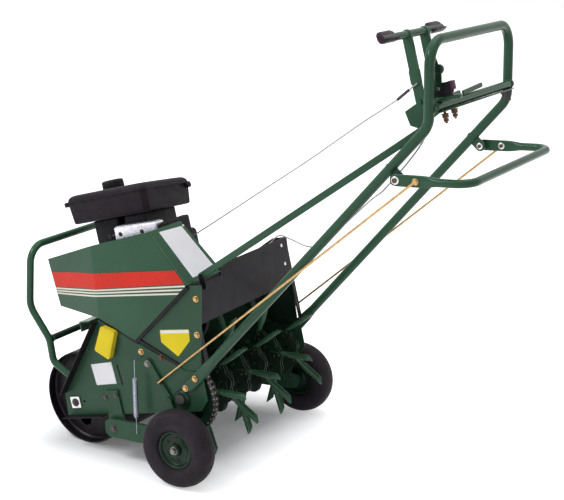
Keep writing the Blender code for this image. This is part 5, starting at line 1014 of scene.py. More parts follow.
def build_painted_shadow_strips(shape):
    """Black strips painted as shadow: under the shroud's lower edges on the plates, and along the upper
    plate's edge below the shroud's tip.
    """
    inner = [between(REAR_LOW, SHROUD_TIP, 0.02), SHROUD_TIP, between(SHROUD_TIP, CREASE_BOTTOM, 0.97)]
    outer = [(inner[0][0] + 0.005, inner[0][1] - 0.007), (SHROUD_TIP[0] + 0.0005, SHROUD_TIP[1] - 0.0098),
             (inner[2][0] - 0.0022, inner[2][1] - 0.004)]
    lifted = [(u - 0.002, w + 0.004) for u, w in inner]
    add_plate(shape, lifted + outer[::-1], UPPER_X, 0.2662)
    low, high = between(SHROUD_TIP, PLATE_TAIL, 0.06), between(SHROUD_TIP, PLATE_TAIL, 0.88)
    add_plate(
        shape, [low, high, (high[0] + 0.0045, high[1] + 0.0068), (low[0] + 0.0045, low[1] + 0.0068)],
        UPPER_X, 0.2645
    )


def build_panel_screws(shape):
    for w in (0.312, 0.256):
        add_turned(
            shape, (-0.224, 0.4885, w), ALONG, [(0.0, 0.0), (0.0052, 0.0), (0.0052, 0.0014), (0.0, 0.003)],
            16
        )


# Black strips of painted shadow under the shroud and along the upper plate's edge
piece("shroud_shadow_painted", "chassis", black_paint, build_painted_shadow_strips, slot="rubber_black")
piece("panel_screws", "chassis", plated_zinc, build_panel_screws)

# Lift bail, rods and toggles
BAIL_ANGLE = math.radians(-10.5)
BAIL_X = 0.2645
BAIL_RADIUS = 0.0105
LEVER_X = (0.2665, 0.2715)
LINK_X = (0.272, 0.277)
ARM_X = (0.2778, 0.2878)
ROD_LOW_X = 0.2885
ROD_RADIUS = 0.0031
BAIL_PIN = polar(BAIL_PIVOT, 0.054, BAIL_ANGLE)
LEVER_PIVOT = (0.299, 0.1035)
LEVER_END = (0.3451, -0.0051)
LEVER_PIN = (0.3326, 0.05)
ARM_PIVOT = (0.139, -0.0765)
ARM_LENGTH = 0.257
WHEEL_RADIUS = 0.1105
TRACK_HALF = 0.3275
TYRE_HALF = 0.033
RIM_HALF = TYRE_HALF * 0.62
ARM_ANGLE = math.asin((WHEEL_RADIUS - ROLLER_RADIUS - ARM_PIVOT[0] * math.sin(PITCH)
                       - ARM_PIVOT[1] * math.cos(PITCH)) / ARM_LENGTH) - PITCH
WHEEL_AXLE = polar(ARM_PIVOT, ARM_LENGTH, ARM_ANGLE)


def build_bail(shape):
    """A U of tube whose ends are pressed into flats at the pivots."""
    def place(along, x):
        return (x, *polar(BAIL_PIVOT, along, BAIL_ANGLE))

    stations = [-0.014, -0.01, 0.0, 0.03, 0.07, 0.086, 0.096, 0.106, 0.118]
    near = [place(along, BAIL_X) for along in stations]
    far = [place(along, -BAIL_X) for along in stations[::-1]]
    middle = rounded_path([near[-1], place(0.192, BAIL_X), place(0.192, -BAIL_X), far[0]], [0.045, 0.045], 16)
    points = near[:-1] + middle + far[1:]
    add_pressed_tube(shape, points, stations, BAIL_RADIUS, (0.004, 0.015), 0.112, 0.04, (0.5, 0.84), 24)


piece("bail", "lift_bail", green_paint, build_bail, ["lift_bail"], smooth=40.0)


def build_bail_bolts(shape):
    for sign in (1, -1):
        add_disc(shape, *outward(BAIL_X + 0.004, BAIL_PIVOT, sign), 0.0102, 0.002, 28, (0.0006, 0.0004))
        add_disc(shape, *inward(HANDLE_TOP_X - 0.002, BAIL_PIVOT, sign), 0.0088, 0.0022, 28, (0.0006, 0.0004))
        add_disc(shape, *inward(BAIL_X - 0.004, BAIL_PIN, sign), 0.0092, 0.002, 28, (0.0006, 0.0004))


def build_bail_bolt_heads(shape):
    for sign in (1, -1):
        add_bolt(shape, *outward(BAIL_X + 0.0054, BAIL_PIVOT, sign), 0.0068, 0.0046, 0.0)
        add_bolt(shape, *inward(HANDLE_TOP_X - 0.0036, BAIL_PIVOT, sign), 0.0052, 0.0034, 0.0)
        add_bolt(shape, *inward(BAIL_X - 0.0054, BAIL_PIN, sign), 0.0054, 0.003, 0.0)


piece("bail_bolts", "lift_bail", plated_zinc, build_bail_bolts)
piece("bail_bolt_heads", "lift_bail", brown_steel, build_bail_bolt_heads)


def build_rod(shape, sign):
    """The plated rod, turned in at both ends, with a collar at the bail."""
    near = between(BAIL_PIN, LEVER_PIN, 0.1)
    path = [((BAIL_X + 0.0085) * sign, *BAIL_PIN), (0.2765 * sign, *near), (ROD_LOW_X * sign, *LEVER_PIN),
            (0.2723 * sign, *LEVER_PIN)]
    add_tube(shape, rounded_path(path, [0.05, 0.0085], 8), ROD_RADIUS, 14)
    add_turned(shape, *outward(BAIL_X + 0.0043, BAIL_PIN, sign),
               [(0.0, 0.0), (0.0085, 0.0), (0.0085, 0.0018), (0.0066, 0.0024), (0.0066, 0.006),
                (0.0056, 0.007), (0.0, 0.007)], 20)


def build_lever(shape, sign):
    inner, outer = (x * sign for x in LEVER_X)
    add_plate(shape, rounded_bar(LEVER_PIVOT, LEVER_END, 0.0135), inner, outer, [(*LEVER_PIN, 0.0046)])
    add_disc(shape, *outward(ON_PLATE_X, LEVER_PIVOT, sign), 0.01, 0.003, 20)


def build_lever_bolts(shape, sign):
    add_bolt(shape, *outward(LEVER_X[1] - SEAT, LEVER_PIVOT, sign), 0.0075, 0.0042, 0.01)


def build_lever_pin(shape, sign):
    add_disc(shape, *outward(0.2705, LEVER_END, sign), 0.005, 0.0071, 18, (0.0007, 0.0007))
    add_disc(shape, *outward(0.2745, LEVER_PIN, sign), 0.0072, 0.008, 18)


def build_link(shape, sign):
    arm_pin = polar(ARM_PIVOT, 0.235, ARM_ANGLE)
    add_plate(
        shape, rounded_bar(LEVER_END, arm_pin, 0.011), LINK_X[0] * sign, LINK_X[1] * sign,
        [(*LEVER_END, 0.0053)]
    )


paired("rod", "lift_rod", plated_gold, build_rod, "lift_rod", smooth=42.0)
paired("lever", "toggle_lever", plate_paint, build_lever, "toggle_lever", bevel=0.0009)
paired("lever_bolts", "toggle_lever", worn_zinc, build_lever_bolts)
paired("lever_pin", "toggle_lever", dark_steel, build_lever_pin)
paired("link", "toggle_link", plate_paint, build_link, "toggle_link", bevel=0.0009)


# Wheel arms and wheels
def build_arm(shape, sign):
    """The flat arm with its welded axle boss."""
    along = Vector(polar(CENTRE, 1.0, ARM_ANGLE))
    across = Vector((-along.y, along.x))
    pivot = Vector(ARM_PIVOT)
    corners = [
        (-0.03, -0.016), (-0.016, -0.027), (0.06, -0.028), (0.237, -0.026), (0.271, -0.02), (0.279, 0.0),
        (0.271, 0.02), (0.237, 0.026), (0.06, 0.028), (-0.016, 0.027), (-0.03, 0.016)
    ]
    outline = [tuple(pivot + along * a + across * b) for a, b in corners]
    add_plate(shape, rounded_outline(outline, 0.01), ARM_X[0] * sign, ARM_X[1] * sign,
              [(*ARM_PIVOT, 0.0083)])
    add_turned(shape, *outward(0.28, WHEEL_AXLE, sign),
               [(0.0, 0.0), (0.015, 0.0), (0.015, 0.008), (0.013, 0.011), (0.013, 0.024), (0.0, 0.024)], 24)


def build_axle(shape, sign):
    add_disc(shape, *outward(0.3, WHEEL_AXLE, sign), 0.008, 0.0595, 22, (0.001, 0.0035))
    add_bolt(shape, *outward(0.3504, WHEEL_AXLE, sign), 0.009, 0.0072, 0.0118)


def build_tyre(shape, sign):
    """A solid rubber tyre with round shoulders and a bead over the rim."""
    half, outer = TYRE_HALF, WHEEL_RADIUS
    edge = [(0.0545, RIM_HALF), (0.059, half - 0.005), (0.062, half - 0.0034), (0.0645, half - 0.0034),
            (0.0665, half - 0.0018), (0.076, half), (0.088, half - 0.0006), (0.096, half - 0.0026),
            (0.101, half - 0.0058), (0.1048, half - 0.0104), (0.1078, half - 0.016)]
    tread = [(outer - 0.0012, 0.011), (outer, 0.005)]
    profile = mirrored(edge + tread)
    add_turned(shape, (TRACK_HALF * sign, *WHEEL_AXLE), ACROSS, profile, 96)


def build_rim(shape, sign):
    """Two pressed steel halves with a rolled edge, a dished web and a hub tube."""
    half = RIM_HALF
    face = [
        (0.009, 0.022), (0.0152, 0.022), (0.016, 0.0212), (0.016, 0.01), (0.0172, 0.0082), (0.0205, 0.007),
        (0.03, 0.0062), (0.036, 0.0078), (0.0395, 0.01), (0.0425, 0.0102), (0.045, 0.012),
        (0.0468, half - 0.004), (0.048, half - 0.001), (0.0502, half + 0.0002), (0.0528, half - 0.0002),
        (0.0538, half - 0.0016)
    ]
    profile = mirrored(face)
    add_turned(shape, (TRACK_HALF * sign, *WHEEL_AXLE), ACROSS, profile, 64)
    for place in around(WHEEL_AXLE, 0.0335, 6, 0.35):
        for face_sign in (1, -1):
            add_turned(shape, (TRACK_HALF * sign + 0.0062 * face_sign, *place), (face_sign, 0.0, 0.0),
                       [(0.0, 0.0), (0.004, 0.0), (0.004, 0.0016), (0.0026, 0.003), (0.0, 0.0034)], 12)


paired("arm", "wheel_arm", plate_paint, build_arm, "wheel_arm", bevel=0.001)
paired("axle", "wheel_arm", worn_zinc, build_axle, slot="bare_steel")
paired("solid_tyre", "wheel", tyre_rubber, build_tyre, "tyre", smooth=50.0)
paired("pressed_rim", "wheel", rim_paint, build_rim, "rim", smooth=40.0)


# Assist springs
SPRING_TOP = (0.277, 0.122)
SPRING_X = 0.2965
SPRING_CURLS = 38
SPRING_COIL = 0.1128
SPRING_RADIUS = 0.0062
SPRING_WIRE = 0.00115
SPRING_STEPS = 20


def make_spring(side, sign):
    """A close-wound spring with a straight hooked wire at each end."""
    top = Vector((SPRING_X * sign, *SPRING_TOP))
    bottom = Vector((SPRING_X * sign, *polar(ARM_PIVOT, 0.09, ARM_ANGLE)))
    axis = (bottom - top).normalized()
    across = Vector(ACROSS)
    third = axis.cross(across).normalized()
    length = (bottom - top).length
    lead = (length - SPRING_COIL) / 2
    steps = SPRING_CURLS * SPRING_STEPS
    route = [
        top - across * (SPRING_X - PLATE_X - 0.0003) * sign, top - across * 0.004 * sign, top + axis * 0.003,
        top + axis * (lead - 0.006)
    ]
    for step in range(steps + 1):
        angle = step * math.tau / SPRING_STEPS
        route.append(top + axis * (lead + step * SPRING_COIL / steps)
                     + (across * math.cos(angle) + third * math.sin(angle)) * SPRING_RADIUS)
    route += [bottom - axis * (lead - 0.006), bottom - axis * 0.003, bottom - across * 0.004 * sign,
              bottom - across * (SPRING_X - ARM_X[1] - 0.0003) * sign]
    spring = piece(f"spring_{side}", "chassis", spring_steel, lambda s: add_tube(s, route, SPRING_WIRE, 8),
                   [f"assist_spring_{side}"], smooth=60.0)
    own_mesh(spring)


for side_name, side_sign in SIDES:
    make_spring(side_name, side_sign)


# Roller and its axle
def build_roller(shape):
    """The drum: a rolled shell with turned-in ends, recessed end discs, round holes and a hub tube."""
    outer, shell, half = ROLLER_RADIUS, ROLLER_RADIUS - 0.005, ROLLER_HALF
    edge = [(shell, half - 0.001), (shell + 0.0012, half), (outer - 0.0016, half), (outer, half - 0.0018)]
    add_turned(shape, (0.0, 0.0, 0.0), ACROSS, mirrored(edge), 128)
    for sign in (1, -1):
        inner, face = (half - 0.035) * sign, (half - 0.03) * sign
        holes = [(*place, 0.02) for place in around(CENTRE, 0.085, 3)] + [(*CENTRE, 0.0275)]
        add_plate(shape, around(CENTRE, shell + 0.0006, 96), inner, face, holes, 40)
        add_turned(shape, *outward(half - 0.03, CENTRE, sign),
                   [(0.0278, -0.002), (0.034, -0.0002), (0.03, 0.004), (0.028, 0.0052)], 40)
        add_turned(shape, *outward(half - 0.03, CENTRE, sign),
                   [(shell - 0.0045, -0.0002), (shell + 0.0002, -0.0002), (shell + 0.0002, 0.0046),
                    (shell - 0.0022, 0.0022)], 96)
    hub = half - 0.008
    add_turned(
        shape, (0.0, 0.0, 0.0), ACROSS, mirrored([(0.0105, hub), (0.0265, hub), (0.028, hub - 0.0015)]), 40
    )


def build_roller_axle(shape):
    for sign in (1, -1):
        add_disc(shape, *outward(0.0, CENTRE, sign), 0.0095, 0.27, 24)
        add_ring(shape, *outward(0.2195, CENTRE, sign), 0.0095, 0.016, 0.0405, 28)


def build_axle_plates(shape):
    corners = [(-0.017, -0.017), (0.017, -0.017), (0.017, 0.017), (-0.017, 0.017)]
    for sign in (1, -1):
        add_plate(shape, rounded_outline(corners, 0.002, 3), *(x * sign for x in AXLE_PLATE_X))


def build_axle_ends(shape):
    for sign in (1, -1):
        add_nut(shape, *outward(AXLE_PLATE_X[1] - SEAT, CENTRE, sign), 0.0092, 0.003, 0.005)


piece("drum", "roller", roller_paint, build_roller, ["front_roller"], smooth=40.0)
piece("drum_axle", "chassis", bare_steel, build_roller_axle, ["roller_axle"], slot="zinc_steel")
piece("axle_plates", "chassis", plated_zinc, build_axle_plates, bevel=0.0006)
piece("axle_ends", "chassis", oily_steel, build_axle_ends)

# Tine reel
TINE_WHEELS = 6
WHEEL_PITCH = 0.09
TINES = 5
HUB_RADIUS = 0.086
TINE_HALF = 0.012
TINE_WALL = 0.003
TINE_LEAN = math.radians(14.0)
TINE_PHASES = (math.radians(-31.3), math.radians(-69.5))
REEL = LEVEL @ Matrix.Translation((0.0, *TINE_SHAFT))


def add_spoon(shape, matrix):
    """One spoon: a tapered shank that opens into a half-round trough with a slanted, sharpened mouth."""
    arc = 12
    reaches = [0.046, 0.07, 0.084, 0.094, 0.106, 0.122, 0.14, 0.158, 0.172, 0.18, 0.184, 0.187]
    rings = []
    for reach in reaches:
        grown = min(1.0, max(0.0, (reach - 0.06) / 0.07))
        radius = TINE_HALF * (0.62 + 0.38 * smooth_share(grown))
        tip = max(0.0, (reach - 0.172) / 0.015)
        wall = TINE_WALL * (1.0 - 0.62 * tip)
        deep = 1.0 + 0.12 * grown
        outer, inner = [], []
        for step in range(arc + 1):
            angle = math.pi * step / arc
            across, depth = math.cos(angle), math.sin(angle)
            cut = 0.018 * (1.0 - depth) * max(0.0, (reach - 0.15) / 0.037) ** 1.3
            hollow = min(1.0, max(0.0, (reach - 0.074) / 0.022))
            inner_radius = radius - wall
            outer.append((radius * across, radius * deep * depth, reach - cut))
            inner.append((inner_radius * across, (inner_radius * deep * depth) * hollow, reach - cut))
        rings.append(outer + inner[::-1])
    skin(shape, [[matrix @ Vector(place) for place in ring] for ring in rings])


def tine_matrix(x, base):
    turn = Matrix.Rotation(base - math.pi / 2, 4, "X")
    about = Matrix.Translation((0.0, 0.0, HUB_RADIUS))
    lean = Matrix.Rotation(-TINE_LEAN, 4, "X")
    back = Matrix.Translation((0.0, -TINE_HALF * 0.5, -HUB_RADIUS))
    return Matrix.Translation((x, 0.0, 0.0)) @ turn @ about @ lean @ back


def wheel_place(index):
    """The x and the turn of one tine wheel."""
    return (index - (TINE_WHEELS - 1) / 2) * WHEEL_PITCH, TINE_PHASES[index % 2]


def build_tine_discs(shape, index):
    """The two scalloped discs and the hub of one tine wheel."""
    x, phase = wheel_place(index)
    outline = []
    for step in range(160):
        angle = phase + step * math.tau / 160
        swell = 0.5 + 0.5 * math.cos(TINES * 2 * (angle - phase))
        outline.append(polar(CENTRE, HUB_RADIUS - 0.009 + 0.0085 * swell ** 0.8, angle))
    slots = [(*polar(CENTRE, 0.047, phase + (number + 0.5) * math.tau / TINES), 0.006)
             for number in range(TINES)]
    for sign in (1, -1):
        add_plate(shape, outline, x + 0.0036 * sign, x + 0.007 * sign, [(0.0, 0.0, 0.0215)] + slots, 20)
        add_turned(shape, (x, 0.0, 0.0), (sign, 0.0, 0.0),
                   [(0.0146, 0.0), (0.0255, 0.0), (0.03, 0.006), (0.0282, 0.0078), (0.0262, 0.009),
                    (0.0255, 0.0145), (0.0245, 0.015), (0.0146, 0.015)], 32)


def build_spoons(shape, index):
    """The five spoons held between the discs."""
    x, phase = wheel_place(index)
    for number in range(TINES):
        add_spoon(shape, tine_matrix(x, phase + number * math.tau / TINES))


def build_tine_bolts(shape, index):
    """The bolts that clamp each spoon between its discs, two to a spoon."""
    x, phase = wheel_place(index)
    for number in range(TINES):
        for reach in (0.058, 0.075):
            place = polar(CENTRE, reach, phase + number * math.tau / TINES)
            add_bolt(shape, (x + 0.0069, *place), ACROSS, 0.005, 0.003, 0.0)
            add_nut(shape, (x - 0.0069, *place), RIGHTWARD, 0.005, 0.0032, 0.0026)


WHEEL_LOOKS = {"bevel": 0.0005, "segments": 1, "smooth": 38.0, "matrix": REEL}
for wheel_number in range(TINE_WHEELS):
    piece(
        f"tine_discs_{wheel_number + 1}", "tine_reel", soil_and_shade_paint,
        lambda s: build_tine_discs(s, wheel_number), [f"tine_wheel_{wheel_number + 1}"], **WHEEL_LOOKS
    )
    piece(f"spoons_{wheel_number + 1}", "tine_reel", spoon_paint, lambda s: build_spoons(s, wheel_number),
          **WHEEL_LOOKS)
    piece(
        f"tine_bolts_{wheel_number + 1}", "tine_reel", oily_steel,
        lambda s: build_tine_bolts(s, wheel_number), slot="bare_steel", matrix=REEL
    )

# Chain drive
CHAIN_X = 0.2475
SPROCKET_FACES = (CHAIN_X - 0.0026, CHAIN_X + 0.0026)
CHAIN_PITCH = 0.015875
TINE_TEETH = 39
JACK_TEETH = 12


def pitch_radius(teeth):
    return CHAIN_PITCH / (2 * math.sin(math.pi / teeth))


def tooth_outline(teeth):
    """Sprocket teeth: a round seat under each roller with a pointed flank between them."""
    radius = pitch_radius(teeth)
    flank = [(0.42, -0.0062), (0.3, -0.0048), (0.2, -0.002), (0.1, 0.0012), (0.04, 0.0026)]
    profile = [(-share, lift) for share, lift in flank] + flank[::-1]
    return [
        polar(CENTRE, radius + lift, tooth * math.tau / teeth + share * math.tau / teeth)
        for tooth in range(teeth) for share, lift in profile
    ]


def build_tine_sprocket(shape):
    holes = [(*CENTRE, 0.0143)] + [(*place, 0.0145) for place in around(CENTRE, 0.058, 5, 0.3)]
    add_plate(shape, tooth_outline(TINE_TEETH), *SPROCKET_FACES, holes, 28)
    add_turned(
        shape, (CHAIN_X, 0.0, 0.0), ACROSS,
        [(0.0143, 0.004), (0.028, 0.004), (0.029, 0.003), (0.029, -0.0085), (0.027, -0.01), (0.0143, -0.01)],
        36
    )
    for place in around(CENTRE, 0.0225, 4, 0.4):
        add_bolt(shape, (CHAIN_X + 0.0038, *place), ACROSS, 0.0042, 0.002, 0.0)


piece(
    "big_sprocket", "tine_reel", dark_paint, build_tine_sprocket, ["tine_sprocket"], bevel=0.0003,
    segments=1, matrix=REEL
)


def build_jackshaft(shape):
    """The jackshaft turned in steps, with its twelve-tooth sprocket."""
    add_turned(shape, (0.0, *JACKSHAFT), ACROSS,
               [(0.0, 0.1195), (0.0085, 0.1195), (0.0095, 0.1205), (0.0095, 0.2558), (0.0085, 0.2568),
                (0.0, 0.2568)], 32)
    outline = [(u + JACKSHAFT[0], w + JACKSHAFT[1]) for u, w in tooth_outline(JACK_TEETH)]
    add_plate(shape, outline, *SPROCKET_FACES)
    add_turned(
        shape, (CHAIN_X, *JACKSHAFT), ACROSS,
        [(0.0096, -0.0025), (0.019, -0.0025), (0.019, -0.013), (0.0178, -0.0142), (0.0096, -0.0142)], 28
    )


piece("jack_shaft", "jackshaft", oily_steel, build_jackshaft, ["jackshaft"], bevel=0.0002, segments=1,
      slot="bare_steel")


def wrap_angles(low, high, big, small):
    """The heading from the big wheel to the small one, and how far to each side of it a chain leaves them."""
    heading = math.atan2(high.y - low.y, high.x - low.x)
    return heading, math.acos((big - small) / (high - low).length)


def chain_pins():
    """The centre of each chain roller, laid around the two sprockets a pitch apart."""
    big, small = pitch_radius(TINE_TEETH), pitch_radius(JACK_TEETH)
    low, high = Vector(TINE_SHAFT), Vector(JACKSHAFT)
    heading, spread = wrap_angles(low, high, big, small)
    span = (high - low).length
    run = math.sqrt(span * span - (big - small) ** 2)
    arcs = [(low, big, heading + spread, big * (math.tau - 2 * spread)),
            (high, small, heading - spread, small * 2 * spread)]
    total = arcs[0][3] + arcs[1][3] + 2 * run
    count = round(total / CHAIN_PITCH)
    pins = []
    for step in range(count):
        distance = step * total / count
        if distance < arcs[0][3]:
            pins.append(polar(low, big, arcs[0][2] + distance / big))
        elif distance < arcs[0][3] + run:
            share = (distance - arcs[0][3]) / run
            pins.append(
                between(polar(low, big, heading - spread), polar(high, small, heading - spread), share)
            )
        elif distance < arcs[0][3] + run + arcs[1][3]:
            pins.append(polar(high, small, arcs[1][2] + (distance - arcs[0][3] - run) / small))
        else:
            share = (distance - arcs[0][3] - run - arcs[1][3]) / run
            pins.append(
                between(polar(high, small, heading + spread), polar(low, big, heading + spread), share)
            )
    return pins


def waisted_link(start, end, half, waist, steps=8):
    """The outline of a chain side plate: two round ends and a narrower middle."""
    angle = math.atan2(end[1] - start[1], end[0] - start[0])
    outline = []
    for centre, other, first in ((end, start, angle - math.pi / 2), (start, end, angle + math.pi / 2)):
        for step in range(steps + 1):
            outline.append(polar(centre, half, first + math.pi * step / steps))
        middle = between(centre, other, 0.5)
        outline.append(polar(middle, waist, first + math.pi))
    return outline


def build_chain_plates(shape):
    pins = chain_pins()
    for index, pin in enumerate(pins):
        after = pins[(index + 1) % len(pins)]
        inner, outer = ((0.0034, 0.0049), (0.005, 0.0065))[index % 2]
        for sign in (1, -1):
            add_plate(
                shape, waisted_link(pin, after, 0.0066, 0.0046), CHAIN_X + inner * sign,
                CHAIN_X + outer * sign
            )


def build_chain_rollers(shape):
    for pin in chain_pins():
        for half, steps in (([(0.0, 0.0033), (0.0049, 0.0033)], 14),
                            ([(0.0, 0.0072), (0.0018, 0.0072), (0.0024, 0.0067)], 10)):
            add_turned(shape, (CHAIN_X, *pin), ACROSS, mirrored(half), steps)


piece("chain_plates", "chassis", oily_steel, build_chain_plates, ["drive_chain"], slot="bare_steel")
piece("chain_rollers", "chassis", bare_steel, build_chain_rollers)

# Belt drive
DRIVE_X = 0.18
CRANK = (0.165, 0.331)
IDLER_PIVOT = (0.262, 0.367)
IDLER_PLACE = polar(IDLER_PIVOT, 0.06, math.radians(-8.0))
BELT_ROOT = 0.0064
BIG_RADIUS = 0.076
SMALL_RADIUS = 0.036


def add_pulley(shape, centre, radius, bore):
    root, half = radius - BELT_ROOT, 0.0085
    face = [
        (bore, half), (bore + 0.008, half), (bore + 0.009, half - 0.001), (bore + 0.009, 0.003),
        (root - 0.012, 0.0024), (root - 0.006, half - 0.0012), (radius, half),
        (radius + 0.0014, half - 0.0004), (radius + 0.0012, half - 0.0014), (root, half * 0.46)
    ]
    add_turned(shape, (DRIVE_X, *centre), ACROSS, mirrored(face), 56)


def build_driven_pulley(shape):
    add_pulley(shape, JACKSHAFT, BIG_RADIUS, 0.0097)
    add_turned(shape, (DRIVE_X, *JACKSHAFT), ACROSS,
               mirrored([(0.0097, 0.013), (0.0165, 0.013), (0.0175, 0.012)]), 28)
    for place in around(JACKSHAFT, 0.04, 4, 0.2):
        add_turned(shape, (DRIVE_X, *place), ACROSS, mirrored([(0.009, 0.003), (0.011, 0.0038)]), 20)


def build_crank_pulley(shape):
    add_pulley(shape, CRANK, SMALL_RADIUS, 0.011)
    add_turned(shape, (0.0, *CRANK), ACROSS,
               [(0.0, 0.082), (0.0108, 0.082), (0.0108, DRIVE_X + 0.0078), (0.0, DRIVE_X + 0.0078)], 28)
    add_bolt(shape, (DRIVE_X + 0.0062, *CRANK), ACROSS, 0.0065, 0.0016, 0.0)


def build_belt(shape):
    """The V-belt around its two pulleys."""
    small, large = (radius - BELT_ROOT + 0.0003 for radius in (SMALL_RADIUS, BIG_RADIUS))
    low, high = Vector(JACKSHAFT), Vector(CRANK)
    heading, spread = wrap_angles(low, high, large, small)
    sections = []
    for centre, radius, first, turn, steps in (
        (low, large, heading + spread, math.tau - 2 * spread, 72),
        (high, small, heading - spread, 2 * spread, 36)
    ):
        for step in range(steps + 1):
            angle = first + turn * step / steps
            sections.append([
                (DRIVE_X + side, *polar(centre, radius + lift, angle))
                for side, lift in ((-0.0033, 0.0004), (0.0033, 0.0004), (0.005, 0.0066), (0.005, 0.0076),
                                   (-0.005, 0.0076), (-0.005, 0.0066))
            ])
    skin(shape, sections, closed=True)


def build_idler_arm(shape):
    inner = DRIVE_X - 0.0085 - 0.0075
    add_plate(shape, rounded_bar(IDLER_PIVOT, IDLER_PLACE, 0.011), inner, inner + 0.005)
    add_turned(shape, (0.0, *IDLER_PLACE), ACROSS,
               [(0.0, inner + 0.004), (0.005, inner + 0.004), (0.005, DRIVE_X + 0.011),
                (0.0042, DRIVE_X + 0.0118), (0.0, DRIVE_X + 0.0118)], 20)
    add_turned(shape, (0.0, *IDLER_PIVOT), ACROSS,
               [(0.0, 0.1103), (0.008, 0.1103), (0.008, inner + 0.001), (0.0, inner + 0.001)], 24)
    add_bolt(shape, (inner + 0.0048, *IDLER_PIVOT), ACROSS, 0.0075, 0.005, 0.0)


def build_idler(shape):
    half = 0.0068
    face = [(0.0053, half), (0.011, half), (0.0116, half - 0.0016), (0.0215, half - 0.0016), (0.0224, half),
            (0.0258, half), (0.0262, half - 0.0008), (0.024, half - 0.0014)]
    add_turned(shape, (DRIVE_X, *IDLER_PLACE), ACROSS, mirrored(face), 44)


piece(
    "big_pulley", "jackshaft", black_paint, build_driven_pulley, ["driven_pulley"], bevel=0.0003, segments=1
)
piece("small_pulley", "crank", bare_steel, build_crank_pulley, ["crank_pulley"], bevel=0.0003, segments=1)
piece("v_belt", "chassis", belt_rubber, build_belt, ["drive_belt"])
piece("idler_bar", "idler_arm", dark_paint, build_idler_arm, ["idler_arm"], bevel=0.0006)
piece("idler_wheel", "idler_pulley", bare_steel, build_idler, ["idler_pulley"])

# Engine
ENGINE_X = 0.1
DECK_TOP = 0.236
TANK_X = (-0.108, 0.122)
TANK_U = (-0.004, 0.297)
TANK_SEAM = 0.5492
TANK_TILT = (-0.006, 0.016)
TANK_NOD = 0.01
FILLER = (0.022, 0.11)
NECK_BASE = 0.562
CAP_BASE = 0.58
TANK_LUGS = ((0.108, -0.0125, 0.004, 0.559), (-0.082, 0.292, 0.31, 0.547))


def build_crankcase(shape):
    """The crankcase halves with their parting flange, feet, ribs, bearing cover and tank mount."""
    base = DECK_TOP + 0.0004
    add_block(shape, (-ENGINE_X, 0.088, base), (ENGINE_X - 0.006, 0.292, 0.42), 0.014, 4)
    add_block(shape, (ENGINE_X - 0.012, 0.086, base), (ENGINE_X - 0.004, 0.294, 0.4205), 0.003, 2)
    for x in (-ENGINE_X - 0.011, ENGINE_X - 0.026):
        for u in (0.082, 0.262):
            add_block(shape, (x, u, base), (x + 0.037, u + 0.04, base + 0.012), 0.004, 2)
    for u in (0.112, 0.15, 0.188, 0.226, 0.264):
        add_block(shape, (-ENGINE_X - 0.002, u, base + 0.014), (-ENGINE_X + 0.02, u + 0.006, 0.4), 0.0018, 1)
    add_turned(shape, (ENGINE_X - 0.006, *CRANK), ACROSS,
               [(0.0125, 0.0155), (0.023, 0.0155), (0.024, 0.0145), (0.025, 0.01), (0.048, 0.0085),
                (0.05, 0.0075), (0.056, 0.0075), (0.058, 0.006), (0.058, 0.0), (0.0125, 0.0)], 64)
    for low, high in zip(around(CRANK, 0.026, 6, 0.3), around(CRANK, 0.047, 6, 0.3)):
        add_plate(shape, rounded_bar(low, high, 0.0022, 4), ENGINE_X + 0.0015, ENGINE_X + 0.007)
    add_turned(shape, (ENGINE_X - 0.006, *IDLER_PIVOT), ACROSS,
               [(0.0, 0.016), (0.013, 0.016), (0.014, 0.015), (0.0145, 0.0), (0.0, 0.0)], 32)
    for x0, x1, u0, u1 in ((-0.069, 0.089, 0.061, 0.152), (-0.066, 0.084, 0.174, 0.252)):
        before = set(shape.verts)
        add_block(shape, (x0, u0, 0.404), (x1, u1, 0.4817), 0.005, 3)
        for vert in set(shape.verts) - before:
            if vert.co.z > 0.45:
                vert.co.z += TANK_TILT[1] * ((vert.co.x - 0.007) / 0.2162 + 0.5) + tank_nod(vert.co.y)


def build_cylinder(shape):
    """The barrel and the head, finned across, with a spark plug boss."""
    add_block(shape, (-0.056, 0.03, 0.276), (0.056, 0.098, 0.396), 0.012, 3)
    count = 9
    for index in range(count):
        u = 0.0225 + index * 0.0074
        grow = 0.0 if index > 2 else -0.004 * (3 - index) / 3
        add_block(
            shape, (-0.076 - grow, u, 0.262 - grow), (0.076 + grow, u + 0.0026, 0.412 + grow), 0.0009, 1
        )
    for index in range(7):
        x = -0.048 + index * 0.016
        add_block(shape, (x - 0.0014, 0.0222, 0.29), (x + 0.0014, 0.034, 0.388), 0.0008, 1)
    add_disc(shape, (0.02, 0.034, 0.337), (0.0, -1.0, 0.0), 0.011, 0.008, 24, (0.0025, 0.002))


def build_engine_bolts(shape):
    for place in around(CRANK, 0.053, 6, -0.2):
        add_bolt(shape, (ENGINE_X + 0.001, *place), ACROSS, 0.005, 0.0036, 0.007)
    for u, w in ((0.104, 0.254), (0.104, 0.405), (0.276, 0.254), (0.276, 0.405)):
        add_bolt(shape, (ENGINE_X - 0.0045, u, w), ACROSS, 0.005, 0.0036, 0.007)
    for x in (-ENGINE_X - 0.004, ENGINE_X + 0.004):
        for u in (0.094, 0.286):
            add_bolt(shape, (x, u, DECK_TOP + 0.0118), UPWARD, 0.0062, 0.0048, 0.0095)


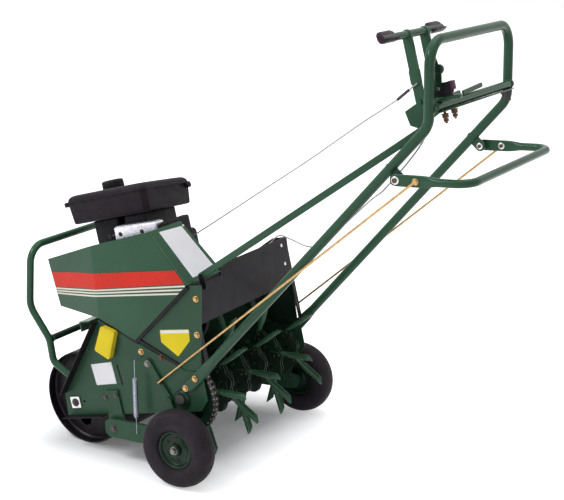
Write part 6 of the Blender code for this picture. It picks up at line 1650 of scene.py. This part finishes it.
def build_cap(shape):
    """The screw cap with its finger flutes, a rolled top edge and a raised bar."""
    centre, base = FILLER, CAP_BASE
    flutes = 18
    sides = flutes * 6
    rings = []
    for height, radius, depth in (
        (0.0003, 0.0305, 0.0), (0.001, 0.0325, 0.0012), (0.004, 0.033, 0.0019), (0.0195, 0.0326, 0.0019),
        (0.022, 0.0318, 0.0013), (0.0238, 0.0298, 0.0), (0.0245, 0.0276, 0.0), (0.0236, 0.0258, 0.0),
        (0.0225, 0.0246, 0.0)
    ):
        ring = []
        for step in range(sides):
            wave = (0.5 - 0.5 * math.cos(step * math.tau / 6)) ** 2
            ring.append((*polar(centre, radius - depth * wave, step * math.tau / sides), base + height))
        rings.append(ring)
    skin(shape, rings)
    bar = rounded_bar((centre[0] - 0.017, centre[1]), (centre[0] + 0.017, centre[1]), 0.005, 8)
    crown = [(centre[0] + (x - centre[0]) * 0.93, centre[1] + (u - centre[1]) * 0.8) for x, u in bar]
    skin(shape, [[(x, u, base + height) for x, u in ring]
                 for ring, height in ((bar, 0.0221), (bar, 0.0243), (crown, 0.0251))])


def tank_rise(x):
    """How far the tank stands above its level outline, since its left edge is higher."""
    share = (x - TANK_X[0]) / (TANK_X[1] - TANK_X[0])
    return TANK_TILT[0] + (TANK_TILT[1] - TANK_TILT[0]) * share


def tank_nod(u):
    """How far the tank's rear end stands above its front end, at u."""
    return TANK_NOD * (u - TANK_U[0]) / (TANK_U[1] - TANK_U[0])


def tank_ring(w, grow, corner):
    """One level of the tank: a rectangle with chamfered corners. The underside isn't tilted downwards."""
    x0, x1, u0, u1 = TANK_X[0] - grow, TANK_X[1] + grow, TANK_U[0] - grow, TANK_U[1] + grow
    outline = rounded_outline([(x0, u0 + corner), (x0 + corner, u0), (x1 - corner, u0), (x1, u0 + corner),
                               (x1, u1 - corner), (x1 - corner, u1), (x0 + corner, u1), (x0, u1 - corner)],
                              corner * 0.42, 5)
    level = 1.0 if w > 0.5 else (w - 0.482) / 0.018
    return [(x, u, w + max(tank_rise(x), tank_rise(x) * level) + tank_nod(u)) for x, u in outline]


def build_tank(shape):
    """The moulded tank: a deep lower half, a flanged seam and a domed upper half with a raised border."""
    levels = [
        (0.4822, -0.012, 0.011), (0.4834, -0.0085, 0.012), (0.4866, -0.006, 0.013), (0.493, -0.0048, 0.014),
        (TANK_SEAM - 0.0026, -0.001, 0.014), (TANK_SEAM - 0.0022, -0.0004, 0.014),
        (TANK_SEAM - 0.0018, 0.0036, 0.014), (TANK_SEAM + 0.0018, 0.0036, 0.014),
        (TANK_SEAM + 0.0022, -0.0004, 0.014), (TANK_SEAM + 0.003, -0.0012, 0.014), (0.559, -0.0024, 0.015),
        (0.564, -0.0064, 0.016), (0.5668, -0.011, 0.017), (0.568, -0.017, 0.018), (0.5684, -0.024, 0.019),
        (0.5684, -0.029, 0.019), (0.5674, -0.031, 0.018), (0.567, -0.033, 0.017)
    ]
    skin(shape, [tank_ring(*level) for level in levels])
    for x, u0, u1, w in TANK_LUGS:
        add_block(shape, (x - 0.008, u0, w - 0.007), (x + 0.008, u1, w + 0.007), 0.003, 3)
    add_turned(shape, (*FILLER, NECK_BASE), UPWARD,
               [(0.019, 0.0178), (0.02, 0.0172), (0.0205, 0.014), (0.0362, 0.014), (0.038, 0.0128),
                (0.0384, 0.008), (0.04, 0.0062), (0.041, 0.0), (0.0, 0.0), (0.0, 0.01), (0.0165, 0.01),
                (0.0165, 0.0178)], 64)


piece("crankcase", "chassis", engine_black, build_crankcase, ["engine_block"], smooth=38.0)
piece("cylinder", "chassis", engine_black, build_cylinder)
piece("engine_bolts", "chassis", plated_zinc, build_engine_bolts)
piece("tank", "chassis", tank_plastic, build_tank, ["fuel_tank"], smooth=36.0)
piece("filler_cap", "fuel_cap", black_plastic, build_cap, ["fuel_cap"], smooth=40.0)

BLOWER_X = -0.1063
BLOWER = (0.15, 0.35)


def build_blower(shape):
    """The pressed fan housing with its rolled edge, the louvred screen and the recoil drum's cover."""
    add_turned(shape, (BLOWER_X, *BLOWER), RIGHTWARD,
               [(0.0, 0.0), (0.084, 0.0), (0.0935, 0.0016), (0.0958, 0.005), (0.096, 0.01), (0.0948, 0.0112),
                (0.0945, 0.03), (0.0925, 0.043), (0.088, 0.052), (0.08, 0.0585), (0.072, 0.0612),
                (0.069, 0.0618), (0.068, 0.06), (0.06, 0.06), (0.0585, 0.063), (0.057, 0.064),
                (0.0548, 0.066), (0.053, 0.079), (0.05, 0.083), (0.043, 0.0846), (0.04, 0.0838),
                (0.023, 0.0852), (0.0215, 0.0874), (0.0, 0.0878)], 96)
    for low, high in zip(around(BLOWER, 0.0588, 36), around(BLOWER, 0.0682, 36)):
        add_plate(shape, rounded_bar(low, high, 0.0013, 3), BLOWER_X - 0.059, BLOWER_X - 0.0625)
    for low, high in zip(around(BLOWER, 0.027, 8, 0.2), around(BLOWER, 0.041, 8, 0.2)):
        add_plate(shape, rounded_bar(low, high, 0.003, 4), BLOWER_X - 0.083, BLOWER_X - 0.0862)
    add_block(
        shape, (BLOWER_X - 0.037, 0.062, BLOWER[1] + 0.004), (BLOWER_X - 0.001, 0.14, BLOWER[1] + 0.095),
        0.006, 3
    )


def build_blower_screws(shape):
    for place in around(BLOWER, 0.077, 4, 0.6):
        add_bolt(shape, (BLOWER_X - 0.057, *place), RIGHTWARD, 0.0044, 0.003, 0.0068)
    add_bolt(shape, (BLOWER_X - 0.0862, *BLOWER), RIGHTWARD, 0.005, 0.0008, 0.0)


def build_recoil_grip(shape):
    """A T grip with a crowned bar, on the cord that comes up out of its guide."""
    centre = Vector((-0.137, 0.135, 0.4455))
    half, thick = 0.028, 0.007
    rings = []
    for share in (-1.0, -0.94, -0.8, -0.5, 0.0, 0.5, 0.8, 0.94, 1.0):
        swell = math.sqrt(max(0.0, 1.0 - abs(share) ** 6)) * 0.92 + 0.08
        rings.append([centre + Vector((thick * swell * across, half * share, 0.0112 + 0.0066 * swell * up))
                      for across, up in around(CENTRE, 1.0, 20)])
    skin(shape, rings)
    add_turned(shape, tuple(centre), UPWARD,
               [(0.0, 0.0), (0.005, 0.0), (0.0048, 0.004), (0.0056, 0.007), (0.0, 0.007)], 20)


def build_muffler(shape):
    """The muffler box with its rolled seam, louvred guard, pipe and outlet."""
    add_block(shape, (0.018, 0.304, 0.318), (0.088, 0.354, 0.402), 0.015, 5)
    add_block(shape, (0.0166, 0.3275, 0.3166), (0.0894, 0.3305, 0.4034), 0.0012, 2)
    for index in range(6):
        w = 0.334 + index * 0.0104
        add_block(shape, (0.03, 0.353, w), (0.076, 0.3562, w + 0.0052), 0.0012, 2)
    add_disc(shape, (0.05, 0.2925, 0.36), ALONG, 0.015, 0.013, 24)
    add_turned(shape, (0.053, 0.33, 0.395), UPWARD,
               [(0.0, 0.0), (0.01, 0.0), (0.01, 0.0165), (0.008, 0.0168), (0.008, 0.006), (0.0, 0.006)], 24)


def build_air_cover(shape):
    """The bright bent sheet beside the tank mount, with a turned lip and a swaged bead."""
    add_block(shape, (0.0905, 0.1685, 0.4206), (0.1335, 0.3215, 0.4778), 0.0055, 4)
    add_block(shape, (0.1004, 0.176, 0.3905), (0.1038, 0.28, 0.429), 0.0012, 2)
    add_block(shape, (0.1325, 0.174, 0.4275), (0.1345, 0.316, 0.4315), 0.0009, 2)
    add_block(shape, (0.096, 0.176, 0.4765), (0.129, 0.314, 0.479), 0.001, 2)


def build_air_cover_screws(shape):
    for u in (0.19, 0.27):
        add_bolt(shape, (0.1333, u, 0.456), ACROSS, 0.0042, 0.0028, 0.0066)


def build_heat_shield(shape):
    """The dark bent sheet that stands over the silencer."""
    add_block(shape, (0.004, 0.324, 0.403), (0.116, 0.35, 0.472), 0.006, 3)


def build_governor(shape):
    """The governor's flat link and its small eye below the tank."""
    add_plate(shape, rounded_bar((0.118, 0.448), (0.17, 0.456), 0.0026, 6), 0.0945, 0.096)
    add_ring(shape, (0.094, 0.118, 0.448), ACROSS, 0.0036, 0.0062, 0.004, 20)


piece("heat_shield", "chassis", muffler_black, build_heat_shield)
piece("governor_link", "chassis", oily_steel, build_governor)
piece(
    "fan_housing", "chassis", black_paint, build_blower, ["blower_housing"], smooth=36.0, slot="engine_black"
)
piece("fan_screws", "chassis", plated_zinc, build_blower_screws)
piece("pull_grip", "recoil_grip", black_plastic, build_recoil_grip, ["recoil_grip"], smooth=60.0)
piece("silencer", "chassis", muffler_black, build_muffler, ["muffler"], smooth=36.0)
piece("air_cover", "chassis", bright_sheet, build_air_cover, ["carburettor_cover"])
piece("air_cover_screws", "chassis", oily_steel, build_air_cover_screws)


# Controls
CLUTCH_PIVOT = (1.2565, 0.69)
CLUTCH_BAR = (1.253, 0.851)
CLUTCH_ARMS = (0.127, 0.221)
BRACKET_X = 0.1655
THROTTLE_PIVOT = (1.305, 0.712)
THROTTLE_KNOB = (1.3125, 0.7565)
THROTTLE_TIP = (1.307, 0.785)
ANGLE_U = 1.288
ANGLE_UNDER = 0.656


def add_plate_across(shape, outline, u0, u1):
    """A flat plate facing along the machine, its outline in (x, w)."""
    skin(shape, [[(x, u, w) for x, w in outline] for u in (u0, u1)])


def build_angle(shape):
    """The thin angle under the cross tube, the upright plate, and the long strap above."""
    add_block(shape, (-0.2275, 1.27, 0.656), (0.2275, 1.307, 0.659), 0.0008, 2)
    add_block(shape, (-0.2275, 1.27, 0.653), (0.2275, 1.273, 0.658), 0.0008, 2)
    outline = [
        (1.1815, 0.669), (1.227, 0.6885), (1.248, 0.699), (1.264, 0.7), (1.2705, 0.694), (1.276, 0.6585),
        (1.276, 0.653), (1.212, 0.622), (1.189, 0.633)
    ]
    add_plate(shape, rounded_outline(outline, 0.003), BRACKET_X - 0.0015, BRACKET_X + 0.0015)
    add_plate_across(shape, rounded_bar((0.066, 0.685), (-0.04, 0.6905), 0.0058, 8), 1.2955, 1.3005)


def build_shaded_gusset(shape):
    add_plate_across(
        shape, [(-0.166, 0.659), (-0.229, 0.659), (-0.229, 0.626), (-0.206, 0.63)], ANGLE_U, ANGLE_U + 0.003
    )


def build_clutch_pin(shape):
    """The lever's pin through the upright plate, its chamfered ends standing out past each arm."""
    add_turned(
        shape, (0.0, *CLUTCH_PIVOT), ACROSS,
        [(0.0, 0.119), (0.0046, 0.119), (0.0055, 0.12), (0.0055, 0.228), (0.0046, 0.229), (0.0, 0.229)], 20
    )


def build_clutch_lever(shape):
    """The lever: two flat arms with bosses on the pin, a clamp on the left arm and the cross bar."""
    for x in CLUTCH_ARMS:
        add_plate(shape, rounded_bar(CLUTCH_PIVOT, CLUTCH_BAR, 0.012), x - 0.004, x + 0.004,
                  [(*CLUTCH_PIVOT, 0.0058)])
        face = BRACKET_X + math.copysign(0.0018, x - BRACKET_X)
        add_turned(shape, (0.0, *CLUTCH_PIVOT), ACROSS,
                   [(0.0058, face), (0.01, face), (0.0105, face + math.copysign(0.0006, x - BRACKET_X)),
                    (0.0105, x), (0.0058, x)], 28)
        add_turned(shape, (x, *CLUTCH_BAR), ACROSS,
                   mirrored([(0.0095, -0.0072), (0.0108, -0.0062), (0.0116, -0.004)]), 28)
    add_tube(shape, [(0.032, *CLUTCH_BAR), (0.351, *CLUTCH_BAR)], 0.0095, 28)
    lean = (CLUTCH_BAR[0] - CLUTCH_PIVOT[0]) / (CLUTCH_BAR[1] - CLUTCH_PIVOT[1])
    middle = CLUTCH_PIVOT[0] + (0.7495 - CLUTCH_PIVOT[1]) * lean
    add_block(shape, (0.2168, middle - 0.0135, 0.733), (0.228, middle + 0.0135, 0.766), 0.0016, 2)


def build_grip(shape, middle):
    """A moulded thumb paddle over the bar: a face that leans back over a curled rear lip."""
    half = 0.0358
    bar = Vector(CLUTCH_BAR)
    section = [(-0.0135, 0.012), (-0.011, 0.0172), (-0.006, 0.018), (-0.001, 0.0155), (0.005, 0.0085),
               (0.0085, 0.0035), (0.0125, 0.001), (0.0165, 0.0005), (0.0172, -0.0025), (0.013, -0.0065),
               (0.006, -0.0098), (0.0, -0.0108), (-0.007, -0.009), (-0.012, -0.001)]
    rings = []
    for share in (-1.0, -0.985, -0.95, -0.88, -0.7, 0.0, 0.7, 0.88, 0.95, 0.985, 1.0):
        edge = max(0.0, (abs(share) - 0.7) / 0.3) ** 3
        rings.append([(middle + half * share, bar.x + u * (1.0 - 0.28 * edge),
                       bar.y + w * (1.0 - (0.45 if w > 0 else 0.2) * edge)) for u, w in section])
    skin(shape, rings)


def build_throttle_case(shape):
    """The throttle's two-part case and the boss at its pivot."""
    add_block(shape, (0.189, 1.284, 0.697), (0.1995, 1.333, 0.724), 0.0036, 3)
    add_block(shape, (0.2005, 1.284, 0.697), (0.211, 1.333, 0.724), 0.0036, 3)
    add_block(shape, (0.192, 1.287, 0.6975), (0.208, 1.33, 0.721), 0.002, 2)
    add_block(shape, (0.1905, 1.286, 0.6905), (0.2095, 1.33, 0.699), 0.002, 2)
    add_disc(shape, (0.2095, *THROTTLE_PIVOT), ACROSS, 0.009, 0.0018, 24, (0.003, 0.0004))


def build_throttle_foot(shape):
    """The clamp foot, a strap with one rounded end lying along the cross tube."""
    add_block(shape, (0.189, 1.279, 0.6808), (0.211, 1.351, 0.6915), 0.0024, 2)
    add_plate_across(shape, rounded_bar((0.192, 0.6832), (0.0925, 0.6882), 0.0058, 8), 1.295, 1.3)


def build_throttle_stop(shape):
    add_block(shape, (0.1935, 1.326, 0.704), (0.2075, 1.341, 0.7255), 0.002, 3)


def build_throttle_pin(shape):
    add_disc(shape, (0.21, *THROTTLE_PIVOT), ACROSS, 0.004, 0.009, 16, (0.0006, 0.0006))


def build_throttle_lever(shape):
    """The flat lever, its narrow upper blade and the round knob."""
    pivot, knob, tip = THROTTLE_PIVOT, THROTTLE_KNOB, THROTTLE_TIP
    add_plate(shape, rounded_bar(pivot, knob, 0.0075), 0.2113, 0.2153, [(*pivot, 0.0043)])
    add_plate(shape, rounded_bar(knob, tip, 0.0046), 0.2118, 0.215)
    add_turned(shape, (0.2043, *knob), ACROSS,
               [(0.0, 0.0), (0.01, 0.0), (0.0116, 0.001), (0.012, 0.0024), (0.012, 0.0098), (0.0116, 0.0112),
                (0.01, 0.0124), (0.006, 0.0128), (0.005, 0.012), (0.0, 0.012)], 32)


piece("angle", "chassis", green_paint, build_angle, ["lever_bracket"], bevel=0.0006)
# The gusset takes the near-black tank plastic though it is green: painted shade
piece("angle_gusset_painted_shade", "chassis", tank_plastic, build_shaded_gusset, slot="green_paint")
piece("clutch_pivot_pin", "chassis", green_paint, build_clutch_pin)
piece("clutch_handle", "clutch_lever", green_paint, build_clutch_lever, ["clutch_lever"], smooth=36.0)
for grip_number, grip_middle in enumerate((0.064, 0.319)):
    piece(f"sleeve_grip_{grip_number + 1}", "clutch_lever", grip_rubber, lambda s: build_grip(s, grip_middle),
          [f"clutch_grip_{grip_number + 1}"], smooth=50.0)
piece("throttle_box", "chassis", black_plastic, build_throttle_case, ["throttle_case"])
piece("throttle_foot", "chassis", green_paint, build_throttle_foot, bevel=0.0006)
piece("throttle_stop", "chassis", mauve_plastic, build_throttle_stop)
piece("throttle_pin", "chassis", bare_steel, build_throttle_pin, slot="zinc_steel")
piece("throttle_arm", "throttle_lever", dark_paint, build_throttle_lever, ["throttle_lever"], bevel=0.0005)


# Control wire and cable
CLUTCH_WIRE = [
    (0.2295, 1.261, 0.7345), (0.225, 1.2341, 0.7222), (0.217, 1.194, 0.7035), (0.212, 1.0756, 0.659),
    (0.2055, 0.9127, 0.593), (0.195, 0.7709, 0.5404), (0.17, 0.6476, 0.4969), (0.14, 0.5338, 0.4578),
    (0.112, 0.4316, 0.4228), (0.1, 0.398, 0.408)
]
THROTTLE_CABLE = [
    (0.2, 1.2768, 0.696), (0.195, 1.235, 0.6), (0.175, 1.1, 0.495), (0.09, 0.99, 0.45), (0.0, 0.79, 0.35),
    (-0.08, 0.68, 0.322), (-0.17, 0.56, 0.337), (-0.205, 0.5, 0.345), (-0.2, 0.455, 0.32),
    (-0.15, 0.38, 0.29), (-0.09, 0.3, 0.3)
]


def make_cable(name, route, radius, material, stands_for):
    points = smooth_route(route, 10)
    cable = piece(
        name, "chassis", material, lambda s: add_tube(s, points, radius, 12), [stands_for], smooth=60.0
    )


make_cable("control_wire", CLUTCH_WIRE, 0.0018, wire_steel, "clutch_wire")
make_cable("throttle_line", THROTTLE_CABLE, 0.0021, cable_sheath, "throttle_cable")


def build_wire_sleeve(shape):
    """The dark sleeve over the wire's adjuster, near the lever."""
    start, end = Vector((0.225, 1.2341, 0.7222)), Vector((0.217, 1.194, 0.7035))
    add_turned(shape, start, end - start,
               [(0.0, 0.0), (0.003, 0.0), (0.0036, 0.0008), (0.0036, (end - start).length - 0.0008),
                (0.003, (end - start).length), (0.0, (end - start).length)], 16)


piece("wire_sleeve", "chassis", sleeve_plastic, build_wire_sleeve)

# Axle hangers and fasteners
def build_hanger(shape, sign):
    outline = [(0.118, 0.031), (0.168, 0.031), (0.168, -0.06), (0.16, -0.094), (0.12, -0.094), (0.112, -0.06),
               (0.118, -0.03)]
    add_plate(shape, rounded_outline(outline, 0.006), *(x * sign for x in HANGER_X))
    add_disc(shape, *outward(HANGER_X[1] - 0.0008, ARM_PIVOT, sign), 0.015, 0.008, 28)


def build_arm_pins(shape):
    for sign in (1, -1):
        add_disc(shape, *outward(HANGER_X[1] - 0.0008, ARM_PIVOT, sign), 0.0078, 0.02, 22)
        add_bolt(shape, *outward(ARM_X[1] + SEAT, ARM_PIVOT, sign), 0.0085, 0.004, 0.012)
        for place in ((0.12, 0.0113), (0.1595, 0.0165)):
            add_bolt(shape, *outward(HANGER_X[1] - SEAT, place, sign), 0.006, 0.0034, 0.0085)


GOLD_BOLT = (0.0064, 0.0048, 0.0092)


def build_gold_bolts(shape):
    for u, w in ((0.5054, 0.2716), (0.4837, 0.1728)):
        add_bolt(shape, (UPPER_X, u, w), ACROSS, *GOLD_BOLT)
    add_bolt(shape, (PLATE_X, 0.2807, 0.1373), ACROSS, *GOLD_BOLT)
    for sign in (1, -1):
        for place in ((0.4574, 0.0548), (0.4184, 0.0291)):
            add_bolt(shape, *outward(HANDLE_FOOT_X + 0.0065, place, sign), *GOLD_BOLT)


def build_angle_nuts(shape):
    """The two cable nuts that hang under the angle, each locked by a smaller one."""
    for x, hang in ((0.17, 0.007), (0.116, 0.003)):
        add_turned(
            shape, (x, ANGLE_U, ANGLE_UNDER), DOWNWARD,
            [(0.0, 0.0), (0.0034, 0.0), (0.0034, hang + 0.023), (0.0028, hang + 0.024), (0.0, hang + 0.024)],
            16
        )
        add_bolt(shape, (x, ANGLE_U, ANGLE_UNDER - hang), DOWNWARD, 0.009, 0.0092, 0.0098)
        add_bolt(shape, (x, ANGLE_U, ANGLE_UNDER - hang - 0.0108), DOWNWARD, 0.0072, 0.007, 0.0)


paired("hanger", "chassis", plate_paint, build_hanger, "arm_hanger", bevel=0.0008)
piece("arm_pins", "chassis", oily_steel, build_arm_pins)
piece("gold_bolts", "chassis", plated_gold, build_gold_bolts)
piece(
    "plate_bolt", "chassis", brown_steel,
    lambda s: add_bolt(s, (PLATE_X, 0.3479, 0.117), ACROSS, 0.0064, 0.0048, 0.009)
)
piece("angle_nuts", "chassis", brown_steel, build_angle_nuts)
